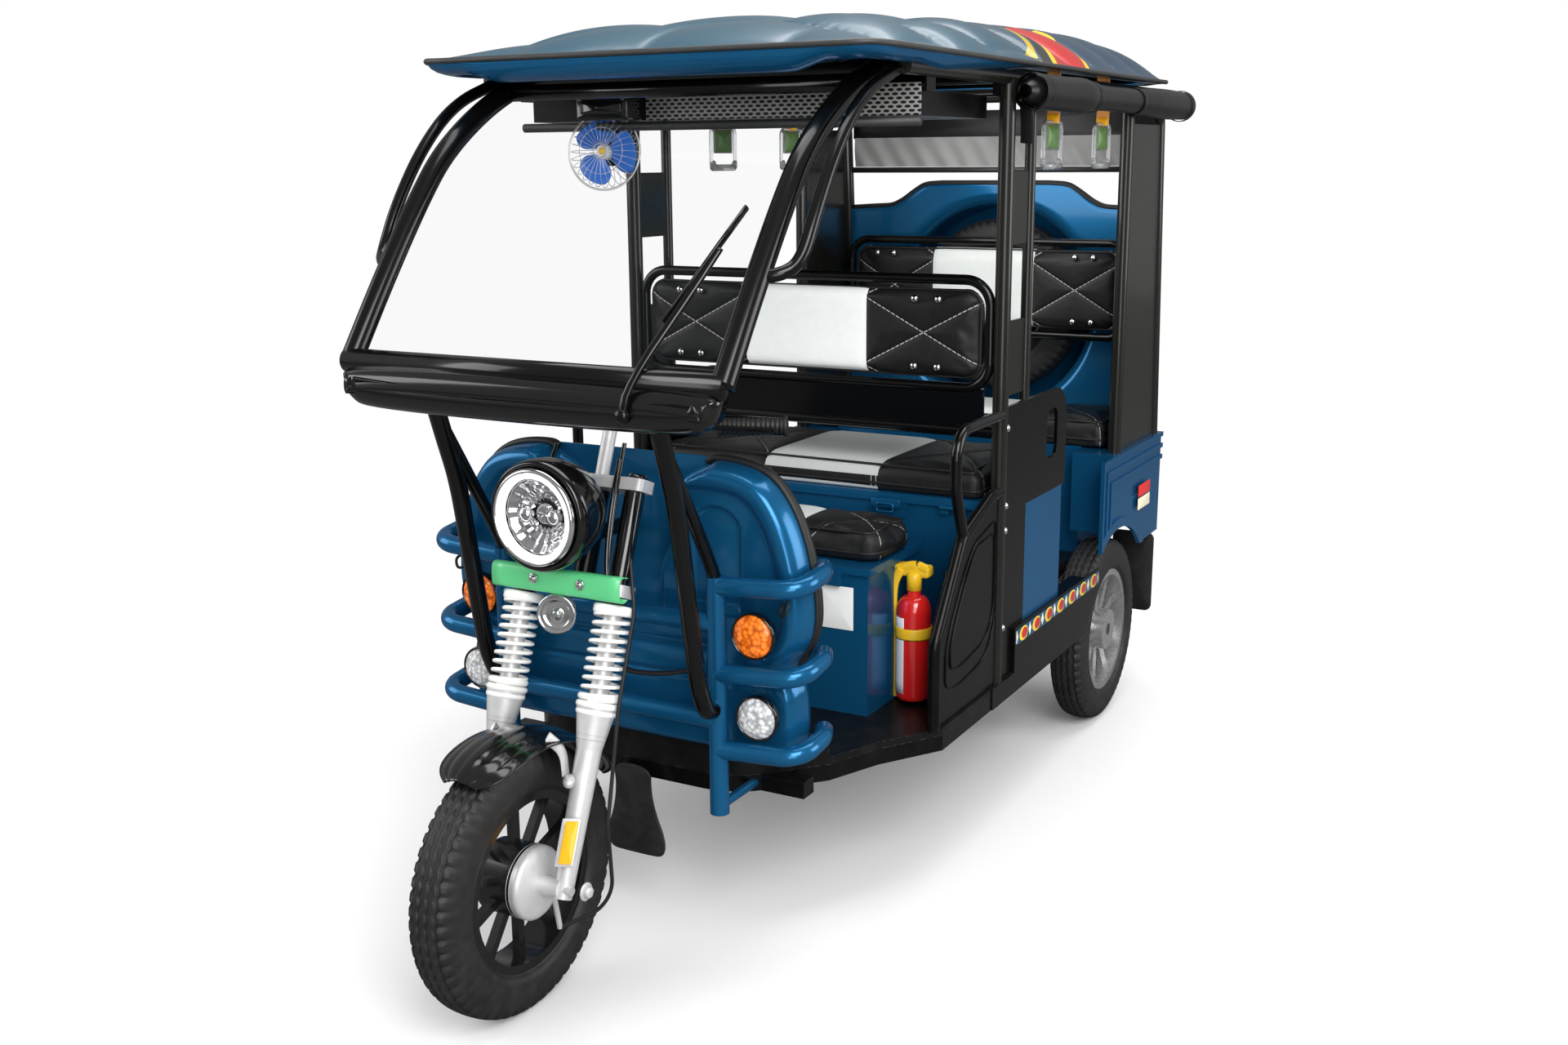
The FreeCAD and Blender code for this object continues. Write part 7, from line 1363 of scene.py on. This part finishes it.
def build_grips():
    """Each hand grip: a rounded loop with its bar, two caps and a framed insert, hung on an orange web."""
    grips, webs, cards = Shape(), Shape(), Shape()
    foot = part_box("hand_straps")[0].z + 0.054
    for side in SIDES:
        for station in (1.470, 1.830):
            place = facing(at(side * 0.4325, station, foot), -AHEAD * side, UP, (side, 0, 0))
            ring = place(np.insert(rounded_outline(0.058, 0.050, 0.016, 72), 2, 0, axis=1))
            grips.loop(ring_tube(ring, 0.0048, 10, seed=ACROSS))
            grips.wrap(tube(place(np.array([(-0.052, -0.047, 0), (0.052, -0.047, 0)])), 0.0082, 14))
            for u in (-0.052, 0.052):
                grips.wrap(dome(0.011, 0.009, place(np.array([u, -0.040, -0.004])), (side, 0, 0), 20, 16))
            frame_ring = rounded_outline(0.044, 0.030, 0.004, 40)
            card_ring = rounded_outline(0.038, 0.026, 0.003, 40)
            grips.wrap(pad_of(frame_ring + [0, 0.018], [(0, -0.002), (0, 0.002)], place))
            cards.wrap(pad_of(card_ring + [0, 0.018], [(0, -0.0028), (0, 0.0028)], place))
            web = place(np.array([(0, 0.050, 0), (0.0, 0.085, 0.002), (0, 0.125, 0), (0, 0.170, 0.0)]))
            webs.wrap(bent(web, 0.0018, 8, flat=9.0, seed=ACROSS))
            buckle = place(np.array([(0, 0.048, 0), (0, 0.066, 0.001)]))
            webs.wrap(tube(buckle, 0.0045, 10, flat=3.2, seed=ACROSS), mark=1)
    grips.build("grip_frames", "root", "handle_plastic", "clear plastic", replaces=["hand_straps"])
    webs.build("grip_webs", "root", "handle_plastic", "strap", "tape amber")
    cards.build("grip_inserts", "root", "handle_plastic", "leaf")


def build_bottle():
    """Extinguisher: a bottle turned about its axis with a blank label, a valve with its lever, and the
    bracket with its band."""
    foot = at(0.354, 0.915, 0.352)
    top = foot + UP * 0.252
    arc = np.linspace(0, pi / 2, 8)
    profile = [(0, 0), (0, 0.030), (0.004, 0.0355), (0.012, 0.037), (0.193, 0.037)]
    profile += [(0.193 + 0.036 * np.sin(t), 0.014 + 0.023 * np.cos(t)) for t in arc]
    profile += [(0.252, 0.0135), (0.252, 0)]
    bottle = Shape().wrap(turned(profile, foot, UP, 64))
    bottle.build("bottle_body", "root", "red_enamel", "red", replaces=["fire_extinguisher"])
    turn, lift = np.meshgrid(np.radians(np.linspace(-150, -100, 14)), np.linspace(0.018, 0.185, 8),
                             indexing="ij")
    label = foot + np.stack([0.0374 * np.cos(turn), 0.0374 * np.sin(turn), lift], -1)
    card = Shape().grid(label).build("bottle_label", "root", "red_enamel", "card", outward=False)
    walled(card, 0.3 * MM)
    yellow = Shape()
    yellow.wrap(plate(0.044, 0.013, 0.008, 40, slab_levels(0.030, 0.005),
                      facing(top + np.array([-0.010, -0.004, 0.028]), ACROSS, UP, -AHEAD)))
    lever = top + np.array([(0.030, 0, 0.034), (0, 0, 0.044), (-0.052, 0, 0.020)])
    yellow.wrap(bent(lever, 0.0055, 10, flat=2.0, seed=ACROSS))
    back = [top + [-0.030, -0.004, 0.030], top + [-0.050, -0.006, -0.010], foot + [-0.0435, 0, 0.12],
            foot + [-0.0425, 0, -0.002]]
    yellow.wrap(bent(back, 0.0045, 10, flat=2.4, seed=ACROSS))
    band = circle(foot + UP * 0.150, 0.0388, ACROSS, -AHEAD, 60)
    yellow.loop(ring_tube(band, 0.0014, 8, flat=9.0, seed=UP))
    yellow.wrap(turned([(-0.012, 0), (-0.012, 0.016), (0.020, 0.016), (0.026, 0.012), (0.026, 0)], top, UP,
                       24))
    yellow.build("bottle_bracket", "root", "red_enamel", "yellow")


def build_side():
    """Pressed loops on the leg boards as flat ring tubes, the painted border on the steps and reflecting
    tape, on both sides; the card and the hasps on the boxes."""
    loops, border, tape = Shape(), Shape(), Shape()
    for inset, low in ((0.045, 0.400), (0.070, 0.440)):
        line = [(0.767 + inset, low), (0.767 + inset, 0.515), (0.905 + inset * 0.75, 0.700 - inset * 0.2),
                (1.060, 0.765 - inset), (1.095 - inset * 0.3, 0.765 - inset),
                (1.095 - inset * 0.3, low + 0.03)]
        line = resampled(softened(line, 3, share=0.2, closed=True), 160, closed=True)
        loops.loop(ring_tube(line_at(np.insert(line, 0, 0.4706, axis=1)), 0.0012, 8, flat=2.4, seed=ACROSS))
    border.wrap(plate(0.296, 0.0175, 0.004, 40, slab_levels(0.0016, 0.0004),
                      facing(at(0.4803, 1.493, 0.4265), -AHEAD, UP, ACROSS)))
    for z, mark in ((0.594, 0), (0.558, 1)):
        tape.wrap(plate(0.055, 0.016, 0.002, 24, slab_levels(0.001, 0.0003),
                        facing(at(0.4885, 2.150, z), -AHEAD, UP, ACROSS)), mark=mark)
    loops.mirrored().build("leg_pressings", "root", "black_board", "board")
    border.mirrored().build("step_border", "root", "blue_paint", "border")
    tape.mirrored().build("side_tape", "root", "red_lens", "tape red", "cream")
    card = Shape().wrap(plate(0.040, 0.046, 0.002, 32, slab_levels(0.0012, 0.0003),
                              facing(at(0.238, 0.7795, 0.573))))
    card.build("box_card", "root", "blue_paint", "card")
    hasps = Shape()
    for x, station, z in ((0.230, 0.7795, 0.650), (0.212, 1.073, 0.735)):
        hasps.wrap(plate(0.036, 0.010, 0.008, 40, slab_levels(0.003, 0.0008), facing(at(x, station, z))))
        ring = np.insert(rounded_outline(0.020, 0.009, 0.006, 40), 1, 0, axis=1)
        ring += at(x, station - 0.005, z - 0.010)
        hasps.loop(ring_tube(ring, 0.0024, 8, seed=AHEAD))
    hasps.wrap(plate(0.430, 0.011, 0.004, 40, slab_levels(0.006, 0.002), facing(at(0, 1.492, 0.797))))
    hasps.wrap(plate(0.027, 0.006, 0.005, 32, slab_levels(0.001, 0.0003), facing(at(0.135, 1.4855, 0.797))),
               mark=1)
    hasps.build("hasps", "root", "blue_paint", "blue", "card")


# Bent tubes of each side of the cab's front: points, radius, facets, rounds and share of cutting, seed
SCREEN_TUBES = (
    (((0.390, 0.086, 1.130), (0.390, 0.160, 1.237), (0.390, 0.235, 1.339), (0.390, 0.297, 1.418),
      (0.390, 0.359, 1.488), (0.390, 0.455, 1.557), (0.390, 0.560, 1.611), (0.390, 0.640, 1.636)),
     0.0205, 20, 3, 0.25, ACROSS),
    (((0.389, 0.203, 1.294), (0.425, 0.216, 1.297), (0.446, 0.246, 1.316), (0.449, 0.290, 1.395),
      (0.448, 0.370, 1.503), (0.447, 0.470, 1.588), (0.446, 0.600, 1.632)), 0.0115, 14, 3, 0.25, AHEAD),
)
CAGE_TUBES = (
    (((0.2385, 0.110, 1.112), (0.2385, 0.145, 1.005), (0.2385, 0.180, 0.905), (0.2385, 0.206, 0.750),
      (0.2385, 0.236, 0.570), (0.2385, 0.262, 0.512), (0.2385, 0.286, 0.505)), 0.0165, 16, 3, 0.2, ACROSS),
    (((0.237, 0.146, 1.010), (0.237, 0.300, 0.762), (0.237, 0.302, 0.736)), 0.0125, 14, 2, 0.25, ACROSS),
)


def build_flaps():
    """Rounded sheets behind the wheels, and a waisted one in the middle that leans back below its top."""
    flaps = Shape()
    for side in SIDES:
        flaps.wrap(plate(0.060, 0.116, 0.020, 48, slab_levels(0.006, 0.002),
                         facing(at(side * 0.420, 2.303, 0.318), out_axis=-AHEAD)))
    half = [(0.044, 0.328), (0.040, 0.275), (0.050, 0.225), (0.064, 0.190), (0.068, 0.160), (0.060, 0.140),
            (0.040, 0.137)]
    ring = np.array(half + [(-x, z) for x, z in half[::-1]])
    ring = resampled(softened(ring, 3, closed=True), 90, closed=True)
    flap = pad_of(ring, slab_levels(0.006, 0.002), facing(at(0, 0.372, 0)))
    flap[..., 1] += 0.05 * np.clip(0.330 - flap[..., 2], 0, 1)
    flaps.wrap(flap)
    flaps.build("mud_flap_sheets", "root", "black_rubber", "rubber", replaces=["mud_flaps"])


def build_frames():
    """Smooth tubes P(t, s) = path(t) + r (cos s, sin s) of the windscreen and the lamp's cage, the wiper."""
    screen, cage, wiper = Shape(), Shape(), Shape()
    screen.wrap(tube(line_at([(-0.398, 0.086, 1.130), (0.398, 0.086, 1.130)]), 0.022, 24, seed=UP))
    screen.wrap(tube(line_at([(-0.389, 0.560, 1.609), (0.389, 0.560, 1.609)]), 0.016, 20, seed=UP))
    for side in SIDES:
        for shape, tubes in ((screen, SCREEN_TUBES), (cage, CAGE_TUBES)):
            for points, radius, facets, rounds, share, seed in tubes:
                shape.wrap(bent(line_at(points, side), radius, facets, rounds, share, seed=seed))
    screen.build("screen_tubes", "root", "black_tube", "tube", replaces=["windscreen_frame"])
    cage.build("cage_tubes", "root", "black_tube", "tube", replaces=["front_cage"])
    foot = at(0.228, 0.047, 1.078)
    wiper.wrap(turned([(-0.004, 0), (-0.004, 0.013), (0.010, 0.012), (0.014, 0.007), (0.014, 0)], foot,
                      AHEAD, 24))
    arm = [foot + AHEAD * 0.006, at(0.238, 0.046, 1.130), at(0.296, 0.148, 1.270), at(0.322, 0.196, 1.338)]
    wiper.wrap(bent(arm, 0.0052, 12, 2, flat=1.5, seed=ACROSS))
    blade = line_at([(0.262, 0.118, 1.222), (0.318, 0.198, 1.340), (0.345, 0.246, 1.402)])
    wiper.wrap(tube(blade, 0.0042, 10, flat=2.0, seed=AHEAD))
    wiper.build("wiper_arm", "root", "black_rubber", "tube", replaces=["wiper"])


def build_horn():
    """The horn's stepped rings, turned about its axis."""
    aim = np.array([0.30, -0.94, 0.05])
    aim = aim / np.linalg.norm(aim)
    low, high = (np.array(end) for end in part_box("horn"))
    centre = (low + high) / 2 + aim * 0.012 - ACROSS * 0.024
    rings = [(-0.050, 0), (-0.050, 0.020), (-0.030, 0.040), (-0.012, 0.046), (0.0, 0.046), (0.004, 0.044),
             (0.004, 0.041), (-0.002, 0.036), (0.0, 0.034), (-0.002, 0.031), (-0.006, 0.026),
             (-0.004, 0.022), (-0.008, 0.017), (-0.006, 0.012), (0.004, 0.0095), (0.006, 0.006), (0.0065, 0)]
    horn = Shape().wrap(turned(np.array(rings) * 0.8, centre, aim, 56))
    horn.build("horn_disc", "steering", "silver_alloy", "chrome", replaces=["horn"])


def build_plate():
    """The plate as one sheet, its section folded back above and below, held by two bolts."""
    fold = softened([(0.172, 0.7675), (0.158, 0.7715), (0.1475, 0.7690), (0.1445, 0.755), (0.1450, 0.735),
                     (0.1480, 0.7275), (0.158, 0.7255), (0.168, 0.729)], 3)
    x = np.linspace(-0.140, 0.140, 12)
    rows = np.stack(np.broadcast_arrays(x[None], AXLE_Y + fold[:, :1], fold[:, 1:]), -1)
    sheet = Shape().grid(rows).build("plate_sheet", "steering", "plate_green", "green",
                                     replaces=["number_plate"], outward=False)
    walled(sheet, 1.5 * MM, 0)
    nuts = Shape()
    for x in (-0.045, 0.057):
        bolt(nuts, at(x, 0.1430, 0.752), AHEAD, 0.0062)
    nuts.build("plate_nuts", "steering", "silver_alloy", "chrome")


def build_hooks():
    """Bent hooks beside the signals and the strap below the nose's slot."""
    hooks = Shape()
    for side in SIDES:
        line = [(0, 0.003, 0), (side * 0.010, -0.014, -0.004), (side * 0.006, -0.016, -0.026),
                (-side * 0.010, -0.012, -0.022), (-side * 0.008, 0.003, -0.010)]
        hooks.wrap(bent(at(side * 0.366, 0.334, 0.716) + np.array(line), 0.0028, 10))
    strap = line_at([(0.028, 0.300, 0.552), (0.06, 0.300, 0.545), (0.130, 0.318, 0.548),
                     (0.170, 0.332, 0.560)])
    hooks.wrap(bent(strap, 0.0045, 10, flat=1.6, seed=AHEAD))
    hooks.build("nose_hooks", "root", "black_rubber", "rubber")


def build_hand_grips():
    """Ribbed rubber on both ends of the handlebar: radius R + a sign(sin(90 t)) between two collars."""
    grips = Shape()
    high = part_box("handlebar")[1]
    share = np.linspace(0, 1, 60)
    ribs = 0.0155 + 0.0010 * np.sign(np.sin(share * 90))
    ribs[[0, -3, -2, -1]] = 0.019
    for side in SIDES:
        end = np.array([side * (high.x + 0.002), high.y - 0.014, high.z - 0.014])
        start = end + np.array([-side * 0.115, -0.045, -0.004])
        reach = np.linalg.norm(end - start)
        profile = [(0, 0), *zip(share * reach, ribs), (reach, 0)]
        grips.wrap(turned(profile, start, end - start, 28))
    grips.build("bar_grips", "steering", "black_rubber", "rubber")


# Roof
ROOF_FRONT, ROOF_REAR, ROOF_HALF, ROOF_RIM = 0.412, 2.200, 0.500, 1.667
ROOF_LINE = ((0.412, 0.0), (0.52, 0.042), (0.65, 0.074), (0.83, 0.091), (1.10, 0.107), (1.40, 0.114),
             (1.80, 0.126), (2.05, 0.122), (2.15, 0.088), (2.20, 0.0))


def roof_height(x, station):
    """Crowned sheet rim + line(station) (1 - (2 |x| / width)^4.2), cut between puffed scales
    A sin(pi p) sin(pi c) whose rows bow backwards towards the sides, and behind them between cross puffs
    B |sin(pi p)|. Both fade out at the margin."""
    line = softened(ROOF_LINE, 3, share=0.2)
    reach = np.abs(x) / ROOF_HALF
    base = np.interp(station, line[:, 0], line[:, 1]) * (1 - reach ** 4.2)
    row = (station - ROOF_FRONT - 0.06 + 0.15 * reach ** 1.5) / 0.23
    along = row - np.floor(row)
    across = x / 0.30 + 0.5 * (np.floor(row) % 2)
    across = across - np.floor(across)
    scale = np.clip(np.sin(pi * along ** 0.8), 0, 1) ** 0.55
    scale = scale * (0.25 + 0.75 * np.clip(np.sin(pi * across), 0, 1) ** 0.45)
    puff = np.abs(np.sin(pi * (station - 1.30 + 0.05 * reach ** 2) / 0.178)) ** 0.55
    late = np.clip((station - 1.28) / 0.10, 0, 1)
    inside = np.minimum.reduce([station - ROOF_FRONT, ROOF_REAR - station, ROOF_HALF - np.abs(x)])
    relief = (scale - 0.95) * (1 - late) * 0.024 + (puff - 1) * late * (0.016 + 0.014 * reach ** 2)
    return ROOF_RIM + base + relief * np.clip(inside / 0.045, 0, 1)


def roof_surface():
    """The cover's points: a rectangle with round corners, its columns closer towards the sides."""
    station = np.linspace(ROOF_FRONT, ROOF_REAR, 190)
    corner = 0.070
    into = np.minimum(station - ROOF_FRONT, ROOF_REAR - station)
    cut = np.clip(corner - into, 0, corner)
    width = ROOF_HALF - corner + np.sqrt(np.clip(corner ** 2 - cut ** 2, 0, None))
    across = np.linspace(-1, 1, 91)
    x = width[:, None] * (0.6 * across + 0.4 * np.sin(across * pi / 2))
    rows = np.broadcast_to(station[:, None], x.shape)
    return np.stack([x, AXLE_Y + rows, roof_height(x, rows)], -1)


def build_roof():
    """The cover, the lip as a ring tube along its edge, and the band below, edge + a(s) out + b(s) down."""
    top = roof_surface()
    cover = Shape().grid(top).build("roof_cover", "root", "blue_paint", "roof blue", "board",
                                    replaces=["roof_shell"])
    if cover.data.polygons[0].normal.z < 0:
        cover.data.flip_normals()
    walled(cover, 4 * MM).material_offset = 1
    loop = np.concatenate([top[0], top[1:-1, -1], top[-1, ::-1], top[-2:0:-1, 0]])
    loop = resampled(loop, 360, closed=True)
    lip = Shape().loop(ring_tube(loop - [0, 0, 0.001], 0.0055, 10, seed=UP))
    lip.build("roof_lip", "root", "black_board", "steel")
    away = (loop - at(0, (ROOF_FRONT + ROOF_REAR) / 2, 0)) * [1, 1, 0]
    away /= np.linalg.norm(away, axis=1)[:, None]
    back = loop[:, 1] - AXLE_Y - ROOF_FRONT
    taper = np.clip(1.1 - back / 0.85, 0.12, 0.95)
    taper = taper * np.clip((ROOF_HALF - np.abs(loop[:, 0])) / 0.16 + back / 0.30, 0.6, 1)
    section_line = [(0.0, -0.002), (-0.002, -0.012), (-0.008, -0.024), (-0.020, -0.035), (-0.036, -0.042),
                    (-0.050, -0.045), (-0.060, -0.044), (-0.060, -0.006)]
    band = np.stack([loop + away * out + np.outer(taper, UP) * down for out, down in section_line], 1)
    Shape().loop(band).build("roof_band", "root", "blue_paint", "blue")


# Stage
def build_stage(stage):
    """A pale floor that fades into a white surround, large soft lamps and the camera of the photograph."""
    f = Finish("Pale floor")
    rays = f.add("ShaderNodeLightPath")
    reach = f.add("ShaderNodeVectorMath", {0: f.position(), 1: tuple(at(0, 0.9, 0))}, operation="DISTANCE")
    fade = f.add("ShaderNodeMapRange", {"Value": reach.outputs["Value"], "From Min": 1.5, "From Max": 3.4},
                 interpolation_type="SMOOTHSTEP")
    seen = f.times(rays.outputs["Is Camera Ray"], fade.outputs[0])
    tone = f.mix(rays.outputs["Is Glossy Ray"], grey(0.5), grey(0.14))
    tone = f.mix(rays.outputs["Is Camera Ray"], tone, grey(0.80))
    f.set(Base_Color=tone, Roughness=0.7, Specular_IOR_Level=0.1, Alpha=f.minus(1.0, seen))
    mesh = bpy.data.meshes.new("studio_floor")
    mesh.from_pydata([(-14, -14, 0), (14, -14, 0), (14, 14, 0), (-14, 14, 0)], [], [(0, 1, 2, 3)])
    mesh.materials.append(f.material)
    floor = bpy.data.objects.new("studio_floor", mesh)
    bpy.context.scene.collection.objects.link(floor)

    world = bpy.data.worlds.new("studio")
    bpy.context.scene.world = world
    world.use_nodes = True
    nodes, links = world.node_tree.nodes, world.node_tree.links
    back = nodes["Background"]
    path_node = nodes.new("ShaderNodeLightPath")
    level = stage.sky_strength
    for ray, strength in (("Is Glossy Ray", stage.gloss_strength), ("Is Transmission Ray", 1.0),
                          ("Is Camera Ray", 1.0)):
        mix = nodes.new("ShaderNodeMix")
        mix.inputs[3].default_value = strength
        if isinstance(level, float):
            mix.inputs[2].default_value = level
        else:
            links.new(level, mix.inputs[2])
        links.new(path_node.outputs[ray], mix.inputs[0])
        level = mix.outputs[0]
    links.new(level, back.inputs["Strength"])
    back.inputs["Color"].default_value = (1, 1, 1, 1)

    middle = (0, 0.1, 0.8)
    for name, place, aim, size, power in (
            ("key_lamp", (3.2, -3.4, 3.6), middle, 2.6, stage.key_power),
            ("cabin_lamp", (2.6, -3.8, 1.25), middle, 1.8, stage.key_power * 0.22),
            ("fill_lamp", (-4.0, -2.6, 2.6), middle, 2.8, stage.key_power * 0.45),
            ("top_lamp", (0.2, 0.6, 4.2), middle, 3.2, stage.key_power * 0.7),
            ("side_lamp", (4.4, 1.6, 2.0), middle, 2.4, stage.key_power * 0.45),
            ("rear_lamp", (0.0, 0.62, 1.5), (0, 1.25, 1.05), 0.5, stage.key_power * 0.016)):
        lamp = bpy.data.lights.new(name, "AREA")
        lamp.size = size
        lamp.energy = power
        holder = bpy.data.objects.new(name, lamp)
        bpy.context.scene.collection.objects.link(holder)
        holder.location = place
        holder.rotation_euler = (Vector(aim) - Vector(place)).to_track_quat("-Z", "Y").to_euler()
        holder.visible_camera = False

    bpy.context.scene.view_settings.view_transform = "Standard"
    turn, pitch, roll = radians(28.88), radians(13.03), radians(-0.38)
    right = Vector((cos(turn), sin(turn), 0))
    ahead = Vector((-sin(turn) * cos(pitch), cos(turn) * cos(pitch), -sin(pitch)))
    up = right.cross(ahead)
    right, up = right * cos(roll) + up * sin(roll), up * cos(roll) - right * sin(roll)
    lensing = bpy.data.cameras.new("photo_camera")
    lensing.sensor_width, lensing.lens = 36, stage.lens
    camera = bpy.data.objects.new("photo_camera", lensing)
    camera.matrix_world = Matrix((
        (right.x, up.x, -ahead.x, 1.652), (right.y, up.y, -ahead.y, AXLE_Y - 2.005),
        (right.z, up.z, -ahead.z, 1.476), (0, 0, 0, 1)))
    bpy.context.scene.collection.objects.link(camera)
    bpy.context.scene.camera = camera


# Add-on
class RickshawColours(PropertyGroup):
    body_blue: FloatVectorProperty(name="Body blue", description="Colour of the painted panels",
                                   subtype="COLOR", size=3, min=0, max=1, default=(0.007, 0.106, 0.245))
    pillar_olive: FloatVectorProperty(name="Pillar colour", description="Colour of the roof pillars",
                                      subtype="COLOR", size=3, min=0, max=1, default=(0.008, 0.008, 0.006))


class RickshawSizes(PropertyGroup):
    tyre_radius: FloatProperty(name="Tyre radius", description="Outer radius of every tyre", unit="LENGTH",
                               default=0.245)
    tyre_width: FloatProperty(name="Tyre width", description="Width of every tyre", unit="LENGTH",
                              default=0.094)
    spring_turns: IntProperty(name="Spring turns", description="Turns of each fork spring", default=11,
                              min=3)
    cloth_net: FloatProperty(name="Cloth net", description="Mesh size of the pads while they are blown up",
                             unit="LENGTH", default=0.0085)
    lugs: IntProperty(name="Tread pitches", description="Repeats of the tread round a tyre", default=60,
                      min=12)


class RickshawStage(PropertyGroup):
    lens: FloatProperty(name="Lens", description="Focal length of the camera", unit="CAMERA", default=35.93)
    key_power: FloatProperty(name="Key power", description="Power of the main lamp", unit="POWER",
                             default=172.0)
    gloss_strength: FloatProperty(name="Reflected surround",
                                  description="Strength of the surround in reflections", default=0.30)
    sky_strength: FloatProperty(name="Surround", description="Strength of the white surround", default=0.85)


class RICKSHAW_OT_stage(Operator):
    """Builds the floor, the lamps and the camera"""
    bl_idname = "rickshaw.stage"
    bl_label = "Stage"

    def execute(self, context):
        build_stage(context.scene.rickshaw_stage)
        return {"FINISHED"}


class RICKSHAW_OT_finishes(Operator):
    """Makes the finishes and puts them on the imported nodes"""
    bl_idname = "rickshaw.finishes"
    bl_label = "Finishes"

    def execute(self, context):
        make_finishes(context.scene.rickshaw_colours)
        dress_nodes()
        return {"FINISHED"}


class PieceOperator:
    """Runs its builders one after another"""
    builders = ()

    def execute(self, context):
        for build in self.builders:
            build()
        return {"FINISHED"}


class RICKSHAW_OT_tyres(PieceOperator, Operator):
    """Builds the treaded tyres"""
    bl_idname = "rickshaw.tyres"
    bl_label = "Tyres"
    builders = (build_tyres,)


class RICKSHAW_OT_nose(PieceOperator, Operator):
    """Builds the pressed shield and its beading"""
    bl_idname = "rickshaw.nose"
    bl_label = "Nose"
    builders = (build_nose,)


class RICKSHAW_OT_fascia(PieceOperator, Operator):
    """Builds the moulding under the screen"""
    bl_idname = "rickshaw.fascia"
    bl_label = "Fascia"
    builders = (build_fascia,)


class RICKSHAW_OT_springs(PieceOperator, Operator):
    """Builds the fork springs and their collars"""
    bl_idname = "rickshaw.springs"
    bl_label = "Springs"
    builders = (build_springs,)


class RICKSHAW_OT_headlamp(PieceOperator, Operator):
    """Builds the headlamp"""
    bl_idname = "rickshaw.headlamp"
    bl_label = "Headlamp"
    builders = (build_headlamp,)


class RICKSHAW_OT_small_lamps(PieceOperator, Operator):
    """Builds the signals, fog lamps and tail lamps"""
    bl_idname = "rickshaw.small_lamps"
    bl_label = "Small lamps"
    builders = (build_small_lamps,)


class RICKSHAW_OT_fork(PieceOperator, Operator):
    """Builds the fender and the fork's covers and trim"""
    bl_idname = "rickshaw.fork"
    bl_label = "Fork and fender"
    builders = (build_fender, build_fork)


class RICKSHAW_OT_pads(PieceOperator, Operator):
    """Blows up the seat pads and sews their seams"""
    bl_idname = "rickshaw.pads"
    bl_label = "Seat pads"
    builders = (build_pads,)


class RICKSHAW_OT_curtains(PieceOperator, Operator):
    """Rolls the curtains"""
    bl_idname = "rickshaw.curtains"
    bl_label = "Curtains"
    builders = (build_curtains,)


class RICKSHAW_OT_rear(PieceOperator, Operator):
    """Builds the rear panel, the spare tyre and the bolts"""
    bl_idname = "rickshaw.rear"
    bl_label = "Rear"
    builders = (build_panel, build_spare, build_bolts)


class RICKSHAW_OT_cab(PieceOperator, Operator):
    """Builds the fan, the tray pieces, the hand grips and the extinguisher"""
    bl_idname = "rickshaw.cab"
    bl_label = "Cab"
    builders = (build_fan, build_tray, build_grips, build_bottle)


class RICKSHAW_OT_trim(PieceOperator, Operator):
    """Builds the small trim of the sides and the front"""
    bl_idname = "rickshaw.trim"
    bl_label = "Trim"
    builders = (build_side, build_horn, build_plate, build_hooks, build_hand_grips, build_frames,
                build_flaps)


class RICKSHAW_OT_roof(PieceOperator, Operator):
    """Builds the puffed roof cover and its edge"""
    bl_idname = "rickshaw.roof"
    bl_label = "Roof"
    builders = (build_roof,)


OPERATORS = (RICKSHAW_OT_stage, RICKSHAW_OT_finishes, RICKSHAW_OT_tyres, RICKSHAW_OT_nose,
             RICKSHAW_OT_fascia, RICKSHAW_OT_springs, RICKSHAW_OT_headlamp, RICKSHAW_OT_small_lamps,
             RICKSHAW_OT_fork, RICKSHAW_OT_pads, RICKSHAW_OT_curtains, RICKSHAW_OT_rear, RICKSHAW_OT_cab,
             RICKSHAW_OT_trim, RICKSHAW_OT_roof)


class RICKSHAW_PT_panel(Panel):
    """Lists the rickshaw's pieces"""
    bl_label = "Rickshaw"
    bl_space_type = "VIEW_3D"
    bl_region_type = "UI"
    bl_category = "Rickshaw"

    def draw(self, context):
        for settings in (context.scene.rickshaw_colours, context.scene.rickshaw_sizes,
                         context.scene.rickshaw_stage):
            for key in settings.__annotations__:
                self.layout.prop(settings, key)
        for operator in OPERATORS:
            self.layout.operator(operator.bl_idname)


SETTINGS = {"rickshaw_colours": RickshawColours, "rickshaw_sizes": RickshawSizes,
            "rickshaw_stage": RickshawStage}


def register():
    for one in (*SETTINGS.values(), *OPERATORS, RICKSHAW_PT_panel):
        bpy.utils.register_class(one)
    for key, group in SETTINGS.items():
        setattr(bpy.types.Scene, key, PointerProperty(type=group))


def unregister():
    for key in SETTINGS:
        delattr(bpy.types.Scene, key)
    for one in reversed((*SETTINGS.values(), *OPERATORS, RICKSHAW_PT_panel)):
        bpy.utils.unregister_class(one)


def main():
    """Registers the add-on and runs its operators in order."""
    register()
    for operator in OPERATORS:
        group, action = operator.bl_idname.split(".")
        getattr(getattr(bpy.ops, group), action)()


if __name__ == "__main__":
    main()
